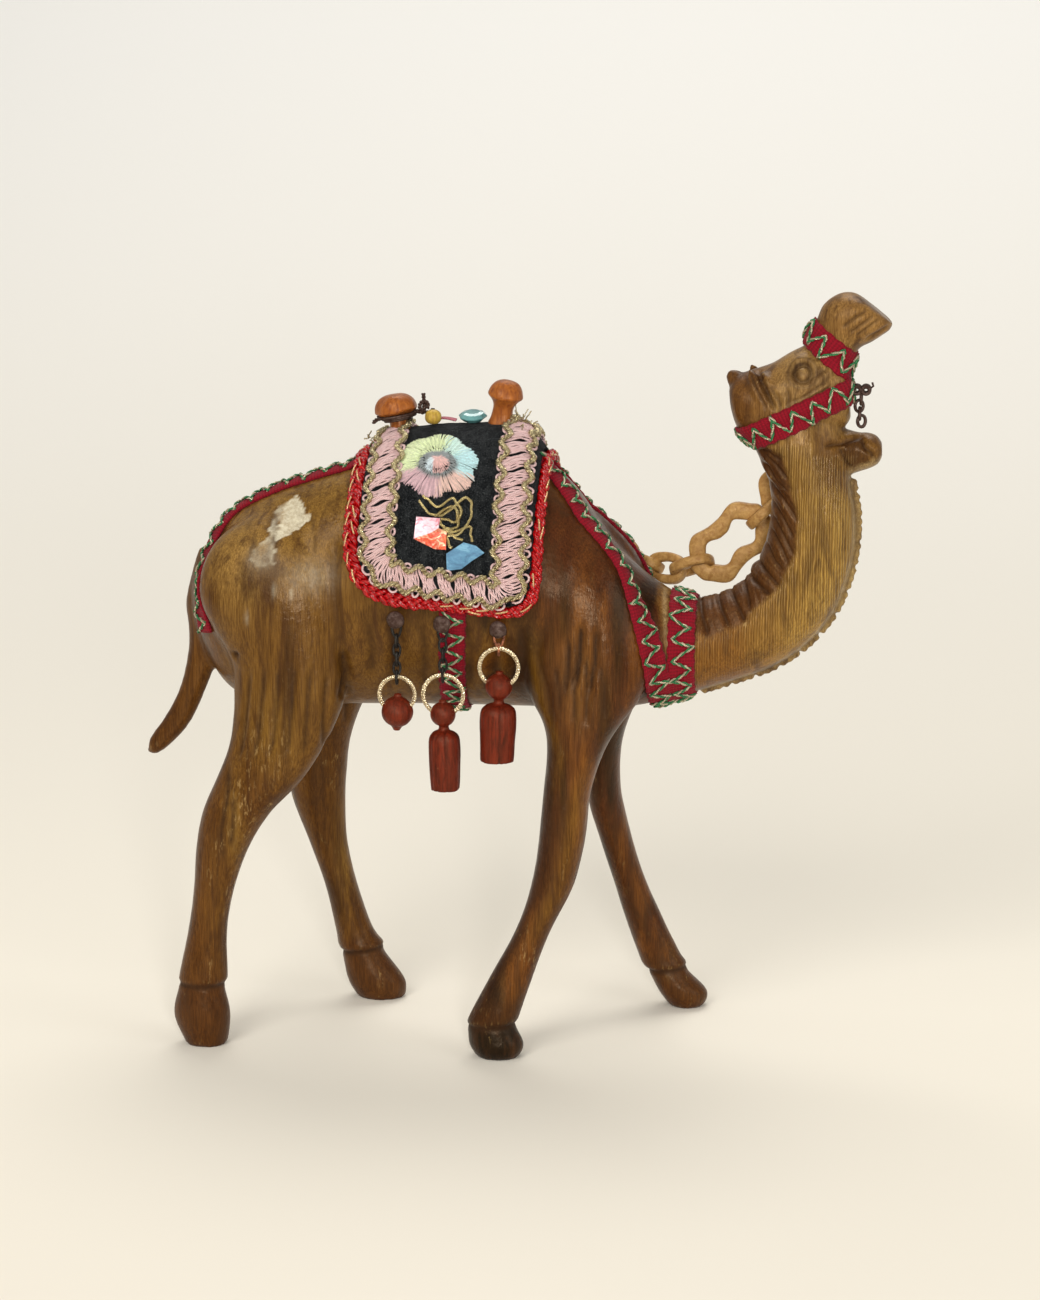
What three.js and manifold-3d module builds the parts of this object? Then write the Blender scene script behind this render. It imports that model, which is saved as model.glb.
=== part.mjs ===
// A carved wooden camel in woven trappings, with hanging wooden beads and a wooden lead chain.
// Millimetres. The camel faces +X, its far side is +Y, and +Z is up.
// The origin lies on the floor, under the middle of the figure.
import * as THREE from 'three';
import { mergeVertices } from 'three/addons/utils/BufferGeometryUtils.js';
import Module from 'manifold-3d';

const wasm = await Module();
wasm.setup();

// The figure's height. Its pose, its carving and the lie of its trappings were drawn at the second
// value and are scaled to the first; cloth, wire, nails and fits keep their own sizes.
const HEIGHT = 199.6;
const DRAWN_HEIGHT = 199.6;

// Fits between pieces
const LAY_GAP = 0.3; // air under each woven layer
const BUTT_GAP = 0.4; // air between layers that meet edge to edge
const HOLE_PLAY = 0.3; // air round a nail or a ring in its hole
const BITE = 0.12; // depth to which chain links press into each other

// Brings a drawn length, or a table of them, to the figure's height
function sized(drawn) {
  if (typeof drawn === 'number') return (drawn * HEIGHT) / DRAWN_HEIGHT;
  if (Array.isArray(drawn)) return drawn.map(sized);
  return Object.fromEntries(Object.entries(drawn).map(([name, value]) => [name, sized(value)]));
}

// Woven layers
const RIBBON_WIDE = 7;
const RIBBON_THICK = 0.9;
const CLOTH_THICK = 1;
const GIMP_THICK = 1.3;
const BRAID_THICK = 2.6;
const PATCH_THICK = 0.6;

// Saddle seen from the side: the outer edge of the red braid, and the widths of its edgings
const SADDLE = sized({
  rear: -40.3, front: 11, rearLow: 121.9, frontLow: 116.9, waist: 138, lean: 3, top: 182,
});
const SADDLE_CORNER = sized({ rear: 15, front: 11 });
const BRAID_WIDE = { rear: 4.2, front: 2.8, low: 3 };
const GIMP_WIDE = { rear: 9.4, front: 9.6, low: 7.4 };

// Nails and what hangs from them, from the rear one to the front one
const NAIL = { head: 2.25, headThick: 1.1, shaft: 0.7, deep: 6, proud: 3.4 };
const WIRE = 0.4; // radius of the fine chain's wire
const LOOP_HALF = 1.8; // half width of the chain's first loop, round the nail
const RING_WIRE = 0.6;
// The width and length are the barrel's; the first barrel is broken off
const DROPS = [
  { ...sized({ x: -26.2, z: 117.2, ringZ: 97.4 }), links: 2, ring: 4.6, ball: 4.1, wide: 0, long: 0 },
  { ...sized({ x: -14.2, z: 116.4, ringZ: 97.6 }), links: 2, ring: 5.2, ball: 3.3, wide: 4.1, long: 15.8 },
  { ...sized({ x: 0.2, z: 115.2, ringZ: 105 }), links: 1, ring: 5, ball: 3.5, wide: 4.7, long: 15.4 },
];

// Turned knobs of the saddle
const FRONT_KNOB = { x: sized(-2.4), cap: 4.8, capHigh: 5.2, stem: 2.4, stemHigh: 7, tilt: 0.03 };
const REAR_KNOB = { x: sized(-28.8), cap: 5.9, capHigh: 4.2, stem: 2.4, stemHigh: 5.6, tilt: -0.12 };

// Sides of the round forms
const TRUNK_SIDES = 14;
const NECK_SIDES = 8;
const LIMB_SIDES = 8;
const SMALL_SIDES = 6;
const TURNED_SIDES = 8;

// Ribs of the body: first edge x z, second edge x z, middle y, half width
const TRUNK = [
  [-84.2, 124, 112, 5],
  [-80.5, 130.6, 101, 11],
  [-73.5, 139.8, 92, 17],
  [-62, 146.4, 89, 20.5],
  [-49, 151, 89, 22],
  [-39, 154.4, 89.4, 22.6],
  [-31, 161, 89.6, 23],
  [-15, 163.4, 89.8, 23.4],
  [3, 163.6, 89.8, 23],
  [10.5, 155, 89.8, 22.4],
  [18, 147.6, 89.8, 21.4],
  [26, 135.8, 90, 20],
  [34, 127.5, 90.8, 17.6],
  [43, 121.2, 93, 14.6],
].map(([x, top, low, half]) => sized([x, top, x, low, 0, half]));

const NECK = [
  [33, 126, 33, 91.5, 0, 16],
  [42, 121.2, 43, 93.2, 0, 13.8],
  [49, 120, 51, 95.6, 0, 12.6],
  [56, 121.6, 59.5, 98.4, 0, 12],
  [61.7, 125.4, 68.8, 102, 0, 11.8],
  [65, 130.6, 77, 107.4, 0, 11.6],
  [67.2, 136.5, 83.8, 115, 0, 11.4],
  [68, 142.5, 88, 124, 0, 11.1],
  [68, 147.5, 90, 133.6, 0, 10.7],
  [66.8, 152.6, 90.2, 143, 0, 10.3],
  [64.4, 158, 88.6, 151.6, 0, 10],
  [61.6, 163.6, 87, 162, 0, 9.6],
  [60.5, 170, 86, 169, 0, 9],
].map(sized);

const HEAD = [
  [56.9, 175.4, 57.6, 169, 0, 4.4],
  [58.6, 178, 59.4, 164.4, 0, 7.2],
  [62.6, 179.8, 64, 161, 0, 9.2],
  [68, 181.6, 69.4, 160.4, 0, 10],
  [73.6, 185, 76.6, 162, 0, 10.2],
  [78, 186.6, 82.4, 164, 0, 9.4],
  [82.4, 186, 86.6, 165.4, 0, 7.8],
  [86.4, 183.6, 88.2, 167.8, 0, 5.4],
].map(sized);

const SNOUT = [
  [74.6, 183.4, 84.6, 175.6, 0, 6],
  [77, 188.6, 88.4, 182.6, 0, 6.3],
  [78.8, 192.4, 90, 185.6, 0, 6.8],
  [80.6, 196.6, 93, 187.2, 0, 7.7],
  [84.4, 199.4, 95.6, 188.9, 0, 7.9],
  [88.4, 199.6, 97.4, 190.2, 0, 7.2],
  [92.4, 197, 98, 191.2, 0, 6],
  [94.6, 195.2, 98.4, 192, 0, 4.4],
].map(sized);

const JAW = [
  [79, 165.6, 83.4, 150.6, 0, 7.6],
  [86, 165, 87.4, 152.6, 0, 6.6],
  [89.6, 164.2, 90.6, 153.8, 0, 5.8],
  [92.6, 164, 93.4, 154.8, 0, 5.5],
  [94.8, 163.2, 95.4, 156, 0, 4.9],
  [96.2, 161.4, 96.4, 158, 0, 3.4],
].map(sized);

const TAIL = [
  [-83, 131, -75, 127, 0, 3.4],
  [-85.4, 123.4, -78, 120, 0, 3.7],
  [-87.2, 115.8, -78.4, 114, 0, 3.8],
  [-86.6, 107.6, -77.2, 106.6, 0, 3.7],
  [-87.2, 100.6, -79.2, 99, 0, 3.5],
  [-89.6, 91.8, -82.6, 90.4, 0, 3.2],
  [-93.6, 84, -86.8, 82, 0, 2.8],
  [-98, 77.6, -92.2, 76, 0, 2.3],
  [-98.6, 73.4, -96.2, 73.2, 0, 1.2],
].map(sized);

// Ribs of the legs: height, back edge, front edge, middle y, half width
const LEGS = sized({
  nearHind: [
    [146, -66, -50, -12, 6],
    [136, -76, -43.6, -13.4, 9.4],
    [120, -79.8, -40.4, -14.6, 10.6],
    [104.2, -71.8, -40.4, -16, 9.8],
    [96.2, -70.9, -40.7, -16.8, 9.2],
    [80.1, -72.3, -47.5, -18.2, 8.2],
    [71.8, -75.6, -52.9, -18.9, 7.7],
    [63.6, -79.2, -61.2, -19.5, 7.1],
    [55.3, -80.8, -66.6, -20, 6.5],
    [30.4, -83.6, -73, -21.2, 5.3],
    [17.4, -86.2, -73.5, -21.8, 5.6],
    [16.2, -87, -72.8, -21.9, 6.4],
    [8, -87.6, -72.6, -21.8, 6.6],
    [0, -84.4, -73.4, -21.6, 5.2],
  ],
  farHind: [
    [146, -64, -48, 12, 6],
    [136, -74, -41, 13.4, 9.4],
    [120, -78, -37.6, 14.6, 10.6],
    [104, -71.5, -36.4, 16, 9.8],
    [83.3, -63.6, -43.4, 17.8, 8.3],
    [74.8, -63.6, -46.3, 18.6, 7.5],
    [57.7, -62.7, -48.4, 19.8, 6.2],
    [45, -58.4, -47.9, 20.4, 5.4],
    [19.6, -51.6, -41.2, 21.6, 5.2],
    [14.6, -50.6, -38.2, 21.8, 5.6],
    [12.6, -51.2, -36.6, 21.9, 6.3],
    [5, -48.8, -32.4, 22.2, 6.5],
    [0, -45.6, -32.4, 22.6, 5],
  ],
  nearFore: [
    [142, 11.5, 23, -11, 6],
    [130, 8.6, 31, -12.6, 8.6],
    [104, 5.4, 38.6, -14.4, 9.6],
    [95.7, 7.2, 35.8, -15.4, 9],
    [89.5, 10.6, 31.4, -16.2, 8.4],
    [82.6, 11.9, 27.3, -17, 7.6],
    [70.6, 11.2, 23.2, -18, 6.6],
    [46.2, 8.1, 19.1, -20, 5.6],
    [33.7, 3.8, 13.3, -20.8, 5.2],
    [21.1, -2.8, 8.6, -21.6, 5.2],
    [9.4, -8.2, 4.7, -22.4, 5.6],
    [8.2, -9, 5.5, -22.5, 6.3],
    [3.6, -8.6, 6.2, -22.6, 6.3],
    [0, -6, 5.2, -22.6, 5],
  ],
  farFore: [
    [142, 12.5, 23, 11, 6],
    [130, 10.4, 32, 12.6, 8.6],
    [116, 9.4, 38, 13.6, 9.6],
    [104, 10, 40, 14.8, 9.6],
    [95, 12.4, 37, 16.2, 8.8],
    [86, 15.4, 31.6, 17.6, 7.8],
    [64.1, 19, 27.5, 20, 6],
    [55.6, 20.1, 28.9, 20.9, 5.6],
    [38.7, 24.9, 33.7, 22.6, 5],
    [14.6, 32.6, 44.4, 24.8, 5.2],
    [11, 34.4, 46.2, 25, 5.6],
    [9.8, 34.8, 48.4, 24.8, 5.9],
    [4, 38.6, 52, 24.9, 6],
    [0, 41.4, 50.8, 25.2, 4.6],
  ],
});

// Carved relief
// Slanting locks on the nape, then thick rolls over the root of the neck
const MANE_UPPER = { locks: 6, ...sized({ radius: 1.6, drop: [9, -8.5], rise: 0.3, inner: 1.2, outer: 9.6 }) };
const MANE_LOWER = {
  locks: 5,
  ...sized({ radius: 2.6, drop: [1.5, -12], rise: 0.3, inner: -1.5, outer: 11.4 }),
};
const THROAT_BEADS = { count: 18, ...sized({ high: 1, half: 1.3, deep: 3, proud: 0.5 }) };
const EYE = sized({ x: 76, z: 179.6, ring: 3.3, ball: 2.1, y: 9, socket: 0.6, sunk: 0.4, cut: 2, high: 3 });
const EAR_FOLDS = sized([[62, 180.4, 66.4, 171.8], [65.4, 180, 69.8, 172.4], [69, 178.6, 72.8, 173.4]]);
const TUFT = sized({ from: [61, 0, 175], to: [56.6, 0, 178.6], radius: 2.4 });
const NOSE_CUTS = sized([[84, 192.4, 92.4, 198.6], [86.4, 193.4, 94.8, 196.2]]); // x and z at both ends
const NOSE_CUT = sized({ radius: 0.8, y: 8.4, endY: 7.8 });
const EAR = sized({ radius: 1.9, y: 4.9, endY: 9.8 });
const THIGH_CUTS = {
  count: 3,
  ...sized({ first: -64, step: 6, top: 106, low: 82, radius: 1.1, y: 25.4, endY: 26.2 }),
};
const SHOULDER_CUTS = {
  count: 2,
  ...sized({ first: 17, step: 7, top: 112, low: 92, radius: 1, y: 23.6, endY: 24.6 }),
};

// Route of the wooden lead chain on the far side, from the saddle to the mouth
const LEAD_ROUTE = [
  [21, 27.4, 131],
  [27, 27, 127],
  [34.5, 23.6, 124.4],
  [43, 18.4, 124],
  [52.4, 15.6, 128.2],
  [62, 15.6, 136.6],
  [72, 16, 146.4],
  [80, 15.6, 157],
  [86, 14, 169],
].map(sized);
const SMALL_LINK = { ...sized({ long: 12.5, wide: 8.6, bar: 2.5, thick: 2.8, waves: 0 }), points: 8 };
const LARGE_LINK = { ...sized({ long: 25, wide: 15.4, bar: 4.2, thick: 3.2, waves: 0.9 }), points: 12 };
const LEAD_LINKS = [
  [SMALL_LINK, 15], [SMALL_LINK, 70], [SMALL_LINK, -20], [SMALL_LINK, 60],
  [LARGE_LINK, 0], [SMALL_LINK, 85], [LARGE_LINK, 0],
];

// Lines of the ribbons in the side view
const BREAST_LINE = sized([[11, 164], [21.5, 143], [28.8, 131], [35.6, 116], [39.6, 104], [41.4, 84]]);
const COLLAR_LINE = sized([[46.4, 130], [46, 84]]);
const GIRTH_LINE = sized([[-10.6, 125], [-13.4, 84]]);
const HEAD_BAND_LINE = sized([[50, 159], [64, 163.8], [92, 177]]);
const NOSE_BAND_LINE = sized([[70, 194.6], [80.4, 187.4], [92, 178.6]]);
const CRUPPER = sized({ beside: -8.2, forkTop: 141, forkLow: 128, end: 105 }); // where it leaves the spine
const CRUPPER_RUN = sized([-100, -30]); // from behind the tail to under the saddle
const BEYOND = sized(60); // further out to the side than any piece

// Patches on the cloth between the gimp's inner edges: the share of the way from the rear edge to
// the front one, then the height over the lower one
const FLOWER = { share: 0.4245, up: sized(25.2), wideShare: 0.3755, high: sized(7.8), notch: 0.82, petals: 6 };
const FOIL_CHIP = [[0.192, sized(9.3)], [0.437, sized(11.3)], [0.412, sized(4.8)], [0.2, sized(3.1)]];
const BLUE_CHIP = [
  [0.518, sized(2.5)], [0.771, sized(6.8)], [0.935, sized(6)], [0.747, sized(2.4)], [0.567, sized(0.8)],
];

// Places of the trimmings on top of the saddle, along X, and of the coil at the mouth
const SEAT = sized({ bead: -19.6, gem: -9.6, strip: -17.4 });
const BRIDLE = sized([91.8, -2.2, 175.4]);

// Colours
const WOOD = new THREE.MeshStandardMaterial({ color: 0x8a5c26, roughness: 0.42 });
const PALE_WOOD = new THREE.MeshStandardMaterial({ color: 0xc08a50, roughness: 0.5 });
const BEAD_WOOD = new THREE.MeshStandardMaterial({ color: 0x8c3a1e, roughness: 0.5 });
const KNOB_WOOD = new THREE.MeshStandardMaterial({ color: 0xb0602a, roughness: 0.45 });
const RED_RIBBON = new THREE.MeshStandardMaterial({ color: 0xa80a26, roughness: 0.9 });
const RED_SATIN = new THREE.MeshStandardMaterial({ color: 0xc8101a, roughness: 0.4 });
const BLACK_PILE = new THREE.MeshStandardMaterial({ color: 0x15161a, roughness: 1 });
const PINK_YARN = new THREE.MeshStandardMaterial({ color: 0xd79aa2, roughness: 0.8 });
const PALE_YARN = new THREE.MeshStandardMaterial({ color: 0xd8dcc0, roughness: 0.8 });
const GOLD = new THREE.MeshStandardMaterial({ color: 0xc9a95c, roughness: 0.35, metalness: 1 });
const DARK_METAL = new THREE.MeshStandardMaterial({ color: 0x35302e, roughness: 0.5, metalness: 1 });
const COPPER = new THREE.MeshStandardMaterial({ color: 0x9a5a3a, roughness: 0.4, metalness: 1 });
const TEAL_GLASS = new THREE.MeshStandardMaterial({ color: 0x2d6a6c, roughness: 0.1 });
const YELLOW_BEAD = new THREE.MeshStandardMaterial({ color: 0xc9a83a, roughness: 0.4 });
const FOIL = new THREE.MeshStandardMaterial({ color: 0xe8a9a0, roughness: 0.2 });
const BLUE_FOIL = new THREE.MeshStandardMaterial({ color: 0x5f97b6, roughness: 0.5 });

const camel = new THREE.Group();

// Adds one named mesh to the figure
function addPiece(name, geometry, material) {
  const mesh = new THREE.Mesh(geometry, material);
  mesh.name = name;
  camel.add(mesh);
  return mesh;
}

// Solid used for joining and cutting, from a closed geometry
function solidOf(geometry) {
  const plain = geometry.clone();
  plain.deleteAttribute('normal');
  plain.deleteAttribute('uv');
  const merged = mergeVertices(plain, 1e-4);
  return new wasm.Manifold(new wasm.Mesh({
    numProp: 3,
    vertProperties: Float32Array.from(merged.attributes.position.array),
    triVerts: Uint32Array.from(merged.index.array),
  }));
}

function geometryOf(solid) {
  const mesh = solid.getMesh();
  const geometry = new THREE.BufferGeometry();
  geometry.setAttribute('position', new THREE.BufferAttribute(mesh.vertProperties, 3));
  geometry.setIndex(new THREE.BufferAttribute(mesh.triVerts, 1));
  geometry.computeVertexNormals();
  return geometry;
}

function joined(solids) {
  return solids.reduce((sum, next) => sum.add(next));
}

function without(solid, cutters) {
  return cutters.reduce((rest, cutter) => rest.subtract(cutter), solid);
}

// Closed form through a row of ribs; grow lets it swell on every side
function loft(ribs, sides, grow = 0) {
  const middles = ribs.map(([ax, az, bx, bz, y]) => new THREE.Vector3((ax + bx) / 2, y, (az + bz) / 2));
  const last = ribs.length - 1;
  middles[0].add(middles[0].clone().sub(middles[1]).setLength(grow));
  middles[last].add(middles[last].clone().sub(middles[last - 1]).setLength(grow));
  const points = [];
  ribs.forEach(([ax, az, bx, bz, , half], row) => {
    const across = new THREE.Vector3((ax - bx) / 2, 0, (az - bz) / 2);
    across.setLength(across.length() + grow);
    for (let side = 0; side < sides; side += 1) {
      const angle = (2 * Math.PI * side) / sides;
      const point = middles[row].clone().addScaledVector(across, Math.cos(angle));
      point.y += (half + grow) * Math.sin(angle);
      points.push(point);
    }
  });
  points.push(middles[0], middles[last]);
  const faces = [];
  for (let side = 0; side < sides; side += 1) {
    const next = (side + 1) % sides;
    for (let row = 0; row < last; row += 1) {
      const [a, b] = [row * sides + side, row * sides + next];
      faces.push(a, b, b + sides, a, b + sides, a + sides);
    }
    faces.push(points.length - 2, next, side);
    faces.push(points.length - 1, last * sides + side, last * sides + next);
  }
  const geometry = new THREE.BufferGeometry().setFromPoints(points);
  geometry.setIndex(facingOut(points, faces));
  return geometry;
}

// Turns every face over where the form would be inside out
function facingOut(points, faces) {
  let volume = 0;
  for (let i = 0; i < faces.length; i += 3) {
    const [a, b, c] = [points[faces[i]], points[faces[i + 1]], points[faces[i + 2]]];
    volume += a.dot(b.clone().cross(c));
  }
  return volume > 0 ? faces : faces.slice().reverse();
}

function legRibs(rows) {
  return rows.map(([z, back, front, y, half]) => [back, z, front, z, y, half]);
}

// The smooth body under the carving, swollen by grow on every side
const grownBodies = new Map();
function smoothBody(grow) {
  if (!grownBodies.has(grow)) {
    const limbs = Object.values(LEGS).map((rows) => loft(legRibs(rows), LIMB_SIDES, grow));
    const forms = [
      loft(TRUNK, TRUNK_SIDES, grow),
      loft(NECK, NECK_SIDES, grow),
      loft(HEAD, NECK_SIDES, grow),
      loft(SNOUT, NECK_SIDES, grow),
      loft(JAW, LIMB_SIDES, grow),
      loft(TAIL, SMALL_SIDES, grow),
      ...limbs,
    ];
    grownBodies.set(grow, joined(forms.map(solidOf)));
  }
  return grownBodies.get(grow);
}

// Half width of the trunk at a place on its side
function flankAt(x, z) {
  const after = TRUNK.findIndex((rib) => rib[0] > x);
  const [rear, front] = [TRUNK[after - 1], TRUNK[after]];
  const share = (x - rear[0]) / (front[0] - rear[0]);
  const [top, low, half] = [1, 3, 5].map((i) => THREE.MathUtils.lerp(rear[i], front[i], share));
  const rise = (z - (top + low) / 2) / ((top - low) / 2);
  return half * Math.sqrt(1 - rise * rise);
}

// Height of the trunk's top line
function backAt(x) {
  const after = TRUNK.findIndex((rib) => rib[0] > x);
  const [rear, front] = [TRUNK[after - 1], TRUNK[after]];
  return THREE.MathUtils.lerp(rear[1], front[1], (x - rear[0]) / (front[0] - rear[0]));
}

// Turned form, closed on its axis; the axis is the local Z
function turned(profile, sides) {
  const points = profile.map(([radius, height]) => new THREE.Vector2(radius, height));
  return new THREE.LatheGeometry(points, sides).rotateX(Math.PI / 2);
}

// Pointed roll from one place to another
function roll(from, to, radius, sides = 6) {
  const [start, end] = [new THREE.Vector3(...from), new THREE.Vector3(...to)];
  const run = end.clone().sub(start);
  const long = run.length();
  const shape = turned([[0, 0], [radius, long * 0.3], [radius, long * 0.7], [0, long]], sides);
  shape.applyQuaternion(new THREE.Quaternion().setFromUnitVectors(new THREE.Vector3(0, 0, 1), run.normalize()));
  return shape.translate(...from);
}

const MIRROR_SIDES = [-1, 1]; // the near side first

// One lock of the mane, which hangs from a place on the ridge down one side
function lock({ radius, drop, inner, outer }, side, [x, z], sides) {
  return roll([x, side * inner, z], [x + drop[0], side * outer, z + drop[1]], radius, sides);
}

// Slanting locks on the nape and thick rolls over the root of the neck
function mane() {
  const locks = [];
  const nape = NECK.slice(5, 11).map(([x, z]) => new THREE.Vector2(x, z));
  const napeLine = new THREE.SplineCurve(nape);
  const rootLine = new THREE.SplineCurve(NECK.slice(2, 6).map(([x, z]) => new THREE.Vector2(x, z)));
  for (const side of MIRROR_SIDES) {
    for (let i = 0; i < MANE_UPPER.locks; i += 1) {
      const top = napeLine.getPoint(1 - (i + 0.2) / MANE_UPPER.locks);
      locks.push(lock(MANE_UPPER, side, [top.x + MANE_UPPER.rise, top.y], 4));
    }
    for (let i = 0; i < MANE_LOWER.locks; i += 1) {
      const top = rootLine.getPoint((i + 0.55) / MANE_LOWER.locks);
      locks.push(lock(MANE_LOWER, side, [top.x, top.y + MANE_LOWER.rise], 5));
    }
  }
  return locks.map(solidOf);
}

// Beaded ridge down the front of the neck
function throatRidge() {
  const line = new THREE.SplineCurve(NECK.slice(2, 11).map(([, , x, z]) => new THREE.Vector2(x, z)));
  const { count, high, half, deep, proud } = THROAT_BEADS;
  const outer = [];
  const inner = [];
  for (let i = 0; i <= 2 * count; i += 1) {
    const share = i / (2 * count);
    const point = line.getPoint(share);
    const along = line.getTangent(share);
    const out = new THREE.Vector2(along.y, -along.x);
    outer.push(point.clone().addScaledVector(out, i % 2 ? high + proud : high * 0.3));
    if (i % 6 === 0) {
      inner.unshift(point.clone().addScaledVector(out, -deep));
    }
  }
  return sidePrism(new THREE.Shape([...outer, ...inner]), -half, half);
}

// Side view outline pulled through Y
function sidePrism(shape, fromY = -BEYOND, toY = BEYOND) {
  const prism = new THREE.ExtrudeGeometry(shape, { depth: toY - fromY, bevelEnabled: false, curveSegments: 3 });
  return solidOf(prism.rotateX(Math.PI / 2).translate(0, toY, 0));
}

// Rear view outline pulled through X; the shape's x is the figure's y
function rearPrism(points, fromX, toX) {
  const shape = new THREE.Shape(points.map(([y, z]) => new THREE.Vector2(y, z)));
  const prism = new THREE.ExtrudeGeometry(shape, { depth: toX - fromX, bevelEnabled: false });
  const turn = new THREE.Matrix4().makeBasis(
    new THREE.Vector3(0, 1, 0), new THREE.Vector3(0, 0, 1), new THREE.Vector3(1, 0, 0));
  return solidOf(prism.applyMatrix4(turn).translate(fromX, 0, 0));
}

// Round carved eyes, ear folds and the small tuft on the back of the head
function headCarving(body) {
  const cuts = [];
  const adds = [solidOf(roll(TUFT.from, TUFT.to, TUFT.radius))];
  for (const side of MIRROR_SIDES) {
    const { ring, ball, cut, high } = EYE;
    const socket = turned([[0, -cut], [ring, -cut], [ring, high], [0, high]], TURNED_SIDES);
    const eyeball = turned([[0, -cut], [ball, -cut], [ball * 0.7, high * 0.2], [0, high / 3]], SMALL_SIDES);
    for (const [geometry, list, out] of [[socket, cuts, EYE.socket], [eyeball, adds, -EYE.sunk]]) {
      geometry.rotateX((-side * Math.PI) / 2).translate(EYE.x, side * (EYE.y + out), EYE.z);
      list.push(solidOf(geometry));
    }
    for (const [x, z, toX, toZ] of EAR_FOLDS) {
      adds.push(solidOf(roll([x, side * EAR.y, z], [toX, side * EAR.endY, toZ], EAR.radius, 4)));
    }
    for (const [x, z, toX, toZ] of NOSE_CUTS) {
      cuts.push(solidOf(roll([x, side * NOSE_CUT.y, z], [toX, side * NOSE_CUT.endY, toZ], NOSE_CUT.radius, 4)));
    }
  }
  return joined([without(body, cuts), ...adds]);
}

// Upright grooves on a haunch or a shoulder
function grooves({ count, first, step, top, low, radius, y, endY }) {
  const cuts = [];
  for (const side of MIRROR_SIDES) {
    for (let i = 0; i < count; i += 1) {
      const x = first + i * step;
      cuts.push(solidOf(roll([x, side * y, top], [x - radius, side * endY, low], radius, 4)));
    }
  }
  return cuts;
}

function nailHoles() {
  const holes = [];
  for (const side of MIRROR_SIDES) {
    for (const drop of DROPS) {
      const flank = flankAt(drop.x, drop.z);
      const radius = NAIL.shaft * Math.SQRT2 + HOLE_PLAY; // the holes are square
      const foot = -NAIL.deep - HOLE_PLAY;
      const hole = turned([[0, foot], [radius, foot], [radius, NAIL.proud], [0, NAIL.proud]], 4);
      holes.push(solidOf(hole.rotateX((-side * Math.PI) / 2).translate(drop.x, side * flank, drop.z)));
    }
  }
  return holes;
}

function carvedBody() {
  const cuts = [...grooves(THIGH_CUTS), ...grooves(SHOULDER_CUTS), ...nailHoles()];
  const trimmed = without(smoothBody(0), cuts);
  return joined([headCarving(trimmed), ...mane(), throatRidge()]);
}

// Woven layer that follows the body: it lies over under and is thick, inside the region
function layer(under, thick, region) {
  return smoothBody(under + thick).intersect(region).subtract(smoothBody(under));
}

// Outline of the saddle, inset by its own amount at the rear, the front and below
function saddleShape({ rear, front, low }) {
  const [left, right] = [SADDLE.rear + rear, SADDLE.front - front];
  const [leftLow, rightLow] = [SADDLE.rearLow + low, SADDLE.frontLow + low];
  const leftRound = Math.max(SADDLE_CORNER.rear - rear, 4);
  const rightRound = Math.max(SADDLE_CORNER.front - front, 4);
  const fall = (rightLow - leftLow) / (right - left);
  const shape = new THREE.Shape();
  shape.moveTo(left + SADDLE.lean, SADDLE.top);
  shape.lineTo(left, Math.max(SADDLE.waist, leftLow + leftRound + BUTT_GAP));
  shape.lineTo(left, leftLow + leftRound);
  shape.quadraticCurveTo(left, leftLow, left + leftRound, leftLow + leftRound * fall);
  shape.lineTo(right - rightRound, rightLow - rightRound * fall);
  shape.quadraticCurveTo(right, rightLow, right, rightLow + rightRound);
  shape.lineTo(right, SADDLE.top);
  return shape;
}

function deeper(inset, extra) {
  const wide = typeof extra === 'number' ? { rear: extra, front: extra, low: extra } : extra;
  return { rear: inset.rear + wide.rear, front: inset.front + wide.front, low: inset.low + wide.low };
}

// Band of even width along a line in the side view
function bandShape(points, width) {
  const line = points.map(([x, z]) => new THREE.Vector2(x, z));
  const left = [];
  const right = [];
  line.forEach((point, i) => {
    const along = line[Math.min(i + 1, line.length - 1)].clone().sub(line[Math.max(i - 1, 0)]).normalize();
    const out = new THREE.Vector2(-along.y, along.x).multiplyScalar(width / 2);
    left.push(point.clone().add(out));
    right.unshift(point.clone().sub(out));
  });
  return new THREE.Shape([...left, ...right]);
}

function ribbonRegion(line, extra = 0) {
  return sidePrism(bandShape(line, RIBBON_WIDE + extra));
}

// Upright hole through the top layers for a knob's stem
function knobHole(knobSize) {
  const radius = knobSize.stem * 1.2 + HOLE_PLAY + 0.3;
  const { waist, top } = SADDLE;
  const hole = turned([[0, waist], [radius, waist], [radius, top], [0, top]], TURNED_SIDES);
  return solidOf(hole.translate(knobSize.x, 0, 0));
}

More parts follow.
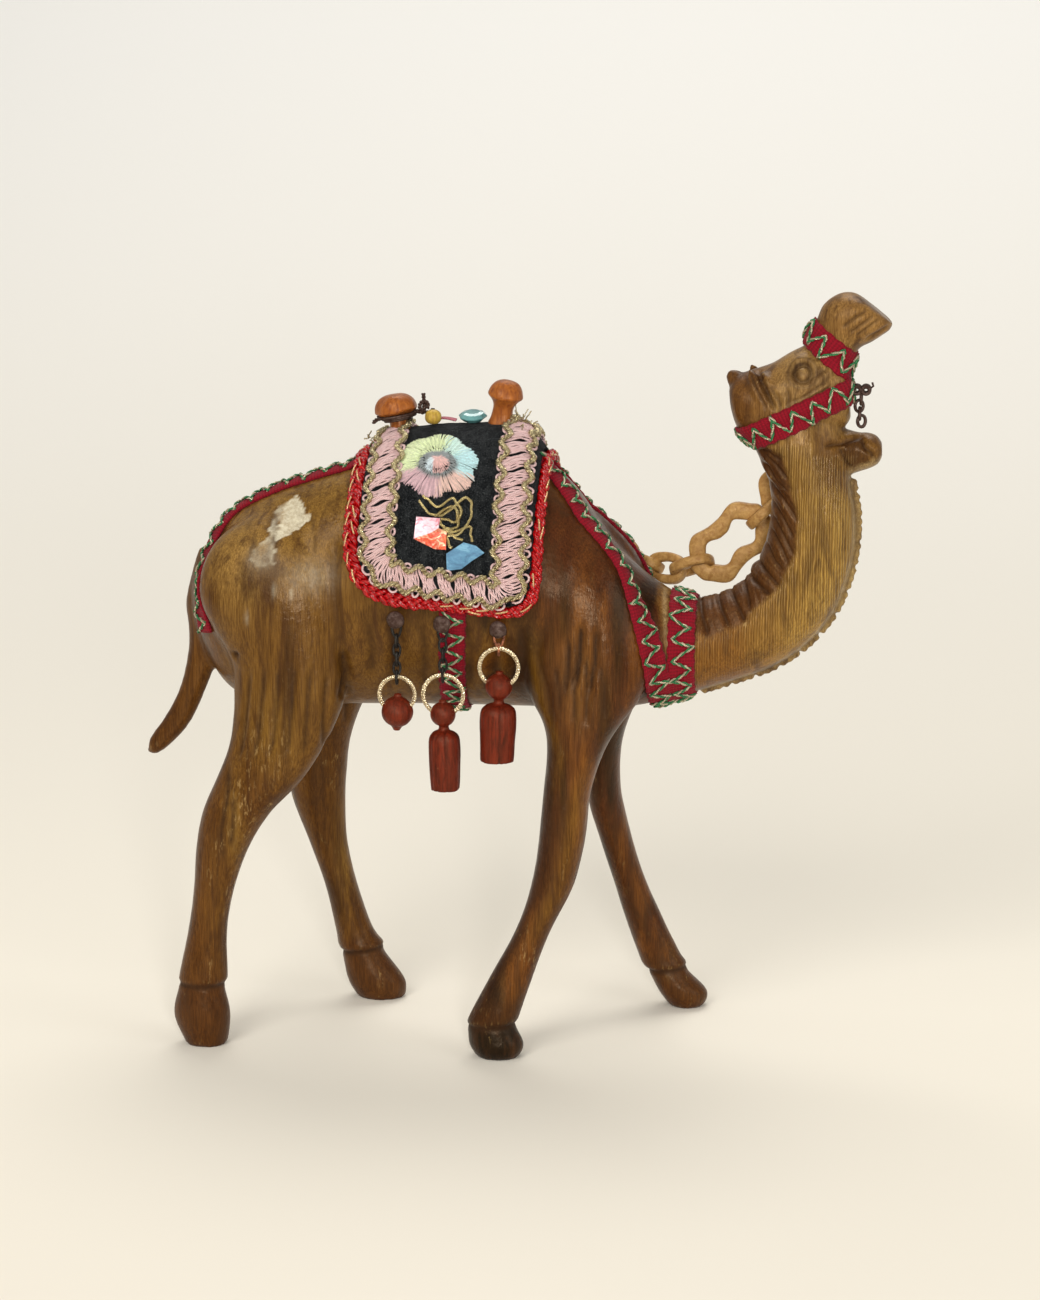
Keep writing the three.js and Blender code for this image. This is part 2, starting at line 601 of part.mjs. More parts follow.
function addTextiles() {
  const clothInset = deeper(BRAID_WIDE, BUTT_GAP);
  const whole = sidePrism(saddleShape({ rear: 0, front: 0, low: 0 }));
  const clothRegion = sidePrism(saddleShape(clothInset));
  const gimpRegion = clothRegion.subtract(sidePrism(saddleShape(deeper(clothInset, GIMP_WIDE))));
  const knobs = [knobHole(FRONT_KNOB), knobHole(REAR_KNOB)];
  const cloth = without(layer(LAY_GAP, CLOTH_THICK, clothRegion), knobs);
  const gimp = without(layer(clothTop(), GIMP_THICK, gimpRegion), knobs);
  const braid = layer(LAY_GAP, BRAID_THICK, whole.subtract(sidePrism(saddleShape(BRAID_WIDE))));
  addPiece('saddle_cloth', geometryOf(cloth), BLACK_PILE);
  addPiece('gimp_braid', geometryOf(gimp), PINK_YARN);
  addPiece('red_braid', geometryOf(braid), RED_SATIN);

  const saddleRoom = sidePrism(saddleShape(deeper({ rear: 0, front: 0, low: 0 }, -BUTT_GAP)));
  const collarRoom = ribbonRegion(COLLAR_LINE, 2 * BUTT_GAP);
  const headBandRoom = ribbonRegion(HEAD_BAND_LINE, 2 * BUTT_GAP);
  const ribbons = {
    collar_ribbon: ribbonRegion(COLLAR_LINE),
    breast_ribbon: without(ribbonRegion(BREAST_LINE), [saddleRoom, collarRoom]),
    girth_ribbon: without(ribbonRegion(GIRTH_LINE), [saddleRoom, ...nailHoles()]),
    head_band_ribbon: ribbonRegion(HEAD_BAND_LINE),
    noseband_ribbon: ribbonRegion(NOSE_BAND_LINE).subtract(headBandRoom),
    crupper_ribbon: crupperRegion().subtract(saddleRoom),
  };
  for (const [name, region] of Object.entries(ribbons)) {
    addPiece(name, geometryOf(layer(LAY_GAP, RIBBON_THICK, region)), RED_RIBBON);
  }
}

// Region of the ribbon along the spine, which passes the root of the tail on the near side
function crupperRegion() {
  const half = RIBBON_WIDE / 2;
  const { beside, forkTop, forkLow, end } = CRUPPER;
  const outline = [
    [-half, SADDLE.top], [half, SADDLE.top], [half, forkTop], [beside + half, forkLow], [beside + half, end],
    [beside - half, end], [beside - half, forkLow], [-half, forkTop],
  ];
  const tailRoom = solidOf(loft(TAIL, SMALL_SIDES, 2 * LAY_GAP + RIBBON_THICK));
  return rearPrism(outline, ...CRUPPER_RUN).subtract(tailRoom);
}

// How far the cloth's top and the next layer's underside lie off the wood
function clothTop() {
  return LAY_GAP + CLOTH_THICK + LAY_GAP;
}

// Place in the side view of a patch's point on the cloth
function onCloth([share, up]) {
  const inset = deeper(deeper(BRAID_WIDE, BUTT_GAP), GIMP_WIDE);
  const x = THREE.MathUtils.lerp(SADDLE.rear + inset.rear, SADDLE.front - inset.front, share);
  const low = THREE.MathUtils.lerp(SADDLE.rearLow, SADDLE.frontLow, share) + inset.low;
  return new THREE.Vector2(x, low + up);
}

// Flat patches sewn or glued to the cloth, on both sides
function addPatches() {
  const petals = [];
  const steps = 3 * FLOWER.petals;
  for (let i = 0; i < steps; i += 1) {
    const angle = (2 * Math.PI * i) / steps;
    const reach = i % 3 === 0 ? FLOWER.notch : 1;
    petals.push([
      FLOWER.share + FLOWER.wideShare * reach * Math.cos(angle),
      FLOWER.up + FLOWER.high * reach * Math.sin(angle),
    ]);
  }
  const sideRange = { near: [-BEYOND, -1], far: [1, BEYOND] };
  for (const [side, [from, to]] of Object.entries(sideRange)) {
    const patch = (edge) => {
      const shape = new THREE.Shape(edge.map(onCloth));
      return geometryOf(layer(clothTop(), PATCH_THICK, sidePrism(shape, from, to)));
    };
    addPiece(`flower_${side}`, patch(petals), PALE_YARN);
    addPiece(`foil_chip_${side}`, patch(FOIL_CHIP), FOIL);
    addPiece(`blue_chip_${side}`, patch(BLUE_CHIP), BLUE_FOIL);
  }
}

// Ring of round wire; its axis is the local Z
function wireRing(radius, wire, steps, sides = 3) {
  return new THREE.TorusGeometry(radius, wire, sides, steps);
}

// Stands a shape with an axis along the local Z out of the camel's side
function outward(geometry, side, x, y, z) {
  return geometry.rotateX((-side * Math.PI) / 2).translate(x, y, z);
}

// Nail, fine chain, gold ring and turned bead at one place of the flank
function addDrop(drop, index, side) {
  const label = `${side < 0 ? 'near' : 'far'}_${index + 1}`;
  const flank = flankAt(drop.x, drop.z);
  const under = NAIL.proud; // underside of the head, off the wood
  const nail = turned([
    [0, -NAIL.deep], [NAIL.shaft, -NAIL.deep], [NAIL.shaft, under], [NAIL.head, under],
    [NAIL.head, under + NAIL.headThick * 0.6], [0, under + NAIL.headThick],
  ], SMALL_SIDES);
  addPiece(`nail_${label}`, outward(nail, side, drop.x, side * flank, drop.z), DARK_METAL);

  // The first link is a long loop round the shaft, behind the head
  const hangY = side * (flank + LAY_GAP + RIBBON_THICK + LAY_GAP + WIRE + 0.2);
  const loopTop = drop.z + NAIL.shaft + LAY_GAP + WIRE;
  const loopHalf = (loopTop - drop.z + NAIL.head + 1) / 2;
  const loopZ = loopTop - loopHalf;
  const lastLow = drop.ringZ + drop.ring - RING_WIRE - LAY_GAP - WIRE;
  const run = loopZ - loopHalf - lastLow; // from the loop's foot to the foot of the last link
  const pitch = run / drop.links;
  const link = pitch / 2 + WIRE - BITE;
  const loop = wireRing(LOOP_HALF, WIRE, 6).scale(1, loopHalf / LOOP_HALF, 1);
  const chain = [loop.rotateX(Math.PI / 2).translate(drop.x, hangY, loopZ)];
  for (let i = 1; i <= drop.links; i += 1) {
    const turn = i === drop.links ? Math.PI / 2 : Math.PI * (i % 2 ? 0.3 : -0.2);
    const z = lastLow + link + (drop.links - i) * pitch;
    chain.push(wireRing(link, WIRE, 6).rotateX(Math.PI / 2).rotateZ(turn).translate(drop.x, hangY, z));
  }
  addPiece(`drop_chain_${label}`, geometryOf(joined(chain.map(solidOf))), index === 2 ? COPPER : DARK_METAL);

  const ring = outward(wireRing(drop.ring, RING_WIRE, 12), side, drop.x, hangY, drop.ringZ);
  addPiece(`drop_ring_${label}`, ring, GOLD);

  // The beads of the far side are lost
  if (side > 0) return;
  const bead = pendant(drop).translate(drop.x, hangY, drop.ringZ - drop.ring);
  const bore = outward(wireRing(drop.ring, RING_WIRE + HOLE_PLAY, 12, 4), side, drop.x, hangY, drop.ringZ);
  addPiece(`pendant_${label}`, geometryOf(solidOf(bead).subtract(solidOf(bore))), BEAD_WOOD);
}

// Turned ball with a barrel under it, or with the stub of a broken one; its middle is the ball's
function pendant({ ball, wide, long }) {
  const profile = [];
  if (long > 0) {
    const top = -ball - 0.8;
    profile.push([0, top - long], [wide * 0.93, top - long]);
    profile.push([wide, top - long * 0.4], [wide * 0.6, top - 0.4]);
  } else {
    profile.push([0, -ball - 0.9], [1, -ball - 0.6]);
  }
  profile.push([1.5, -ball * 0.9], [ball * 0.9, -ball * 0.45], [ball * 0.92, ball * 0.4]);
  profile.push([1, ball * 0.96], [0, ball + 0.8]);
  return turned(profile, TURNED_SIDES);
}

// Turned knob with a domed cap; its foot is at the local origin
function knob({ cap, capHigh, stem, stemHigh }) {
  return turned([
    [0, 0], [stem * 1.2, 0], [stem, stemHigh * 0.5], [stem * 1.1, stemHigh], [cap * 0.96, stemHigh + 0.8],
    [cap, stemHigh + 1.8], [cap * 0.72, stemHigh + capHigh * 0.8], [0, stemHigh + capHigh],
  ], TURNED_SIDES + 2);
}

function addSaddleTop() {
  for (const [name, size, lift] of [['front_pommel', FRONT_KNOB, 0.3], ['rear_pommel', REAR_KNOB, 0.7]]) {
    const mesh = addPiece(name, knob(size), KNOB_WOOD);
    mesh.position.set(size.x, 0, backAt(size.x) + LAY_GAP + lift);
    mesh.rotation.y = size.tilt;
  }

  // Wire wound round the rear knob, above the layers, with its two ends sticking out forward
  const { stem, x, tilt } = REAR_KNOB;
  const inner = stem * 1.1 + LAY_GAP;
  const wound = [
    [inner, 3.2], [inner + 1.2, 3.2], [inner + 1.6, 4.2], [inner + 1.1, 5], [inner, 5], [inner, 3.2],
  ];
  const coil = [
    turned(wound, TURNED_SIDES),
    roll([3.4, -0.6, 4.2], [7.9, -1.3, 4.6], 0.8, 4),
    roll([7.1, -1.2, 3.6], [7.9, -1.4, 9.4], 0.8, 4),
    roll([3.4, 0.6, 4.2], [9.8, 1.6, 3.8], 0.8, 4),
  ];
  const wire = addPiece('pommel_wire', geometryOf(joined(coil.map(solidOf))), DARK_METAL);
  wire.position.set(x, 0, backAt(x) + 2 * LAY_GAP + 0.4);
  wire.rotation.y = tilt;

  const restZ = (place) => backAt(place) + clothTop() + 0.2;
  const bead = turned([[0, 0], [1.6, 0.5], [2.1, 2], [1.5, 3.4], [0, 3.9]], SMALL_SIDES);
  addPiece('yellow_bead', bead, YELLOW_BEAD).position.set(SEAT.bead, -3.2, restZ(SEAT.bead));
  const gem = turned([[0, 0], [2.8, 0.3], [3.8, 1.3], [2.2, 2.5], [0, 2.5]], TURNED_SIDES);
  addPiece('glass_gem', gem, TEAL_GLASS).position.set(SEAT.gem, 0, restZ(SEAT.gem));
  const strip = new THREE.BoxGeometry(6.6, 2.4, 1).translate(0, 0, 0.6);
  addPiece('pink_strip', strip, RED_RIBBON).position.set(SEAT.strip, 1.4, restZ(SEAT.strip));
}

// Flat link with a long hole; it lies in the local XY with its length along X
function flatLink({ long, wide, bar, thick, waves, points }) {
  const outline = (inset) => {
    const ring = [];
    for (let i = 0; i < points; i += 1) {
      const angle = (2 * Math.PI * i) / points;
      const wave = waves * Math.cos(6 * angle);
      const [a, b] = [long / 2 - inset, wide / 2 - inset + wave];
      const [c, s] = [Math.cos(angle), Math.sin(angle)];
      const [px, py] = [c, s].map((value) => Math.sign(value) * Math.abs(value) ** 0.8);
      ring.push(new THREE.Vector2(a * px, b * py));
    }
    return ring;
  };
  const shape = new THREE.Shape(outline(0));
  shape.holes.push(new THREE.Path(outline(bar)));
  return new THREE.ExtrudeGeometry(shape, { depth: thick, bevelEnabled: false }).translate(0, 0, -thick / 2);
}

// The lead chain: each link turned against the last, pressed together where they touch
function addLeadChain() {
  const route = new THREE.CatmullRomCurve3(LEAD_ROUTE.map((point) => new THREE.Vector3(...point)));
  const length = route.getLength();
  const links = [];
  let at = LEAD_LINKS[0][0].long / 2;
  LEAD_LINKS.forEach(([size, turn], i) => {
    if (i > 0) {
      const before = LEAD_LINKS[i - 1][0];
      at += (before.long + size.long) / 2 - before.bar - size.bar + 4 * BITE;
    }
    const along = route.getTangentAt(Math.min(at / length, 1));
    const centre = route.getPointAt(Math.min(at / length, 1));
    const facing = new THREE.Vector3(0, 1, 0).addScaledVector(along, -along.y).normalize();
    const across = facing.clone().cross(along);
    const frame = new THREE.Matrix4().makeBasis(along, across, facing).setPosition(centre);
    const link = flatLink(size).rotateX(THREE.MathUtils.degToRad(turn));
    links.push(solidOf(link.applyMatrix4(frame)));
  });
  addPiece('lead_chain', geometryOf(joined(links)), PALE_WOOD);
}

// Dark coil and links that hang in the corner of the mouth
function addBridleChain() {
  const [x, y, coilZ] = BRIDLE;
  const link = 2;
  const coil = [[0.8, -1.8], [1.9, -1.8], [1.6, -0.6], [2, 0], [1.6, 0.6], [1.9, 1.8], [0.8, 1.8], [0.8, -1.8]];
  const pieces = [turned(coil, SMALL_SIDES).rotateX(Math.PI / 2).translate(x, y, coilZ)];
  for (let i = 0; i < 2; i += 1) {
    const ring = wireRing(link, WIRE, 6).rotateX(Math.PI / 2).rotateZ(i ? 0 : Math.PI / 2);
    pieces.push(ring.translate(x, y, coilZ - 3.3 - i * (2 * link - 2 * WIRE + BITE)));
  }
  addPiece('bridle_chain', geometryOf(joined(pieces.map(solidOf))), DARK_METAL);
}

addPiece('camel_body', geometryOf(carvedBody()), WOOD);
addTextiles();
addPatches();
addSaddleTop();
MIRROR_SIDES.forEach((side) => DROPS.forEach((drop, index) => addDrop(drop, index, side)));
addLeadChain();
addBridleChain();

export default camel;
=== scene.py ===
"""A hand-carved wooden camel in woven trappings, with hanging beads and a wooden lead chain.

The camel faces +X, its far side is +Y, +Z is up and the floor is z = 0. Sizes in the classes are
in millimetres, and become metres where a mesh is written.
"""

import itertools
import logging
import math
import random
from dataclasses import dataclass, field
from enum import Enum
from typing import Any, Optional, Sequence

import bmesh
import bpy
import numpy as np
from mathutils import Matrix, Vector
from mathutils.bvhtree import BVHTree

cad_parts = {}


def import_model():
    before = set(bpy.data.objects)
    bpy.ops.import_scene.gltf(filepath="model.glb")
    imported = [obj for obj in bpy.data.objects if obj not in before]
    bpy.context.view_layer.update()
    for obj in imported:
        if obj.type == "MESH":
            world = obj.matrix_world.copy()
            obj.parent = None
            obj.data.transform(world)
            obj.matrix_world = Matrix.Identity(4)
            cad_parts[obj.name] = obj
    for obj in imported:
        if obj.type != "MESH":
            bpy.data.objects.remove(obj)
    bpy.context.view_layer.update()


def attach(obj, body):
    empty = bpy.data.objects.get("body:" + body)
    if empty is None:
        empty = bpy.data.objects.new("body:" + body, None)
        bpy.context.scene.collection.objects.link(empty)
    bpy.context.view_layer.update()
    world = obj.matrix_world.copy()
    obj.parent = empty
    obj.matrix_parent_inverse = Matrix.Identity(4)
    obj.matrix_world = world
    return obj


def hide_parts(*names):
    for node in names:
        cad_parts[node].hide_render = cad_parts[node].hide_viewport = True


LOG = logging.getLogger("camel")
MM = 0.001
Row = Sequence[float]
Pair = tuple[float, float]
Colour = tuple[float, float, float]
Points = np.ndarray
Shape = bmesh.types.BMesh
Material = bpy.types.Material
Outline = tuple[Pair, ...]
Lines = tuple[Sequence[Pair], ...]
Rows = tuple[tuple[float, ...], ...]
Marks = tuple[tuple[Any, ...], ...]


class Side(Enum):
    """The two sides of the animal, by the sign of y."""

    NEAR = -1
    FAR = 1


SIDES = (Side.NEAR, Side.FAR)


# Small tools


def smooth_rows(rows: Sequence[Row], fine: int) -> Points:
    """Runs a smooth curve through rows of numbers.

    Args:
        rows: the rows, each with the same count of numbers.
        fine: steps from one row to the next.

    Returns:
        The finer rows, as an array.
    """
    table = np.array(rows, float)
    last = len(table) - 1
    out = []
    for i in range(last):
        a, b, c, d = (table[min(max(i + k, 0), last)] for k in (-1, 0, 1, 2))
        for t in np.arange(fine) / fine:
            out.append(0.5 * (2 * b + (c - a) * t + (2 * a - 5 * b + 4 * c - d) * t * t
                              + (3 * b - a - 3 * c + d) * t ** 3))
    return np.array([*out, table[-1]])


def even_steps(points: Points, step: float, closed: bool = False) -> Points:
    """Places points along a line at an even distance.

    Args:
        points: the line's points.
        step: the wished distance.
        closed: whether the line comes back to its first point.

    Returns:
        The evenly spaced points, without the repeated last one if closed.
    """
    line = np.vstack([points, points[:1]]) if closed else points
    run = np.concatenate([[0], np.cumsum(np.linalg.norm(np.diff(line, axis=0), axis=1))])
    count = max(3, round(run[-1] / step))
    marks = np.linspace(0, run[-1], count + 1)
    if closed:
        marks = marks[:-1]
    return np.stack([np.interp(marks, run, line[:, k]) for k in range(line.shape[1])], axis=1)


def unit(vectors: Points) -> Points:
    """Rows of vectors brought to length one."""
    return vectors / np.maximum(np.linalg.norm(vectors, axis=-1, keepdims=True), 1e-9)


def blurred(values: Points, times: int, closed: bool) -> Points:
    """Evens out rows along a line.

    Args:
        values: the rows.
        times: how often each row is mixed with its neighbours.
        closed: whether the line comes back to its first row.

    Returns:
        The evened rows.
    """
    rows = values.copy()
    for _ in range(times):
        before, after = np.roll(rows, 1, axis=0), np.roll(rows, -1, axis=0)
        mixed = 0.25 * before + 0.5 * rows + 0.25 * after
        if not closed:
            mixed[0], mixed[-1] = rows[0], rows[-1]
        rows = mixed
    return rows


def lattice(cells: Points, seed: int) -> Points:
    """A repeatable random number from 0 to 1 for each whole-numbered cell."""
    value = np.sin(cells @ np.array([12.9898, 78.233, 37.719]) + seed * 3.17) * 43758.5453
    return value - np.floor(value)


def cloudy(places: Points, size: Sequence[float], seed: int) -> Points:
    """Smooth random values in space.

    Args:
        places: the places, one row each.
        size: the size of the clouds along x, y and z.
        seed: picks the pattern.

    Returns:
        One value from -1 to 1 for each place.
    """
    spot = places / np.array(size)
    cell = np.floor(spot)
    part = spot - cell
    part = part * part * (3 - 2 * part)
    total = np.zeros(len(places))
    for corner in itertools.product((0, 1), repeat=3):
        x, y, z = np.abs(1 - np.array(corner) - part).T
        total += x * y * z * lattice(cell + np.array(corner), seed)
    return 2 * total - 1


def far_from_line(places: Points, line: Sequence[Pair]) -> tuple[Points, Points]:
    """Distance from a broken line in the side view.

    Args:
        places: the places, x and z in their columns 0 and 1.
        line: the corners of the line.

    Returns:
        The distances, and where along the line each nearest point is, from 0 to 1.
    """
    corners = np.array(line, float)
    spans = np.linalg.norm(np.diff(corners, axis=0), axis=1)
    total = spans.sum()
    best = np.full(len(places), 1e9)
    along = np.zeros(len(places))
    start = 0.0
    for a, b, span in zip(corners, corners[1:], spans):
        share = np.clip(((places - a) @ (b - a)) / span ** 2, 0, 1)
        gap = np.linalg.norm(places - (a + share[:, None] * (b - a)), axis=1)
        closer = gap < best
        best[closer] = gap[closer]
        along[closer] = (start + share[closer] * span) / total
        start += span
    return best, along


def inside(places: Points, outline: Sequence[Pair]) -> Points:
    """Whether places of the side view lie inside an outline.

    Args:
        places: the places, x and z in their columns.
        outline: the outline's corners.

    Returns:
        True or false for each place.
    """
    x, z = places[:, 0], places[:, 1]
    odd = np.zeros(len(places), bool)
    for (ax, az), (bx, bz) in zip(outline, list(outline[1:]) + [outline[0]]):
        crosses = (az > z) != (bz > z)
        reach = (bx - ax) * (z - az) / (bz - az if bz != az else 1e-9) + ax
        odd ^= crosses & (x < reach)
    return odd


def blob(places: Points, middle: Pair, reach: Pair) -> Points:
    """A soft spot of the side view for places in space, 1 at its middle."""
    return np.exp(-(((places[:, [0, 2]] - np.array(middle)) / np.array(reach)) ** 2).sum(axis=1))


def bell(value: Points, wide: float) -> Points:
    """A soft peak, 1 where the value is 0."""
    return np.exp(-(value / wide) ** 2)


# Finishes


class Recipe:
    """Writes one material's nodes in few words."""

    def __init__(self, name: str) -> None:
        """Starts an empty material with a shader on its output.

        Args:
            name: the material's name.
        """
        self.material = bpy.data.materials.new(name)
        self.material.use_nodes = True
        self.tree = self.material.node_tree
        self.tree.nodes.clear()
        self.shader = self.add("BsdfPrincipled")
        self.add("OutputMaterial", self.shader.outputs[0])

    def plug(self, socket: Any, value: Any) -> None:
        """Puts something on a socket.

        Args:
            socket: the socket.
            value: a number, a vector, a colour or another node's output.
        """
        if isinstance(value, bpy.types.NodeSocket):
            self.tree.links.new(value, socket)
        elif socket.type == "RGBA" and len(value) == 3:
            socket.default_value = (*value, 1)
        else:
            socket.default_value = value

    def add(self, kind: str, *values: Any, **settings: Any) -> Any:
        """Adds a node.

        Args:
            kind: its type, without the words that all types start with.
            values: what goes on its first sockets.
            settings: its properties, and its sockets by their capital names.

        Returns:
            The node.
        """
        node = self.tree.nodes.new("ShaderNode" + kind)
        for name, value in settings.items():
            if name.islower():
                setattr(node, name, value)
            else:
                self.plug(node.inputs[name.replace("_", " ")], value)
        for socket, value in zip(node.inputs, values):
            self.plug(socket, value)
        return node

    def set(self, **inputs: Any) -> None:
        """Sets the shader's sockets; an underscore in a name stands for a space."""
        for name, value in inputs.items():
            self.plug(self.shader.inputs[name.replace("_", " ")], value)

    def place(self) -> Any:
        """The place on the piece, in millimetres."""
        return self.stretch(self.add("TexCoord").outputs["Object"], (1 / MM, 1 / MM, 1 / MM))

    def along(self) -> Any:
        """The place along and across a woven piece, in millimetres."""
        return self.add("UVMap").outputs[0]

    def stretch(self, vector: Any, scale: Row) -> Any:
        """A vector with each part multiplied."""
        return self.add("VectorMath", vector, scale, operation="MULTIPLY").outputs[0]

    def part(self, vector: Any, axis: int) -> Any:
        """One part of a vector."""
        return self.add("SeparateXYZ", vector).outputs[axis]

    def mark(self, name: str, output: str = "Fac") -> Any:
        """A value or a colour painted on the piece's points."""
        return self.add("Attribute", attribute_name=name).outputs[output]

    def noise(self, vector: Any, scale: float, detail: float = 3, rough: float = 0.5, twist: float = 0.0) -> Any:
        """Cloudy values from 0 to 1."""
        return self.add("TexNoise", Vector=vector, Scale=scale, Detail=detail, Roughness=rough,
                        Distortion=twist).outputs["Fac"]

    def grain(self, vector: Any, scale: Row, *settings: float) -> Any:
        """Cloudy values drawn out along an axis; the settings are noise's, from the detail on."""
        return self.noise(self.stretch(vector, scale), 1.0, *settings)

    def bands(self, vector: Any, scale: float, twist: float, detail: float, axis: str, fine: float) -> Any:
        """Soft stripes across one axis."""
        return self.add("TexWave", bands_direction=axis, Vector=vector, Scale=scale, Distortion=twist,
                        Detail=detail, Detail_Scale=fine).outputs["Fac"]

    def ramp(self, value: Any, *stops: tuple[float, Colour]) -> Any:
        """A colour for each value.

        Args:
            value: the value.
            stops: values and their colours, in order.

        Returns:
            The colour's output.
        """
        node = self.add("ValToRGB", value)
        elements = node.color_ramp.elements
        while len(elements) < len(stops):
            elements.new(0.5)
        for element, (at, colour) in zip(elements, stops):
            element.position = at
            element.color = (*colour, 1)
        return node.outputs[0]

    def mix(self, share: Any, first: Any, second: Any, how: str = "MIX") -> Any:
        """Mixes two colours.

        Args:
            share: the second colour's share.
            first: the first colour.
            second: the second colour.
            how: the way of mixing.

        Returns:
            The mixed colour's output.
        """
        node = self.add("Mix", data_type="RGBA", blend_type=how, clamp_factor=True)
        for index, value in ((0, share), (6, first), (7, second)):
            self.plug(node.inputs[index], value)
        return node.outputs[2]

    def times(self, first: Any, second: Any) -> Any:
        """Two numbers multiplied."""
        return self.add("Math", first, second, operation="MULTIPLY").outputs[0]

    def plus(self, first: Any, second: Any) -> Any:
        """Two numbers added."""
        return self.add("Math", first, second, operation="ADD").outputs[0]

    def shades(self, value: Any, low: float, high: float, new_low: float, new_high: float) -> Any:
        """A value moved from one range to another, kept inside it."""
        return self.add("MapRange", value, low, high, new_low, new_high).outputs[0]

    def bump(self, height: Any, depth: float, **under: Any) -> Any:
        """Small relief of a depth in millimetres, over the relief given as Normal."""
        return self.add("Bump", Strength=1, Distance=depth * MM, Height=height, **under).outputs[0]


@dataclass(frozen=True)
class CarvedWood:
    """Oiled wood with an upright grain, coloured by tones painted on the piece."""

    name: str = "carved_wood"
    grain_dark: Colour = (0.46, 0.36, 0.3)
    grain_light: Colour = (1.32, 1.36, 1.3)
    stain: Colour = (0.022, 0.007, 0.002)
    vein: Colour = (0.048, 0.017, 0.005)
    bare: Colour = (0.64, 0.58, 0.42)

    def make(self) -> Material:
        """Writes the nodes.

        Returns:
            The material.
        """
        do = Recipe(self.name)
        place = do.place()
        tone = do.mark("tone", "Color")
        fibre = do.grain(place, (1.9, 1.9, 0.09), 5, 0.66, 0.7)
        streak = do.grain(place, (0.22, 0.22, 0.014), 4, 0.6, 1.4)
        patch = do.grain(place, (0.05, 0.05, 0.03), 3, 0.55, 0.8)
        mixed = do.plus(do.times(fibre, 0.42), do.times(streak, 0.4))
        mixed = do.plus(mixed, do.times(patch, 0.26))
        shade = do.ramp(mixed, (0.38, self.grain_dark), (0.53, (0.95, 0.93, 0.9)), (0.68, self.grain_light))
        colour = do.mix(1.0, tone, shade, "MULTIPLY")
        hairs = do.grain(place, (3.4, 3.4, 0.13), 3, 0.6, 0.4)
        hair_shade = do.ramp(hairs, (0.38, (0.62, 0.56, 0.5)), (0.5, (1.0, 1.0, 1.0)), (0.62, (1.3, 1.34, 1.4)))
        colour = do.mix(do.shades(do.mark("cut"), 0.0, 0.5, 0.8, 0.2), colour,
                        do.mix(1.0, colour, hair_shade, "MULTIPLY"))
        veins = do.grain(place, (0.12, 0.12, 0.018), 5, 0.62, 2.2)
        colour = do.mix(do.shades(veins, 0.50, 0.66, 0.0, 0.75), colour, self.vein)
        knots = do.grain(place, (0.45, 0.45, 0.035), 4, 0.7, 1.2)
        colour = do.mix(do.shades(knots, 0.56, 0.68, 0.0, 0.6), colour, self.vein)
        combed = do.mark("combed")
        lines = do.bands(do.stretch(place, (0.47, 0.10, 0.07)), 1.0, 5.5, 3, "X", 1.6)
        dark_lines = do.times(do.shades(lines, 0.15, 0.65, 0.5, 0.0), combed)
        colour = do.mix(dark_lines, colour, (0.085, 0.038, 0.008))
        pale_lines = do.times(do.shades(lines, 0.7, 1.0, 0.0, 0.25), combed)
        colour = do.mix(pale_lines, colour, (0.56, 0.38, 0.13))
        cut = do.mark("cut")
        grit = do.noise(place, 0.9, 4, 0.6)
        colour = do.mix(do.times(cut, do.shades(grit, 0.25, 0.7, 0.55, 1.0)), colour, self.stain)
        worn = do.mark("worn")
        flecks = do.grain(place, (1.1, 1.1, 0.28), 5, 0.7)
        worn = do.times(worn, do.shades(flecks, 0.55, 0.64, 0.0, 0.85))
        colour = do.mix(worn, colour, (0.34, 0.21, 0.075))
        chalk = do.mark("bare")
        powder = do.noise(place, 0.75, 6, 0.75)
        chalk = do.times(chalk, do.shades(powder, 0.3, 0.62, 0.35, 1.0))
        colour = do.mix(chalk, colour, self.bare)
        pits = do.grain(place, (3.2, 3.2, 0.25), 2, 0.5)
        relief = do.bump(pits, 0.05)
        relief = do.bump(do.times(lines, combed), 0.15, Normal=relief)
        relief = do.bump(do.noise(place, 0.45, 3, 0.5), 0.18, Normal=relief)
        gloss = do.shades(patch, 0.3, 0.7, 0.24, 0.42)
        gloss = do.plus(gloss, do.times(cut, 0.25))
        gloss = do.plus(gloss, do.times(chalk, 0.1))
        do.set(Base_Color=colour, Roughness=gloss, Normal=relief, Specular_IOR_Level=0.3,
               Specular_Tint=(1.0, 0.72, 0.46, 1.0))
        return do.material


@dataclass(frozen=True)
class SmallWood:
    """Wood of a turned or cut trimming."""

    name: str
    pale: Colour
    dark: Colour
    chips: Colour
    chip_share: float = 0.35
    gloss: float = 0.4
    stretch: Row = (1.0, 1.0, 0.12)

    def make(self) -> Material:
        """Writes the nodes.

        Returns:
            The material.
        """
        do = Recipe(self.name)
        place = do.place()
        fibre = do.noise(do.stretch(place, self.stretch), 1.3, 5, 0.65, 0.6)
        colour = do.ramp(fibre, (0.33, self.dark), (0.62, self.pale))
        cloud = do.noise(place, 0.28, 3, 0.5)
        colour = do.mix(do.shades(cloud, 0.45, 0.75, 0.0, 0.5), colour, self.dark)
        chip = do.noise(do.stretch(place, (1, 1, 0.6)), 0.9, 4, 0.75)
        chip = do.shades(chip, 0.66, 0.70, 0.0, self.chip_share)
        colour = do.mix(chip, colour, self.chips)
        edge = do.mark("cut")
        colour = do.mix(edge, colour, tuple(v * 0.25 for v in self.dark))
        relief = do.bump(fibre, 0.10)
        relief = do.bump(do.noise(place, 0.9, 3, 0.5), 0.12, Normal=relief)
        do.set(Base_Color=colour, Roughness=do.shades(cloud, 0.3, 0.7, self.gloss - 0.08, self.gloss + 0.14),
               Normal=relief, Specular_IOR_Level=0.35, Specular_Tint=(1.0, 0.68, 0.46, 1.0))
        return do.material


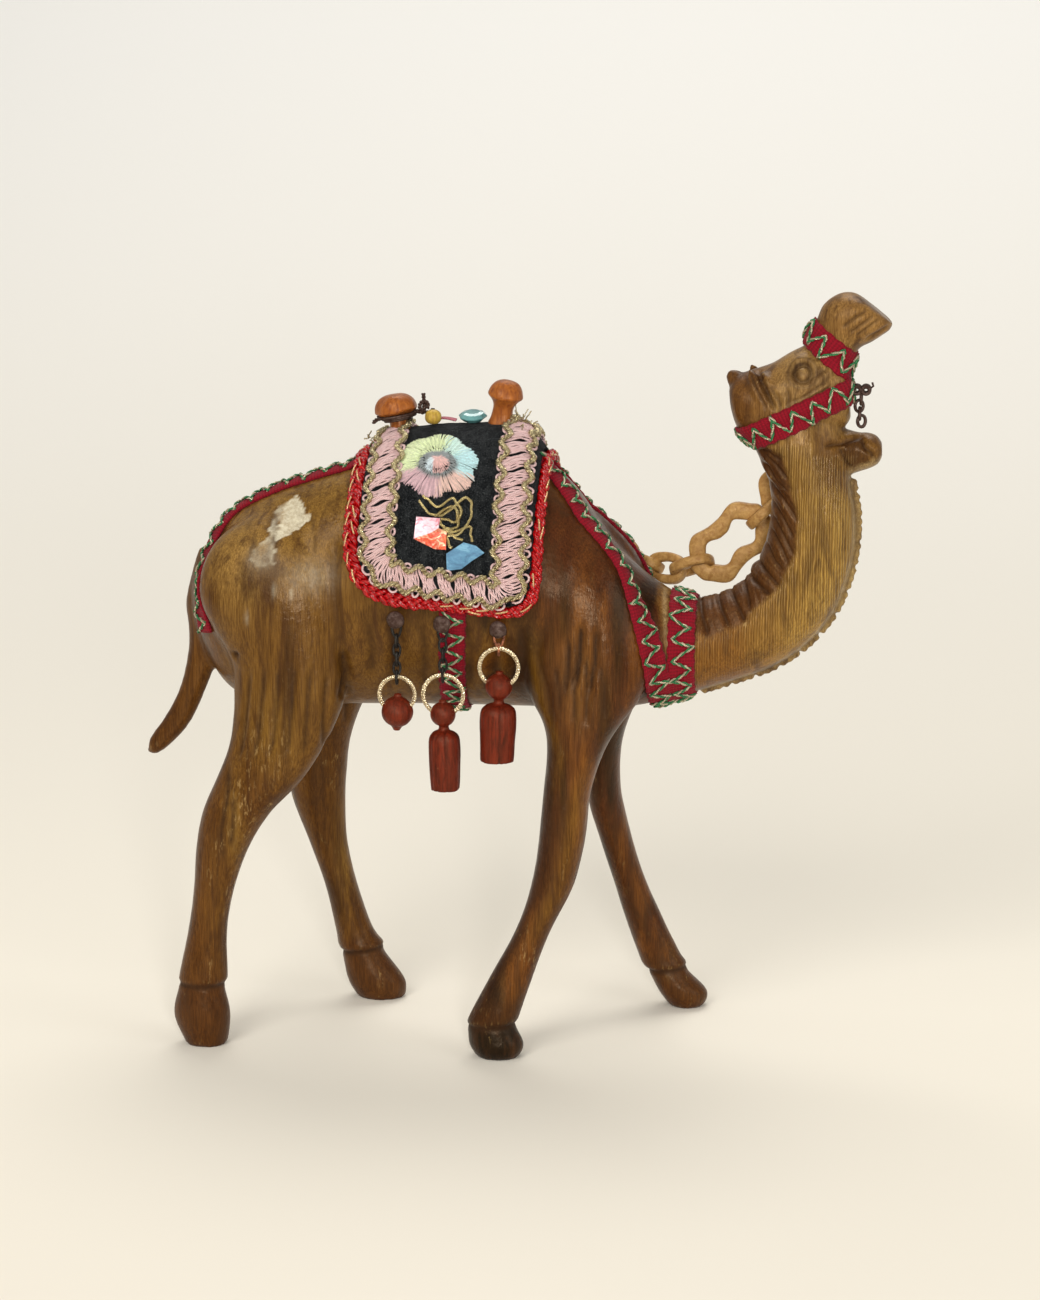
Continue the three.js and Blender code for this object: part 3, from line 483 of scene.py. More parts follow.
@dataclass(frozen=True)
class Velvet:
    """Short black pile, rubbed grey in places."""

    name: str = "black_velvet"

    def make(self) -> Material:
        """Writes the nodes.

        Returns:
            The material.
        """
        do = Recipe(self.name)
        place = do.place()
        pile = do.noise(place, 3.2, 4, 0.8)
        rub = do.noise(do.stretch(place, (0.5, 0.5, 0.2)), 0.9, 4, 0.65)
        colour = do.mix(do.shades(rub, 0.42, 0.62, 0.0, 0.9), (0.003, 0.004, 0.005), (0.018, 0.020, 0.021))
        colour = do.mix(do.shades(pile, 0.52, 0.66, 0.0, 0.8), colour, (0.085, 0.092, 0.092))
        do.set(Base_Color=colour, Roughness=0.95, Normal=do.bump(pile, 0.35), Sheen_Weight=0.04,
               Sheen_Roughness=0.4, Specular_IOR_Level=0.1)
        return do.material


@dataclass(frozen=True)
class RibbonCloth:
    """Crimson woven ribbon with fine cross ribs and painted shade between them; its map runs along and across in
    millimetres.
    """

    name: str = "red_ribbon"
    light: Colour = (0.285, 0.002, 0.013)
    deep: Colour = (0.095, 0.001, 0.004)

    def make(self) -> Material:
        """Writes the nodes.

        Returns:
            The material.
        """
        do = Recipe(self.name)
        run = do.along()
        place = do.place()
        ribs = do.bands(run, 0.36, 0.6, 2, "X", 1.4)
        weft = do.bands(run, 0.42, 0.5, 2, "Y", 1.4)
        weave = do.times(do.shades(ribs, 0, 1, 0.35, 1.0), do.shades(weft, 0, 1, 0.5, 1.0))
        fuzz = do.noise(place, 2.4, 4, 0.7)
        # Painted shade: the deep crimson lies between the woven ribs, the light one on them.
        colour = do.mix(do.shades(weave, 0.1, 0.7, 0.3, 1.0), self.deep, self.light)
        colour = do.mix(do.shades(fuzz, 0.3, 0.7, 0.45, 0.0), colour, (0.10, 0.001, 0.006))
        relief = do.bump(weave, 0.16)
        relief = do.bump(fuzz, 0.12, Normal=relief)
        do.set(Base_Color=colour, Roughness=0.85, Normal=relief, Specular_IOR_Level=0.2,
               Sheen_Weight=0.04, Sheen_Roughness=0.5)
        return do.material


@dataclass(frozen=True)
class Thread:
    """Twisted thread or cord, with painted shade and painted highlight in bands along its twist; metallic ones glitter.
    """

    name: str
    light: Colour
    dark: Colour
    metal: float = 0.0
    gloss: float = 0.5
    lay: float = 1.1
    contrast: Pair = (-0.2, 1.0)

    def make(self) -> Material:
        """Writes the nodes.

        Returns:
            The material.
        """
        do = Recipe(self.name)
        place = do.place()
        laid = do.stretch(place, (self.lay, self.lay, self.lay))
        twist = do.bands(laid, 0.9, 1.2, 1, "DIAGONAL", 1.0)
        cloud = do.noise(place, 0.7, 4, 0.7)
        # Painted shade in the gaps of the twist and painted highlight on the strands: the dark and light colours follow
        # the twist bands.
        share = do.times(do.shades(twist, *self.contrast, 0.1, 1.0), do.shades(cloud, 0.25, 0.6, 0.45, 1.0))
        colour = do.mix(share, self.dark, self.light)
        do.set(Base_Color=colour, Roughness=self.gloss, Metallic=self.metal, Normal=do.bump(twist, 0.12))
        return do.material


@dataclass(frozen=True)
class TintedFloss:
    """Shiny embroidery floss whose colour is painted on its points."""

    name: str = "flower_floss"

    def make(self) -> Material:
        """Writes the nodes.

        Returns:
            The material.
        """
        do = Recipe(self.name)
        place = do.place()
        fine = do.noise(place, 3.0, 3, 0.7)
        colour = do.mix(do.shades(fine, 0.3, 0.65, 0.45, 0.0), do.mark("floss", "Color"), (0.16, 0.15, 0.13))
        do.set(Base_Color=colour, Roughness=0.38, Normal=do.bump(fine, 0.1), Sheen_Weight=0.3)
        return do.material


@dataclass(frozen=True)
class Metal:
    """Wire or a nail, with tarnish."""

    name: str
    bright: Colour
    tarnish: Colour
    share: float = 0.5
    gloss: float = 0.35
    metal: float = 0.9
    grit: float = 0.08

    def make(self) -> Material:
        """Writes the nodes.

        Returns:
            The material.
        """
        do = Recipe(self.name)
        place = do.place()
        cloud = do.noise(place, 0.8, 5, 0.7)
        spot = do.shades(cloud, self.share - 0.1, self.share + 0.1, 0.0, 1.0)
        colour = do.mix(spot, self.bright, self.tarnish)
        do.set(Base_Color=colour, Metallic=self.metal, Roughness=do.shades(spot, 0, 1, self.gloss, self.gloss + 0.3),
               Normal=do.bump(do.noise(place, 3.0, 3, 0.6), self.grit))
        return do.material


@dataclass(frozen=True)
class Flake:
    """A shiny chip with colours that break up over its face."""

    name: str
    first: Colour
    second: Colour
    third: Colour
    gloss: float = 0.2
    metal: float = 0.0
    scale: float = 0.35

    def make(self) -> Material:
        """Writes the nodes.

        Returns:
            The material.
        """
        do = Recipe(self.name)
        place = do.place()
        cells = do.noise(do.stretch(place, (1, 1, 1.3)), self.scale, 5, 0.75, 1.2)
        colour = do.ramp(cells, (0.36, self.first), (0.5, self.second), (0.62, self.third))
        fine = do.noise(place, 1.6, 4, 0.8)
        colour = do.mix(do.shades(fine, 0.55, 0.7, 0.0, 0.35), colour, self.third)
        do.set(Base_Color=colour, Roughness=self.gloss, Metallic=self.metal, Coat_Weight=0.6,
               Coat_Roughness=0.1, Normal=do.bump(cells, 0.25))
        return do.material


@dataclass(frozen=True)
class Gem:
    """Cut teal stone; its facets are real."""

    name: str = "teal_gem"

    def make(self) -> Material:
        """Writes the nodes.

        Returns:
            The material.
        """
        do = Recipe(self.name)
        place = do.place()
        depth = do.noise(place, 0.35, 2, 0.5)
        colour = do.mix(depth, (0.01, 0.09, 0.10), (0.20, 0.48, 0.46))
        do.set(Base_Color=colour, Roughness=0.06, IOR=1.7, Coat_Weight=1.0, Coat_Roughness=0.03,
               Normal=do.bump(do.noise(place, 0.9, 2, 0.5), 0.03))
        return do.material


@dataclass(frozen=True)
class Paper:
    """The pale floor, painted darker towards the front as painted shade and lighter towards the back as painted light.
    """

    name: str = "floor"
    front: Colour = (0.50, 0.455, 0.38)
    middle: Colour = (0.87, 0.82, 0.71)
    far: Colour = (0.90, 0.89, 0.85)
    depth: Pair = (-500, 1900)

    def make(self) -> Material:
        """Writes the nodes.

        Returns:
            The material.
        """
        do = Recipe(self.name)
        back = do.part(do.place(), 1)
        share = do.shades(back, *self.depth, 0.0, 1.0)
        # Painted shade at the front of the floor and painted light towards the back.
        colour = do.ramp(share, (0.0, self.front), (0.22, self.middle), (1.0, self.far))
        do.set(Base_Color=colour, Roughness=0.9, Specular_IOR_Level=0.1)
        return do.material


# Mesh tools


def piece_from(shape: Shape, name: str, materials: Sequence[Material], nodes: Sequence[str],
               smooth: bool = True) -> None:
    """Writes a finished piece and tells the frame what it is.

    Args:
        shape: the mesh, in millimetres; it is freed.
        name: the piece's name.
        materials: the materials by index.
        nodes: the solids that the piece stands for.
        smooth: whether its faces are shaded round.
    """
    piece = placed(shape, name, materials, smooth)
    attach(piece, "root")
    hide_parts(*nodes)
    LOG.info("%s: %d faces", name, len(piece.data.polygons))


def placed(shape: Shape, name: str, materials: Sequence[Material], smooth: bool = True) -> bpy.types.Object:
    """Puts a shape in the scene.

    Args:
        shape: the mesh, in millimetres; it is freed.
        name: the object's name.
        materials: the materials by index.
        smooth: whether its faces are shaded round.

    Returns:
        The new object.
    """
    bmesh.ops.scale(shape, vec=(MM, MM, MM), verts=shape.verts)
    mesh = bpy.data.meshes.new(name)
    shape.to_mesh(mesh)
    shape.free()
    for material in materials:
        mesh.materials.append(material)
    for face in mesh.polygons:
        face.use_smooth = smooth
    piece = bpy.data.objects.new(name, mesh)
    bpy.context.scene.collection.objects.link(piece)
    return piece


def evaluated(data: Any, voxel: float = 0.0) -> bpy.types.Mesh:
    """The mesh that a curve or a mesh gives; the data is removed.

    Args:
        data: the curve or mesh.
        voxel: the size of the faces where it gets one even skin.

    Returns:
        The new mesh.
    """
    holder = bpy.data.objects.new("holder", data)
    bpy.context.scene.collection.objects.link(holder)
    if voxel:
        skin = holder.modifiers.new("skin", "REMESH")
        skin.mode = "VOXEL"
        skin.voxel_size = voxel
    bpy.context.view_layer.update()
    mesh = bpy.data.meshes.new_from_object(holder.evaluated_get(bpy.context.evaluated_depsgraph_get()))
    bpy.data.objects.remove(holder)
    return mesh


def join_in(shape: Shape, mesh: bpy.types.Mesh, index: int = 0) -> None:
    """Adds a mesh to a shape, and removes the mesh.

    Args:
        shape: the shape.
        mesh: the mesh.
        index: the material index of its faces.
    """
    before = len(shape.faces)
    shape.from_mesh(mesh)
    shape.faces.ensure_lookup_table()
    for face in shape.faces[before:]:
        face.material_index = index
    bpy.data.meshes.remove(mesh)


@dataclass
class Strand:
    """A round strand along a line, in millimetres."""

    points: Points
    radius: Any
    closed: bool = False


def add_strands(shape: Shape, strands: Sequence[Strand], sides: int = 0, index: int = 0) -> None:
    """Adds strands to a shape as tubes with closed ends.

    Args:
        shape: the shape, in millimetres.
        strands: the strands.
        sides: how round the tubes are: 0 has 4 sides, 1 has 6, 2 has 8 and so on.
        index: their material index.
    """
    curve = bpy.data.curves.new("strand", "CURVE")
    curve.dimensions = "3D"
    curve.bevel_depth = 1.0
    curve.bevel_resolution = sides
    curve.use_fill_caps = True
    curve.twist_mode = "MINIMUM"
    for strand in strands:
        spline = curve.splines.new("POLY")
        count = len(strand.points)
        spline.points.add(count - 1)
        spline.points.foreach_set("co", np.hstack([strand.points, np.ones((count, 1))]).ravel())
        spline.points.foreach_set("radius", np.broadcast_to(strand.radius, (count,)).astype(float))
        spline.use_cyclic_u = strand.closed
    join_in(shape, evaluated(curve), index)
    bpy.data.curves.remove(curve)


def turned(profile: Sequence[Pair], steps: int = 48) -> Shape:
    """Spins a profile about the z axis.

    Args:
        profile: radius and height pairs, from the foot to the top, both on the axis.
        steps: how many steps the spin has.

    Returns:
        A closed shape in millimetres.
    """
    shape = bmesh.new()
    row = [shape.verts.new((radius, 0, height)) for radius, height in profile]
    edges = [shape.edges.new(pair) for pair in zip(row, row[1:])]
    bmesh.ops.spin(shape, geom=row + edges, cent=(0, 0, 0), axis=(0, 0, 1), dvec=(0, 0, 0),
                   angle=2 * math.pi, steps=steps, use_merge=True, use_normal_flip=False, use_duplicate=False)
    bmesh.ops.remove_doubles(shape, verts=shape.verts, dist=1e-4)
    bmesh.ops.recalc_face_normals(shape, faces=shape.faces)
    return shape


def thicken(shape: Shape, thick: float, spot: Vector, out: Vector) -> None:
    """Gives a sheet a thickness under its visible face.

    Args:
        shape: the sheet.
        thick: its thickness.
        spot: a place near the sheet.
        out: the way in which the sheet looks at that place.
    """
    bmesh.ops.recalc_face_normals(shape, faces=shape.faces)
    near = min(shape.faces, key=lambda face: (face.calc_center_median() - spot).length)
    if near.normal.dot(out) < 0:
        bmesh.ops.reverse_faces(shape, faces=shape.faces)
    bmesh.ops.solidify(shape, geom=shape.verts[:] + shape.edges[:] + shape.faces[:], thickness=thick)


def lay_on(shape: Shape, spots: Points) -> None:
    """Moves each point of a shape to its spot."""
    for vert, spot in zip(shape.verts, spots):
        vert.co = spot


def moved(shape: Shape, matrix: Matrix) -> Shape:
    """The same shape after a transform."""
    bmesh.ops.transform(shape, matrix=matrix, verts=shape.verts)
    return shape


def merge(target: Shape, source: Shape) -> None:
    """Adds one shape to another.

    Args:
        target: the shape that grows.
        source: the shape that is added and freed.
    """
    mesh = bpy.data.meshes.new("part")
    source.to_mesh(mesh)
    source.free()
    join_in(target, mesh)


def loft(shape: Shape, ribs: Sequence[Row], sides: int, fine: int) -> None:
    """Adds a closed form through ribs.

    Args:
        shape: the shape it is added to, in millimetres.
        ribs: rows of first edge x z, second edge x z, middle y and half width.
        sides: sides of each ring.
        fine: rings from one rib to the next.
    """
    rings = []
    for ax, az, bx, bz, y, half in smooth_rows(ribs, fine):
        across = Vector(((ax - bx) / 2, 0, (az - bz) / 2))
        middle = Vector(((ax + bx) / 2, y, (az + bz) / 2))
        ahead = across.cross(Vector((0, half, 0))).normalized()
        columns = (across, Vector((0, half, 0)), ahead, middle)
        frame = Matrix([[column[i] for column in columns] for i in range(3)] + [[0, 0, 0, 1]])
        made = bmesh.ops.create_circle(shape, cap_ends=False, segments=sides, radius=1, matrix=frame)
        rings.append(list(dict.fromkeys(edge for vert in made["verts"] for edge in vert.link_edges)))
    for first, second in zip(rings, rings[1:]):
        bmesh.ops.bridge_loops(shape, edges=first + second)
    for ring in (rings[0], rings[-1]):
        bmesh.ops.contextual_create(shape, geom=ring)


def pointed_roll(shape: Shape, start: Row, end: Row, radius: float) -> None:
    """Adds a roll that is pointed at both ends.

    Args:
        shape: the shape, in millimetres.
        start: where it starts.
        end: where it ends.
        radius: its largest radius.
    """
    a, b = Vector(start), Vector(end)
    run = b - a
    turn = Vector((0, 0, 1)).rotation_difference(run).to_matrix().to_4x4()
    profile = [(0, 0)] + [(radius * math.sin(math.pi * t) ** 0.6, t * run.length)
                          for t in (0.08, 0.2, 0.35, 0.5, 0.65, 0.8, 0.92)] + [(0, run.length)]
    merge(shape, moved(turned(profile, 12), Matrix.Translation(a) @ turn))


# The carved animal


TRUNK = [
    (-84.2, 124, 112, 5), (-80.5, 130.6, 101, 11), (-73.5, 139.8, 92, 17), (-62, 146.4, 89, 20.5),
    (-49, 151, 89, 22), (-39, 154.4, 89.4, 22.6), (-31, 161, 89.6, 23), (-15, 163.4, 89.8, 23.4),
    (3, 163.6, 89.8, 23), (10.5, 155, 89.8, 22.4), (18, 147.6, 89.8, 21.4), (26, 135.8, 90, 20),
    (34, 127.5, 90.8, 17.6), (43, 121.2, 93, 14.6),
]
NECK = [
    (33, 126, 33, 91.5, 0, 16), (42, 121.2, 43, 93.2, 0, 13.8), (49, 120, 51, 95.6, 0, 12.6),
    (56, 121.6, 59.5, 98.4, 0, 12), (61.7, 125.4, 68.8, 102, 0, 11.8), (65, 130.6, 77, 107.4, 0, 11.6),
    (67.2, 136.5, 83.8, 115, 0, 11.4), (68, 142.5, 88, 124, 0, 11.1), (68, 147.5, 90, 133.6, 0, 10.7),
    (66.8, 152.6, 90.2, 143, 0, 10.3), (64.4, 158, 88.6, 151.6, 0, 10), (61.6, 163.6, 87, 162, 0, 9.6),
    (60.5, 170, 86, 169, 0, 9),
]
HEAD = [
    (56.9, 175.4, 57.6, 169, 0, 4.4), (58.6, 178, 59.4, 164.4, 0, 7.2), (62.6, 179.8, 64, 161, 0, 9.2),
    (68, 181.6, 69.4, 160.4, 0, 10), (73.6, 185, 76.6, 162, 0, 10.2), (78, 186.6, 82.4, 164, 0, 9.4),
    (82.4, 186, 86.6, 165.4, 0, 7.8), (86.4, 183.6, 88.2, 167.8, 0, 5.4),
]
SNOUT = [
    (74.6, 183.4, 84.6, 175.6, 0, 6), (77, 188.6, 88.4, 182.6, 0, 6.3), (78.8, 192.4, 90, 185.6, 0, 6.8),
    (80.6, 196.6, 93, 187.2, 0, 7.7), (84.4, 199.4, 95.6, 188.9, 0, 7.9), (88.4, 199.6, 97.4, 190.2, 0, 7.2),
    (92.4, 197, 98, 191.2, 0, 6), (94.6, 195.2, 98.4, 192, 0, 4.4),
]
JAW = [
    (79, 165.6, 83.4, 150.6, 0, 7.6), (86, 165, 87.4, 152.6, 0, 6.6), (89.6, 164.2, 90.6, 153.8, 0, 5.8),
    (92.6, 164, 93.4, 154.8, 0, 5.5), (94.8, 163.2, 95.4, 156, 0, 4.9), (96.2, 161.4, 96.4, 158, 0, 3.4),
]
TAIL = [
    (-83, 131, -75, 127, 0, 3.4), (-85.4, 123.4, -78, 120, 0, 3.7), (-87.2, 115.8, -78.4, 114, 0, 3.8),
    (-86.6, 107.6, -77.2, 106.6, 0, 3.7), (-87.2, 100.6, -79.2, 99, 0, 3.5), (-89.6, 91.8, -82.6, 90.4, 0, 3.2),
    (-93.6, 84, -86.8, 82, 0, 2.8), (-98, 77.6, -92.2, 76, 0, 2.3), (-98.6, 73.4, -96.2, 73.2, 0, 1.2),
]
NEAR_HIND = [
    (142, -64, -50, -8, 5), (134, -76, -43.6, -12.4, 8.8), (120, -79.8, -40.4, -14.6, 10.6),
    (104.2, -71.8, -40.4, -16, 9.8), (96.2, -70.9, -40.7, -16.8, 9.2), (88.2, -71, -43.4, -17.5, 8.6),
    (80.1, -72.3, -47.5, -18.2, 8.2), (71.8, -75.6, -52.9, -18.9, 7.7), (63.6, -79.2, -61.2, -19.5, 7.1),
    (55.3, -80.8, -66.6, -20, 6.5), (42.9, -81.7, -70.9, -20.6, 5.6), (30.4, -83.6, -73, -21.2, 5.3),
    (17.8, -86.2, -72.9, -21.8, 5.9), (16.2, -86, -73.9, -21.9, 5.5), (8, -87.6, -72.4, -21.8, 6.3),
    (0, -84.4, -73.4, -21.6, 5.2),
]
FAR_HIND = [
    (142, -62, -48, 8, 5), (134, -74, -41, 12.4, 8.8), (120, -78, -37.6, 14.6, 10.6),
    (104, -71.5, -36.4, 16, 9.8), (93, -66, -39, 17, 9), (83.3, -63.6, -43.4, 17.8, 8.3),
    (74.8, -63.6, -46.3, 18.6, 7.5), (66.3, -63.6, -47.6, 19.2, 6.8), (57.7, -62.7, -48.4, 19.8, 6.2),
    (45, -58.4, -47.9, 20.4, 5.4), (32.2, -54.4, -45.3, 21, 5.1), (19.6, -51.6, -41.2, 21.6, 5.2),
    (15.2, -51, -37.9, 21.8, 5.8), (13.2, -50, -38.4, 21.9, 5.4), (5, -48.4, -32.4, 22.2, 6.3),
    (0, -45.6, -32.4, 22.6, 5),
]
NEAR_FORE = [
    (141, 12.5, 22, -8, 5), (130, 8.6, 31, -12.2, 8.4), (116, 6.4, 36.6, -13.6, 9.6),
    (104, 5.4, 38.6, -14.4, 9.6), (95.7, 7.2, 35.8, -15.4, 9), (89.5, 10.6, 31.4, -16.2, 8.4),
    (82.6, 11.9, 27.3, -17, 7.6), (70.6, 11.2, 23.2, -18, 6.6), (58.4, 10.1, 21.9, -19, 6),
    (46.2, 8.1, 19.1, -20, 5.6), (33.7, 3.8, 13.3, -20.8, 5.2), (21.1, -2.8, 8.6, -21.6, 5.2),
    (9.8, -8.4, 4.9, -22.4, 5.9), (8.2, -8.4, 4.3, -22.5, 5.5), (3.2, -8, 6.6, -22.6, 6.1),
    (0, -6, 5.2, -22.6, 5),
]
FAR_FORE = [
    (141, 13.5, 22, 8, 5), (130, 10.4, 32, 12.2, 8.4), (116, 9.4, 38, 13.6, 9.6),
    (104, 10, 40, 14.8, 9.6), (95, 12.4, 37, 16.2, 8.8), (86, 15.4, 31.6, 17.6, 7.8),
    (76, 17.4, 28.2, 18.8, 6.8), (64.1, 19, 27.5, 20, 6), (55.6, 20.1, 28.9, 20.9, 5.6),
    (38.7, 24.9, 33.7, 22.6, 5), (26, 28.6, 39, 23.8, 5), (14.6, 32.6, 44.4, 24.8, 5.2),
    (12, 33.6, 46.4, 25, 5.7), (9.8, 35.4, 46.4, 24.8, 5.3), (4, 38.4, 52, 24.9, 5.9),
    (0, 41.4, 50.8, 25.2, 4.6),
]


def trunk_ribs() -> list[Row]:
    """The trunk's ribs, which stand upright."""
    return [(x, top, x, low, 0, half) for x, top, low, half in TRUNK]


def leg_ribs(rows: Sequence[Row]) -> list[Row]:
    """The ribs of a leg, which lie level."""
    return [(back, z, front, z, y, half) for z, back, front, y, half in rows]


class Clay:
    """A fine mesh that is carved by moving its points."""

    side_blend = 2.2
    side_start = 0.25
    groove_spread = 2.4
    groove_ends = (6, 0.15)
    hollow_share = 0.6
    edge_start = 0.35

    def __init__(self, rough: Shape, voxel: float) -> None:
        """Turns overlapping closed forms into one even skin.

        Args:
            rough: the forms, in millimetres; it is freed.
            voxel: the size of the skin's faces.
        """
        mesh = bpy.data.meshes.new("clay")
        bmesh.ops.recalc_face_normals(rough, faces=rough.faces)
        rough.to_mesh(mesh)
        rough.free()
        self.mesh = evaluated(mesh, voxel)
        bpy.data.meshes.remove(mesh)
        top = max(self.mesh.polygons, key=lambda face: face.center.z)
        if top.normal.z < 0:
            self.mesh.flip_normals()
        count = len(self.mesh.vertices)
        self.places = np.empty(count * 3)
        self.mesh.vertices.foreach_get("co", self.places)
        self.places = self.places.reshape(-1, 3)
        ends = np.empty(len(self.mesh.edges) * 2, int)
        self.mesh.edges.foreach_get("vertices", ends)
        self.ends = ends.reshape(-1, 2)
        self.links = np.bincount(self.ends.ravel(), minlength=count)[:, None]
        self.marks = {name: np.zeros(count) for name in ("cut", "worn", "bare", "combed")}
        self.renew()

    def renew(self) -> None:
        """Writes the points back and works the normals out again."""
        self.mesh.vertices.foreach_set("co", self.places.ravel())
        self.mesh.update()
        flat = np.empty(len(self.places) * 3, np.float32)
        self.mesh.vertex_normals.foreach_get("vector", flat)
        self.normals = flat.reshape(-1, 3).astype(float)

    def neighbours(self, values: Points) -> Points:
        """Evens values out over the skin.

        Args:
            values: a row of numbers for each point.

        Returns:
            The mean of each point's neighbours.
        """
        total = np.zeros_like(values)
        for a, b in ((0, 1), (1, 0)):
            for k in range(values.shape[1]):
                total[:, k] += np.bincount(self.ends[:, a], values[self.ends[:, b], k], len(values))
        return total / np.maximum(self.links, 1)

    def relax(self, times: int, weight: Any = 0.6) -> None:
        """Smooths the skin.

        Args:
            times: how often.
            weight: how far a point goes to the mean of its neighbours, one number or one a point.
        """
        share = np.asarray(weight, float)
        share = share[:, None] if share.ndim else share
        for _ in range(times):
            self.places += share * (self.neighbours(self.places) - self.places)
        self.renew()

    def on_side(self, side: Optional[Side]) -> Any:
        """How much each point faces one side.

        Args:
            side: the side, or None for both.

        Returns:
            A share from 0 to 1 for each point, or 1 for both sides.
        """
        if side is None:
            return 1.0
        return np.clip(side.value * self.normals[:, 1] * self.side_blend + self.side_start, 0, 1)

    def groove(self, line: Sequence[Pair], wide: float, deep: float, side: Side, stain: float) -> None:
        """Cuts a groove along a line of the side view.

        Args:
            line: its corners, x and z.
            wide: half its width.
            deep: its depth; a ridge has less than none.
            side: the side it is on.
            stain: how dark it is.
        """
        spread = wide * self.groove_spread
        corners = np.array(line)
        lowest, highest = corners.min(axis=0) - spread, corners.max(axis=0) + spread
        flat = self.places[:, [0, 2]]
        near = np.where(((flat > lowest) & (flat < highest)).all(axis=1))[0]
        gap, along = far_from_line(flat[near], line)
        shape = bell(gap, wide)
        rise, start = self.groove_ends
        shape *= np.clip(rise * along + start, 0, 1) * np.clip(rise * (1 - along) + start, 0, 1)
        shape *= self.on_side(side)[near]
        self.places[near] -= self.normals[near] * (shape * deep)[:, None]
        self.marks["cut"][near] = np.maximum(self.marks["cut"][near], shape ** 1.5 * stain)

    def lift(self, height: Points) -> None:
        """Moves each point outwards by its height."""
        self.places += self.normals * height[:, None]

    def swell(self, middle: Pair, reach: Pair, high: float, side: Optional[Side] = None) -> None:
        """Raises a soft mound, or a hollow where high is less than none."""
        self.lift(blob(self.places, middle, reach) * self.on_side(side) * high)

    def paint(self, mark: str, values: Points) -> None:
        """Keeps the larger of a painted mark and new values."""
        self.marks[mark] = np.maximum(self.marks[mark], np.clip(values, 0, 1))

    def dome(self, middle: Pair, steps: Sequence[Pair], side: Side) -> None:
        """Turns a round carving into the side.

        Args:
            middle: its middle in the side view.
            steps: radius and height pairs from the middle outwards.
            side: the side it is on.
        """
        flat = self.places[:, [0, 2]] - np.array(middle)
        gap = np.linalg.norm(flat, axis=1)
        radii, heights = zip(*steps)
        self.lift(np.interp(gap, radii, heights, right=0) * self.on_side(side) * (gap < radii[-1]))

    def hollow_marks(self, size: float) -> None:
        """Stains the hollows and rubs the edges, from how the skin bends.

        Args:
            size: the bend that is stained fully, in millimetres.
        """
        bend = ((self.neighbours(self.places) - self.places) * self.normals).sum(axis=1)[:, None]
        for _ in range(2):
            bend = 0.5 * (bend + self.neighbours(bend))
        bend = bend[:, 0]
        self.paint("cut", np.clip(bend / size, 0, 1) * self.hollow_share)
        self.paint("worn", np.clip(-bend / size - self.edge_start, 0, 1))

    def write(self, tone: Points) -> bpy.types.Mesh:
        """Stores the points, the tones and the marks in the mesh.

        Args:
            tone: the colour of each point.

        Returns:
            The mesh, in millimetres.
        """
        self.renew()
        paint = self.mesh.attributes.new("tone", "FLOAT_COLOR", "POINT")
        paint.data.foreach_set("color", np.hstack([tone, np.ones((len(tone), 1))]).ravel())
        for name, values in self.marks.items():
            self.mesh.attributes.new(name, "FLOAT", "POINT").data.foreach_set("value", values)
        return self.mesh


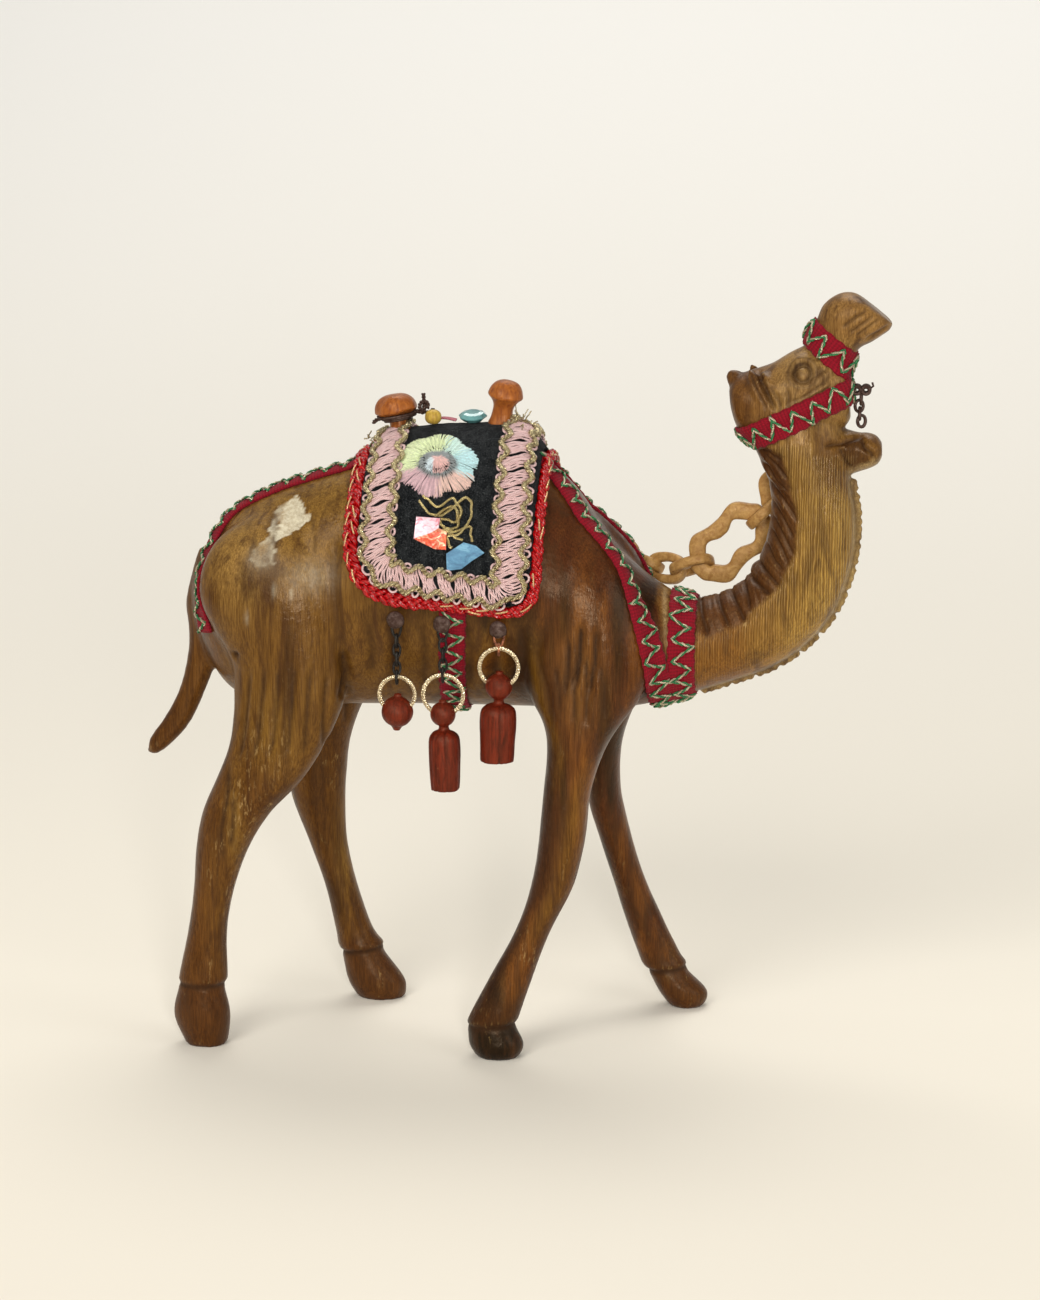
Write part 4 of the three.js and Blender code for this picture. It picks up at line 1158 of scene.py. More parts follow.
@dataclass
class Tones:
    """The wood's colours by region, washed over each other at some places, in millimetres."""

    places: Points
    olive: Colour = (0.125, 0.056, 0.010)
    golden: Colour = (0.298, 0.168, 0.034)
    reddish: Colour = (0.060, 0.015, 0.004)
    brown: Colour = (0.092, 0.032, 0.005)
    dark: Colour = (0.016, 0.006, 0.002)
    # Painted highlights on the hind legs: middle, reach, side and share.
    hind_highlights: Marks = (((-58, 86), (8, 12), Side.NEAR, 0.5), ((-69.3, 62), (2.6, 12), Side.NEAR, 0.6),
                         ((-76, 36), (2.6, 14), Side.NEAR, 0.5), ((-48, 42), (2.6, 16), Side.FAR, 0.5))
    shin_back: Rows = ((9, 21, 33, 46, 58, 82, 95, 104, 118), (-8.2, -2.8, 3.8, 8.1, 10.1, 11.9, 7.2, 5.4, 6))
    shin_front: Rows = ((20, 34, 46, 58, 71, 83), (8.4, 13.3, 19.1, 21.9, 23.2, 27.3))

    def __post_init__(self) -> None:
        """Starts with one colour all over."""
        self.wobble = cloudy(self.places, (14, 14, 30), 3) * 4 + cloudy(self.places, (5, 5, 16), 5) * 2
        self.tone = np.tile(np.array(self.olive), (len(self.places), 1))

    def wash(self, colour: Colour, share: Points) -> None:
        """Mixes a share of a colour in."""
        part = np.clip(share, 0, 1)[:, None]
        self.tone = self.tone * (1 - part) + np.array(colour) * part

    def band(self, value: Points, start: float, end: float) -> Points:
        """Rises from 0 to 1 between two values, with an uneven edge."""
        return np.clip((value + self.wobble - start) / (end - start), 0, 1)

    def smears(self, size: Row, fine: Row, seed: int) -> Points:
        """Uneven upright smears of a size, with finer ones in them."""
        return cloudy(self.places, size, seed) + 0.5 * cloudy(self.places, fine, seed + 1)

    def over(self) -> Points:
        """Washes the whole animal.

        Returns:
            One colour for each place.
        """
        self.wash_flanks()
        self.wash_legs()
        self.wash_neck()
        self.wash_head()
        self.wash_hooves()
        return self.tone

    def wash_flanks(self) -> None:
        """Golden haunch with a painted highlight, brown belly, reddish shoulder, and a painted shadow behind the fore
        leg.
        """
        x, y, z = self.places.T
        wash, band = self.wash, self.band
        wash(self.golden, 0.55 * band(z, 118, 150) * band(-x, 20, 48))
        # Painted highlight on the near haunch.
        wash((0.33, 0.19, 0.052), 0.55 * blob(self.places, (-67, 129), (8, 12)) * (y < 0))
        wash(self.brown, 0.75 * band(-z, -98, -74) * band(-x, 0, 20))
        shoulder = band(x, -2, 10) * band(-x, -48, -38) * band(-z, -158, -140)
        wash(self.reddish, 0.97 * shoulder)
        wash((0.062, 0.020, 0.005), 0.6 * shoulder * band(-z, -80, -50))
        # Painted shadow on the chest between the belly and the fore leg.
        wash(self.dark, 0.92 * band(x, 0, 6) * band(-x, -15, -9) * band(z, 88, 98) * band(-z, -134, -116))

    def wash_legs(self) -> None:
        """Smears, painted lit edges and a painted shaded back edge of the near fore leg, painted highlights on the hind
        legs, and a painted shadow under the saddle's edge.
        """
        x, y, z = self.places.T
        wash, band = self.wash, self.band
        fore = band(x, -12, -6) * band(-x, -52, -44) * band(-z, -140, -122)
        smears = self.smears((3.4, 7, 24), (1.7, 4, 12), 33)
        wash(self.dark, 0.92 * fore * np.clip(2.3 * smears - 0.35, 0, 1))
        wash((0.145, 0.046, 0.006), 0.8 * fore * np.clip(-2.2 * smears - 0.35, 0, 1))
        wash((0.150, 0.060, 0.012), 0.8 * blob(self.places, (21, 103), (8, 16)))
        back = np.interp(z, *self.shin_back)
        wash((0.155, 0.070, 0.009), 0.6 * bell(x - back - 3.8, 2.2) * (y < 0) * band(z, 66, 80) * band(-z, -120, -108))
        front = np.interp(z, *self.shin_front)
        wash((0.150, 0.066, 0.009), 0.8 * bell(x - front + 3.6, 2.6) * (y < 0) * band(z, 30, 42) * band(-z, -84, -66))
        # Painted shade along the near fore leg's back edge.
        wash((0.030, 0.009, 0.003), 0.75 * bell(x - back - 0.8, 2.2) * (y < 0) * band(z, 8, 18) * band(-z, -100, -84))
        # Painted shadow under the saddle's lower edge.
        wash((0.030, 0.012, 0.004), 0.45 * bell(z - 117.5, 3) * band(x, -40, -30) * band(-x, -8, 0))
        # Painted highlights on the hind legs.
        for middle, reach, side, share in self.hind_highlights:
            wash((0.225, 0.118, 0.020), share * blob(self.places, middle, reach) * (y * side.value > 0))
        smears = self.smears((4.2, 8, 26), (2.0, 5, 14), 41)
        wash((0.040, 0.015, 0.004), 0.7 * np.clip(2.2 * smears - 0.75, 0, 1) * band(-x, -8, 4))

    def wash_neck(self) -> None:
        """Golden neck, redder towards its root, with a pale strip beside the collar."""
        x, y, z = self.places.T
        wash, band = self.wash, self.band
        wash(self.golden, band(x, 42, 47) * band(z, 86, 94))
        wash((0.150, 0.052, 0.006), 0.88 * band(x, 42, 47) * band(-x, -80, -58) * band(z, 86, 94))
        wash((0.37, 0.205, 0.036), 0.5 * blob(self.places, (80, 130), (8, 11)))
        wash((0.20, 0.105, 0.022), 0.5 * band(x, 66, 70) * band(z, 144, 152))
        strip = bell(x - 40.9 - 0.13 * (124 - z), 0.55)
        wash((0.36, 0.25, 0.12), 0.75 * strip * band(z, 102, 107) * band(-z, -127, -123) * (y < 0))

    def wash_head(self) -> None:
        """Paler face, a pale patch by the eye that is partly its pale cast and partly a painted highlight, dark nape,
        jaw and throat, and painted shade in the hollow under the lip.
        """
        x, _, z = self.places.T
        wash, band = self.wash, self.band
        head = band(x, 52, 60) * band(z, 158, 162)
        wash((0.25, 0.138, 0.038), 0.9 * head)
        wash((0.185, 0.088, 0.024), 0.8 * (1 - band(x, 64, 71)) * head)
        # Pale patch by the eye: partly the face's pale cast, partly a painted highlight.
        wash((0.31, 0.185, 0.075), 0.7 * blob(self.places, (78, 178), (7, 5)))
        wash((0.19, 0.090, 0.024), 0.7 * band(z, 184, 190) * head)
        wash(self.brown, 0.8 * band(x, 52, 56) * band(-x, -71, -62) * band(z, 158, 162))
        wash((0.115, 0.048, 0.009), 0.85 * band(x, 79, 83) * band(-z, -165, -162) * band(z, 150, 153))
        # Painted shade in the hollow under the lip.
        hollow = inside(self.places[:, [0, 2]], [(85.8, 161.6), (88.6, 154.6), (93.4, 156.8), (91.4, 162.9)])
        wash((0.05, 0.018, 0.004), 0.8 * hollow)

    def wash_hooves(self) -> None:
        """Dark tail and hooves, the near fore hoof nearly black."""
        x, y, z = self.places.T
        wash, band = self.wash, self.band
        wash(self.brown, 0.75 * band(-x, 74, 78) * band(-z, -134, -120))
        wash((0.066, 0.021, 0.004), 0.88 * band(-z, -17, -14))
        near_fore = band(x, -14, -8) * band(-x, -14, -8) * (y < 0)
        wash(self.dark, 0.35 * band(-z, -30, -12) * near_fore)
        wash((0.007, 0.003, 0.001), 0.98 * band(-z, -12, -9) * near_fore)


@dataclass
class Mane:
    """Slanting locks on the nape and rolls over the neck's root, on both sides."""

    nape_locks: int = 6
    nape_radius: float = 1.6
    nape_drop: Pair = (9, -8.5)
    root_locks: int = 5
    root_radius: float = 2.6
    root_reach: float = 12

    def add(self, shape: Shape) -> None:
        """Adds the locks.

        Args:
            shape: the rough forms.
        """
        nape = smooth_rows([(rib[0], rib[1]) for rib in NECK[5:11]], 20)
        root = smooth_rows([(rib[0], rib[1]) for rib in NECK[2:6]], 20)
        for side in SIDES:
            for i in range(self.nape_locks):
                x, z = nape[int((1 - (i + 0.2) / self.nape_locks) * (len(nape) - 1))]
                end = (x + self.nape_drop[0], side.value * 9.6, z + self.nape_drop[1])
                pointed_roll(shape, (x + 0.3, side.value * 1.2, z), end, self.nape_radius)
            for i in range(self.root_locks):
                x, z = root[int((i + 0.55) / self.root_locks * (len(root) - 1))]
                start = (x, side.value * -1.5, z + 0.3)
                pointed_roll(shape, start, (x + 1.5, side.value * 11.4, z - self.root_reach), self.root_radius)


@dataclass
class ThroatEdge:
    """The notched ridge down the front of the neck."""

    beads: int = 36
    radius: float = 0.98
    proud: float = 1.15

    def add(self, shape: Shape) -> None:
        """Adds a row of small beads.

        Args:
            shape: the rough forms.
        """
        line = smooth_rows([(rib[2], rib[3]) for rib in NECK[2:11]], 24)
        for i in range(self.beads):
            at = int((i + 0.5) / self.beads * (len(line) - 1))
            ahead = unit(line[min(at + 1, len(line) - 1)] - line[max(at - 1, 0)])
            out = np.array([ahead[1], -ahead[0]])
            x, z = line[at] + out * (self.proud - 0.5)
            ball = bmesh.ops.create_icosphere(shape, subdivisions=2, radius=self.radius)
            spread = Matrix.Translation((x, 0, z)) @ Matrix.Diagonal((1, 1.25, 1, 1))
            bmesh.ops.transform(shape, matrix=spread, verts=ball["verts"])


@dataclass
class TrunkAndLegs(Clay):
    """Trunk, legs and tail, up to the collar ribbon."""

    voxel: float = 0.77
    neck_stump: Rows = (NECK[0], NECK[1], (46.4, 120.4, 47, 94.6, 0, 13), (47.4, 116, 48, 99, 0, 9))
    haunch_gouges: int = 6
    shoulder_gouges: Rows = (
        (15.2, 106, 93, -0.6, 0.4), (17.6, 113, 98, 0.5, 0.8), (19.3, 104, 91, -0.3, 0.5), (20.6, 117, 100, 0.8, 1.2),
        (22.6, 109, 90, -0.2, 0.8), (24.4, 116, 98, 0.9, 1.1), (26.8, 107, 92, -0.8, 0.6),
    )
    flank_cuts: Outline = ((-34.4, 100), (-28.6, 99), (-20.6, 98), (-8.6, 97), (-2.2, 98), (5.4, 99))
    joints: Marks = ((-63, 58, Side.NEAR), (-56, 60, Side.FAR), (16, 64, Side.NEAR), (23.6, 62, Side.FAR))
    hooves: Marks = (
        (16.9, 0.0, -90, -68, Side.NEAR), (14.1, 0.14, -54, -34, Side.FAR), (8.8, 0.05, -12, 8, Side.NEAR),
        (10.9, 0.12, 30, 52, Side.FAR),
    )
    flake: Outline = (
        (-55.0, 146.2), (-52.8, 145.0), (-51.4, 144.0), (-51.7, 142.6), (-49.5, 141.7), (-52.9, 138.7),
        (-56.3, 136.9), (-58.6, 135.6), (-58.0, 139.6), (-57.2, 142.0), (-57.4, 144.6),
    )
    faded: Outline = (
        (-55, 146), (-59.8, 143.1), (-60.4, 136.9), (-63.8, 133.8), (-64.6, 130.8), (-60.6, 129.8), (-57.8, 130.6),
        (-58.4, 135.5), (-55, 138.6),
    )
    bare_flecks: Rows = ((-57.8, 124.0, 0.4), (-53.6, 123.4, 0.5), (-65.2, 116.6, 0.3), (-48.5, 125.2, 0.3))
    shin_cuts: Lines = ([(-71.0, 78), (-71.2, 68), (-72.9, 60), (-72.2, 51)], [(-69.4, 70), (-69.2, 63), (-70.6, 55)])
    rubbed: Marks = (
        ((-66.5, 68), (3.0, 15), Side.NEAR), ((-70.5, 38), (2.4, 9), Side.NEAR), ((-48, 34), (2.0, 10), Side.FAR),
        ((-60, 82), (5, 8), Side.NEAR),
    )

    def __post_init__(self) -> None:
        """Lofts the forms and carves them."""
        shape = bmesh.new()
        loft(shape, trunk_ribs(), 40, 4)
        loft(shape, self.neck_stump, 32, 3)
        loft(shape, TAIL, 20, 4)
        for rows in (NEAR_HIND, FAR_HIND, NEAR_FORE, FAR_FORE):
            loft(shape, leg_ribs(rows), 28, 4)
        super().__init__(shape, self.voxel)
        z = self.places[:, 2]
        self.relax(10, 0.10 + 0.15 * np.clip((z - 18) / 10, 0, 1) + 0.35 * np.clip((z - 70) / 20, 0, 1))
        self.lift(cloudy(self.places, (9, 9, 16), 11) * 0.16 + cloudy(self.places, (3.2, 3.2, 8), 12) * 0.05)
        self.carve_flanks()
        self.carve_legs()
        self.renew()
        self.hollow_marks(0.09)
        self.mark_flake()
        self.mark_wear()

    def carve_flanks(self) -> None:
        """Haunch, shoulder and flank cuts on both sides."""
        for side in SIDES:
            self.groove([(-42.6, 138), (-42.7, 128), (-42, 116), (-41.2, 106)], 1.4, 0.85, side, 0.5)
            self.groove([(-41.2, 108), (-40.3, 100.6), (-41.4, 93.5)], 1.1, 1.5, side, 1.0)
            for i in range(self.haunch_gouges):
                x = -66 + 4.1 * i
                tall = 106 - 1.2 * abs(i - 2.5)
                line = [(x + 1, tall), (x + 0.3, 97), (x - 0.9, 86 - i), (x - 2.6, 78 + 0.6 * i)]
                self.groove(line, 0.7, 0.62, side, 0.85)
            for x, top, low, lean, deep in self.shoulder_gouges:
                line = [(x + lean, top), (x + 0.5, (top + low) / 2), (x - lean, low)]
                self.groove(line, 0.52 + 0.24 * deep, deep, side, 0.45 + 0.75 * deep)
            self.groove([(12.4, 118), (9.6, 108), (12.8, 98), (13.8, 88)], 1.3, 0.7, side, 0.6)
            self.groove([(27.6, 104), (27.2, 94), (25.2, 84)], 0.7, 0.3, side, 0.4)
            for x, low in self.flank_cuts:
                self.groove([(x, 116.5), (x + 1.2, 108), (x - 0.2, low)], 1.3, 0.6, side, 0.75)
        self.swell((-60, 128), (15, 14), 0.9)
        self.swell((20, 112), (10, 14), 0.5)
        self.swell((15, 124), (8, 9), 1.2)

    def carve_legs(self) -> None:
        """Knees, hocks and the rim above each hoof."""
        for x, z, side in self.joints:
            self.lift(blob(self.places, (x, z), (9, 10)) * 0.5 * self.half(side))
        for z, tilt, low, high, side in self.hooves:
            x = self.places[:, 0]
            rim = z + tilt * (x - (low + high) / 2)
            cut = bell(self.places[:, 2] - rim, 0.62) * ((x > low) & (x < high) & self.half(side))
            self.lift(cut * -0.55)
            self.paint("cut", cut * 1.3)

    def half(self, side: Side) -> Points:
        """Whether each point lies on one side of the middle."""
        return (self.places[:, 1] < 0) == (side is Side.NEAR)

    def mark_flake(self) -> None:
        """The chipped and bare places on the haunch."""
        near = self.on_side(Side.NEAR)
        torn = self.places[:, [0, 2]] + 0.55 * cloudy(self.places, (1.1, 1.1, 1.1), 51)[:, None]
        hit = inside(torn, self.flake) * near
        self.lift(-0.28 * hit)
        self.paint("bare", hit)
        powder = np.clip(0.42 + 0.5 * cloudy(self.places, (2, 2, 4), 52), 0, 1)
        self.paint("bare", inside(torn, self.faded) * near * powder)
        for px, pz, share in self.bare_flecks:
            self.paint("bare", share * blob(self.places, (px, pz), (0.5, 1.7)) * near)
        dust = blob(self.places, (-61.6, 132), (3.2, 2.6)) * 0.3 + blob(self.places, (-49, 127.5), (6, 4)) * 0.26
        self.paint("bare", dust * near)
        self.groove([(-49.8, 143), (-48.3, 136.6), (-47.9, 132.4)], 0.45, 0.12, Side.NEAR, 0.7)
        self.groove([(-56.3, 130.4), (-52.5, 133.3), (-47.9, 131.4), (-43.3, 129.7)], 0.5, -0.22, Side.NEAR, 0.0)
        hole = blob(self.places, (-69.3, 106.1), (1.0, 0.8)) * near
        self.lift(-1.2 * hole)
        self.paint("cut", 1.6 * hole)

    def mark_wear(self) -> None:
        """Rubbed places of the legs and small cuts down the near hind shin."""
        x, y, z = self.places.T
        near = self.on_side(Side.NEAR)
        legs = np.clip((92 - z) / 20, 0, 1)
        speckle = np.clip(cloudy(self.places, (2.4, 2.4, 7), 21) * 2.6 - 1.1, 0, 1)
        near_hoof = (x > -14) & (x < 12) & (y < 0)
        self.marks["worn"] *= 1 - 0.9 * blob(self.places, (21.5, 105), (8, 13))
        self.marks["worn"] *= np.where((z < 9) & near_hoof, 0.2, 1)
        self.paint("worn", 0.8 * legs * speckle)
        for line in self.shin_cuts:
            self.groove(line, 0.85, 0.3, Side.NEAR, 1.0)
        for middle, reach, side in self.rubbed:
            self.paint("worn", blob(self.places, middle, reach) * (near if side is Side.NEAR else near <= 0))
        self.paint("worn", 0.5 * np.clip(cloudy(self.places, (3, 3, 9), 22) * 3 - 1.8, 0, 1))


@dataclass
class NeckAndHead(Clay):
    """Neck, head and jaw, from the collar ribbon on."""

    voxel: float = 0.46
    seam_x: float = 45.4
    ears: Rows = ((62, 180.6, 67, 171.2, 1.9), (65.2, 180, 70.0, 172.0, 1.7))
    eye: Pair = (75.9, 179.9)
    eye_steps: Outline = (
        (0, 0.5), (1.0, 0.35), (1.5, -0.2), (1.9, -1.0), (2.4, -0.9), (2.9, -0.2), (3.4, 0.35), (4.8, 0),
    )
    face_lines: Marks = (
        ([(62.4, 179.6), (64.0, 176.1), (65.8, 173.1), (67.1, 170.8)], 0.5, 0.7, 0.75),
        ([(64.5, 179.8), (66.8, 175.6), (68.4, 172.1), (69.5, 170.6)], 0.6, 1.0, 1.0),
        ([(67.3, 177.3), (69.7, 173.6), (70.8, 170.8)], 0.5, 0.6, 0.7),
        ([(81.6, 181.2), (80.0, 179.8), (78.8, 178.9)], 0.4, 0.5, 0.6),
        ([(83.9, 180.6), (81.9, 178.1), (77.2, 174.6), (72.6, 172.4)], 0.55, 0.6, 0.6),
        ([(83.9, 177.2), (78.8, 174.1), (73.6, 171.6)], 0.5, 0.55, 0.55),
        ([(72.0, 176.0), (72.6, 173.8), (72.0, 171.6)], 0.45, 0.45, 0.45),
        ([(91.8, 196.1), (88.8, 194.3), (85.4, 191.4)], 0.45, 0.7, 0.75),
        ([(93.6, 194.8), (90.3, 192.2), (87.5, 190.0)], 0.45, 0.7, 0.7),
        ([(95.4, 194.2), (92.1, 191.5), (89.0, 189.2)], 0.45, 0.55, 0.55),
        ([(97.6, 191.9), (94.9, 190.2), (91.4, 188.2)], 0.5, 0.5, 0.5),
        ([(91.0, 163.3), (91.8, 161.0), (93.8, 159.3), (94.4, 157.4)], 0.6, 1.0, 1.0),
        ([(81.6, 161.2), (86, 161.8), (89.1, 162.8), (91.6, 163.7)], 0.55, 0.7, 0.75),
        ([(85.6, 161.2), (86.8, 158.4), (88.6, 154.8)], 0.6, 0.9, 1.0),
    )
    upper_locks: Lines = (
        [(64.6, 159.6), (67.6, 159.2), (71.2, 157.4)], [(65.6, 159.2), (69.4, 156.2), (72.9, 152.3)],
        [(66.3, 156.5), (69.6, 151.8), (73, 149.4)], [(67, 151.9), (71.4, 147.4), (75.3, 142.4)],
        [(68.0, 146.9), (71.5, 142.4), (74.6, 137.3)], [(68.2, 143.2), (71.6, 138.2), (74.7, 133.1)],
        [(68.2, 139.5), (71.2, 135), (73.3, 130.6)], [(66.9, 135.7), (69.4, 131.7), (71.9, 129.4)],
    )
    lower_locks: Lines = (
        [(64.2, 131.2), (67.2, 128.7), (71.2, 125.1)], [(61.0, 127.9), (64.5, 125.8), (69, 122.9)],
        [(60.6, 127), (62.6, 122.3), (63.4, 119.2)], [(57, 124.2), (59.9, 120.3), (62.6, 115.8)],
        [(53.8, 123.2), (56.3, 118.3), (58.4, 114.3)], [(49.7, 122.6), (51.2, 117.3), (53.1, 112.3)],
    )
    mane_edge: Outline = (
        (58, 166), (71.3, 158.6), (73.4, 151), (75.6, 143.0), (75.2, 134), (72.4, 128.4), (71.4, 125.3),
        (68.9, 122.6), (63.6, 118.4), (62.4, 115.4), (58.3, 114.3), (53.4, 111.6), (50.2, 112.6), (46, 116),
        (40, 126), (60, 134), (62, 150), (56, 160),
    )
    throat_edge: Outline = (
        (90, 158), (87.4, 154.8), (88.4, 142.3), (89.2, 133.0), (85.9, 121.3), (76.8, 110.2), (62.9, 102.4),
        (46, 95.6), (46, 84), (110, 84), (110, 158),
    )

    def __post_init__(self) -> None:
        """Lofts the forms and carves them."""
        shape = bmesh.new()
        loft(shape, trunk_ribs()[10:], 40, 6)
        loft(shape, NECK, 40, 6)
        loft(shape, HEAD, 36, 6)
        loft(shape, SNOUT, 32, 6)
        loft(shape, JAW, 28, 5)
        Mane().add(shape)
        ThroatEdge().add(shape)
        pointed_roll(shape, (61.4, 0, 174.6), (56.4, 0, 179.2), 2.5)
        for side in SIDES:
            for x, z, to_x, to_z, radius in self.ears:
                start = (x, side.value * 4.8, z)
                pointed_roll(shape, start, (to_x, side.value * 9.9, to_z), radius)
        self.trim(shape)
        super().__init__(shape, self.voxel)
        keep = np.clip((self.places[:, 0] - 50) / 4, 0.2, 1)
        self.relax(5, 0.55 - 0.25 * keep)
        self.lift(cloudy(self.places, (7, 7, 12), 14) * 0.10)
        for side in SIDES:
            self.carve_face(side)
            self.carve_mane(side)
        self.renew()
        self.hollow_marks(0.06)
        self.mark_head()

    def trim(self, shape: Shape) -> None:
        """Cuts the neck off at the seam and closes it.

        Args:
            shape: the rough forms.
        """
        everything = shape.verts[:] + shape.edges[:] + shape.faces[:]
        cut = bmesh.ops.bisect_plane(shape, geom=everything, dist=1e-4, plane_co=(self.seam_x, 0, 0),
                                     plane_no=(1, 0, 0), clear_inner=True)
        rims = [item for item in cut["geom_cut"] if isinstance(item, bmesh.types.BMEdge)]
        bmesh.ops.holes_fill(shape, edges=rims, sides=0)

    def carve_face(self, side: Side) -> None:
        """Eye, cheek, ear, nose and jaw lines.

        Args:
            side: the side they are on.
        """
        self.dome(self.eye, self.eye_steps, side)
        x, z = (self.places[:, [0, 2]] - np.array(self.eye)).T
        shown = self.on_side(side)
        self.paint("cut", 1.5 * bell(np.hypot(x, z) - 2.1, 0.62) * shown * (0.6 + 0.4 * np.clip((z - x) / 2.5, 0, 1)))
        self.paint("cut", 0.5 * bell(np.hypot(x, z) - 3.7, 0.4) * shown)
        self.paint("cut", 0.55 * bell(np.hypot(x + 0.3, z), 1.1) * shown)
        self.swell((89.4, 158.4), (2.4, 2.6), -0.7, side)
        for line, wide, deep, stain in self.face_lines:
            self.groove(line, wide, deep, side, stain)
        self.swell((77, 176.2), (3.4, 1.4), 0.35, side)
        self.swell((68, 184), (4, 1.5), 0.3, side)

    def carve_mane(self, side: Side) -> None:
        """Deep cuts between the locks.

        Args:
            side: the side they are on.
        """
        for line in self.upper_locks:
            self.groove(line, 0.55, 0.75, side, 0.85)
            second = [(px + 1.0, pz + 0.7) for px, pz in line]
            self.groove(second, 0.35, 0.3, side, 0.5)
        for line in self.lower_locks:
            self.groove(line, 0.65, 1.0, side, 0.95)
            for shift in (1.3, 2.5):
                self.groove([(px + shift, pz + 0.3 * shift) for px, pz in line], 0.35, 0.22, side, 0.3)

    def mark_head(self) -> None:
        """Dark mane, combed neck, pale throat and chipped edges."""
        x, y, z = self.places.T
        flat = self.places[:, [0, 2]]
        here = inside(flat, self.mane_edge).astype(float)[:, None]
        for _ in range(3):
            here = self.neighbours(here)
        here = here[:, 0]
        self.mane_share = here
        throat = inside(flat, self.throat_edge) | (np.abs(y) < 2.2) & (z < 158) & (here < 0.5)
        neck = (z < 161.5) & (x > 47) & ~throat & (here < 0.5) & (x < 90)
        face = (z > 158.5) & (x > 78)
        combed = (neck & ~face).astype(float)[:, None]
        for _ in range(4):
            combed = self.neighbours(combed)
        self.paint("combed", combed[:, 0] * np.clip((z - 92) / 30, 0.35, 1))
        pale = (throat & (np.abs(y) < 4.6) & ~face & (x > 50)).astype(float)[:, None]
        self.throat_share = 0.8 * self.neighbours(self.neighbours(pale))
        edge, _ = far_from_line(flat, self.mane_edge[3:14])
        chips = bell(edge - 0.3, 0.8) * (cloudy(self.places, (1.6, 1.6, 1.6), 31) > 0.25)
        self.paint("worn", chips * 0.9)


@dataclass
class CamelCarving:
    """The whole carved animal, in two fine skins that meet under the collar ribbon."""

    throat_colour: Colour = (0.27, 0.18, 0.075)
    mane_colour: Colour = (0.080, 0.028, 0.008)

    def build(self) -> BVHTree:
        """Carves and writes both pieces.

        Returns:
            A search tree of the skin, in millimetres, that the trappings are laid on.
        """
        wood = CarvedWood().make()
        body, head = TrunkAndLegs(), NeckAndHead()
        body_tone, head_tone = Tones(body.places).over(), Tones(head.places).over()
        for share, colour in ((head.throat_share, self.throat_colour),
                              (head.mane_share[:, None] * 0.92, self.mane_colour)):
            head_tone = head_tone * (1 - share) + np.array(colour) * share
        both = bmesh.new()
        for clay, tone, name in ((body, body_tone, "camel_trunk_and_legs"), (head, head_tone, "camel_neck_and_head")):
            mesh = clay.write(tone)
            both.from_mesh(mesh)
            shape = bmesh.new()
            shape.from_mesh(mesh)
            bmesh.ops.recalc_face_normals(shape, faces=shape.faces)
            piece_from(shape, name, [wood], ["camel_body"])
        tree = BVHTree.FromBMesh(both)
        both.free()
        return tree


# Laying trappings on the wood


class Lane:
    """A line over the animal's skin that a woven piece follows."""

    step = 0.8
    probe = 7
    columns_across = 11

    def __init__(self, tree: BVHTree, points: Points, outward: Points, reach: float, closed: bool,
                 even: int = 5) -> None:
        """Measures the skin beside the line.

        Args:
            tree: the skin.
            points: the line's points, near the skin.
            outward: for each point a direction away from the wood.
            reach: how far to each side the skin is measured.
            closed: whether the line comes back to its first point.
            even: how much small bends are evened out.
        """
        line = even_steps(np.hstack([points, outward]), self.step, closed)
        self.closed = closed
        self.points = blurred(line[:, :3], even, closed)
        ahead = np.roll(self.points, -1, axis=0) - np.roll(self.points, 1, axis=0)
        if not closed:
            ahead[0], ahead[-1] = self.points[1] - self.points[0], self.points[-1] - self.points[-2]
        ahead = unit(ahead)
        self.across = unit(np.cross(ahead, blurred(unit(line[:, 3:]), even * 2, closed)))
        self.normals = unit(np.cross(self.across, ahead))
        spans = np.diff(np.vstack([self.points, self.points[:1]]) if closed else self.points, axis=0)
        self.length = float(np.linalg.norm(spans, axis=1).sum())
        self.reach = reach
        self.columns = np.linspace(-reach, reach, self.columns_across)
        self.rise = self.measure(tree)

    def measure(self, tree: BVHTree) -> Points:
        """How far the skin lies over the line's plane, beside each point.

        Args:
            tree: the skin.

        Returns:
            One row for each point, with a height for each column.
        """
        rise = np.full((len(self.points), len(self.columns)), np.nan)
        for i, (spot, side, out) in enumerate(zip(self.points, self.across, self.normals)):
            for j, far in enumerate(self.columns):
                hit = tree.ray_cast(Vector(spot + side * far + out * self.probe), Vector(-out), 2 * self.probe)
                if hit[0] is not None:
                    rise[i, j] = self.probe - hit[3]
        for row in rise:
            good = ~np.isnan(row)
            row[:] = np.interp(self.columns, self.columns[good], row[good]) if good.any() else 0
        rise = blurred(rise, 3, self.closed)
        return blurred(rise.T, 1, False).T

    def at(self, along: Points, beside: Points, lift: Points) -> Points:
        """Places over the skin.

        Args:
            along: distance along the line.
            beside: distance to its side.
            lift: distance off the skin.

        Returns:
            One place for each set of distances.
        """
        count = len(self.points)
        spans = count if self.closed else count - 1
        spot = np.asarray(along, float) / self.length * spans
        spot = np.mod(spot, count) if self.closed else np.clip(spot, 0, spans - 1e-6)
        first = np.floor(spot).astype(int) % count
        second = (first + 1) % count
        part = (spot - np.floor(spot))[:, None]

        def between(rows: Points) -> Points:
            """Blends each point's row with that of the next."""
            return rows[first] * (1 - part) + rows[second] * part

        column = np.clip((beside + self.reach) / (2 * self.reach), 0, 1) * (len(self.columns) - 1)
        left = np.minimum(np.floor(column).astype(int), len(self.columns) - 2)
        share = column - left
        rows = between(self.rise)
        pick = np.arange(len(column))
        rise = rows[pick, left] * (1 - share) + rows[pick, left + 1] * share
        out = unit(between(self.normals))
        return (between(self.points) + unit(between(self.across)) * np.asarray(beside)[:, None]
                + out * (rise + lift)[:, None])


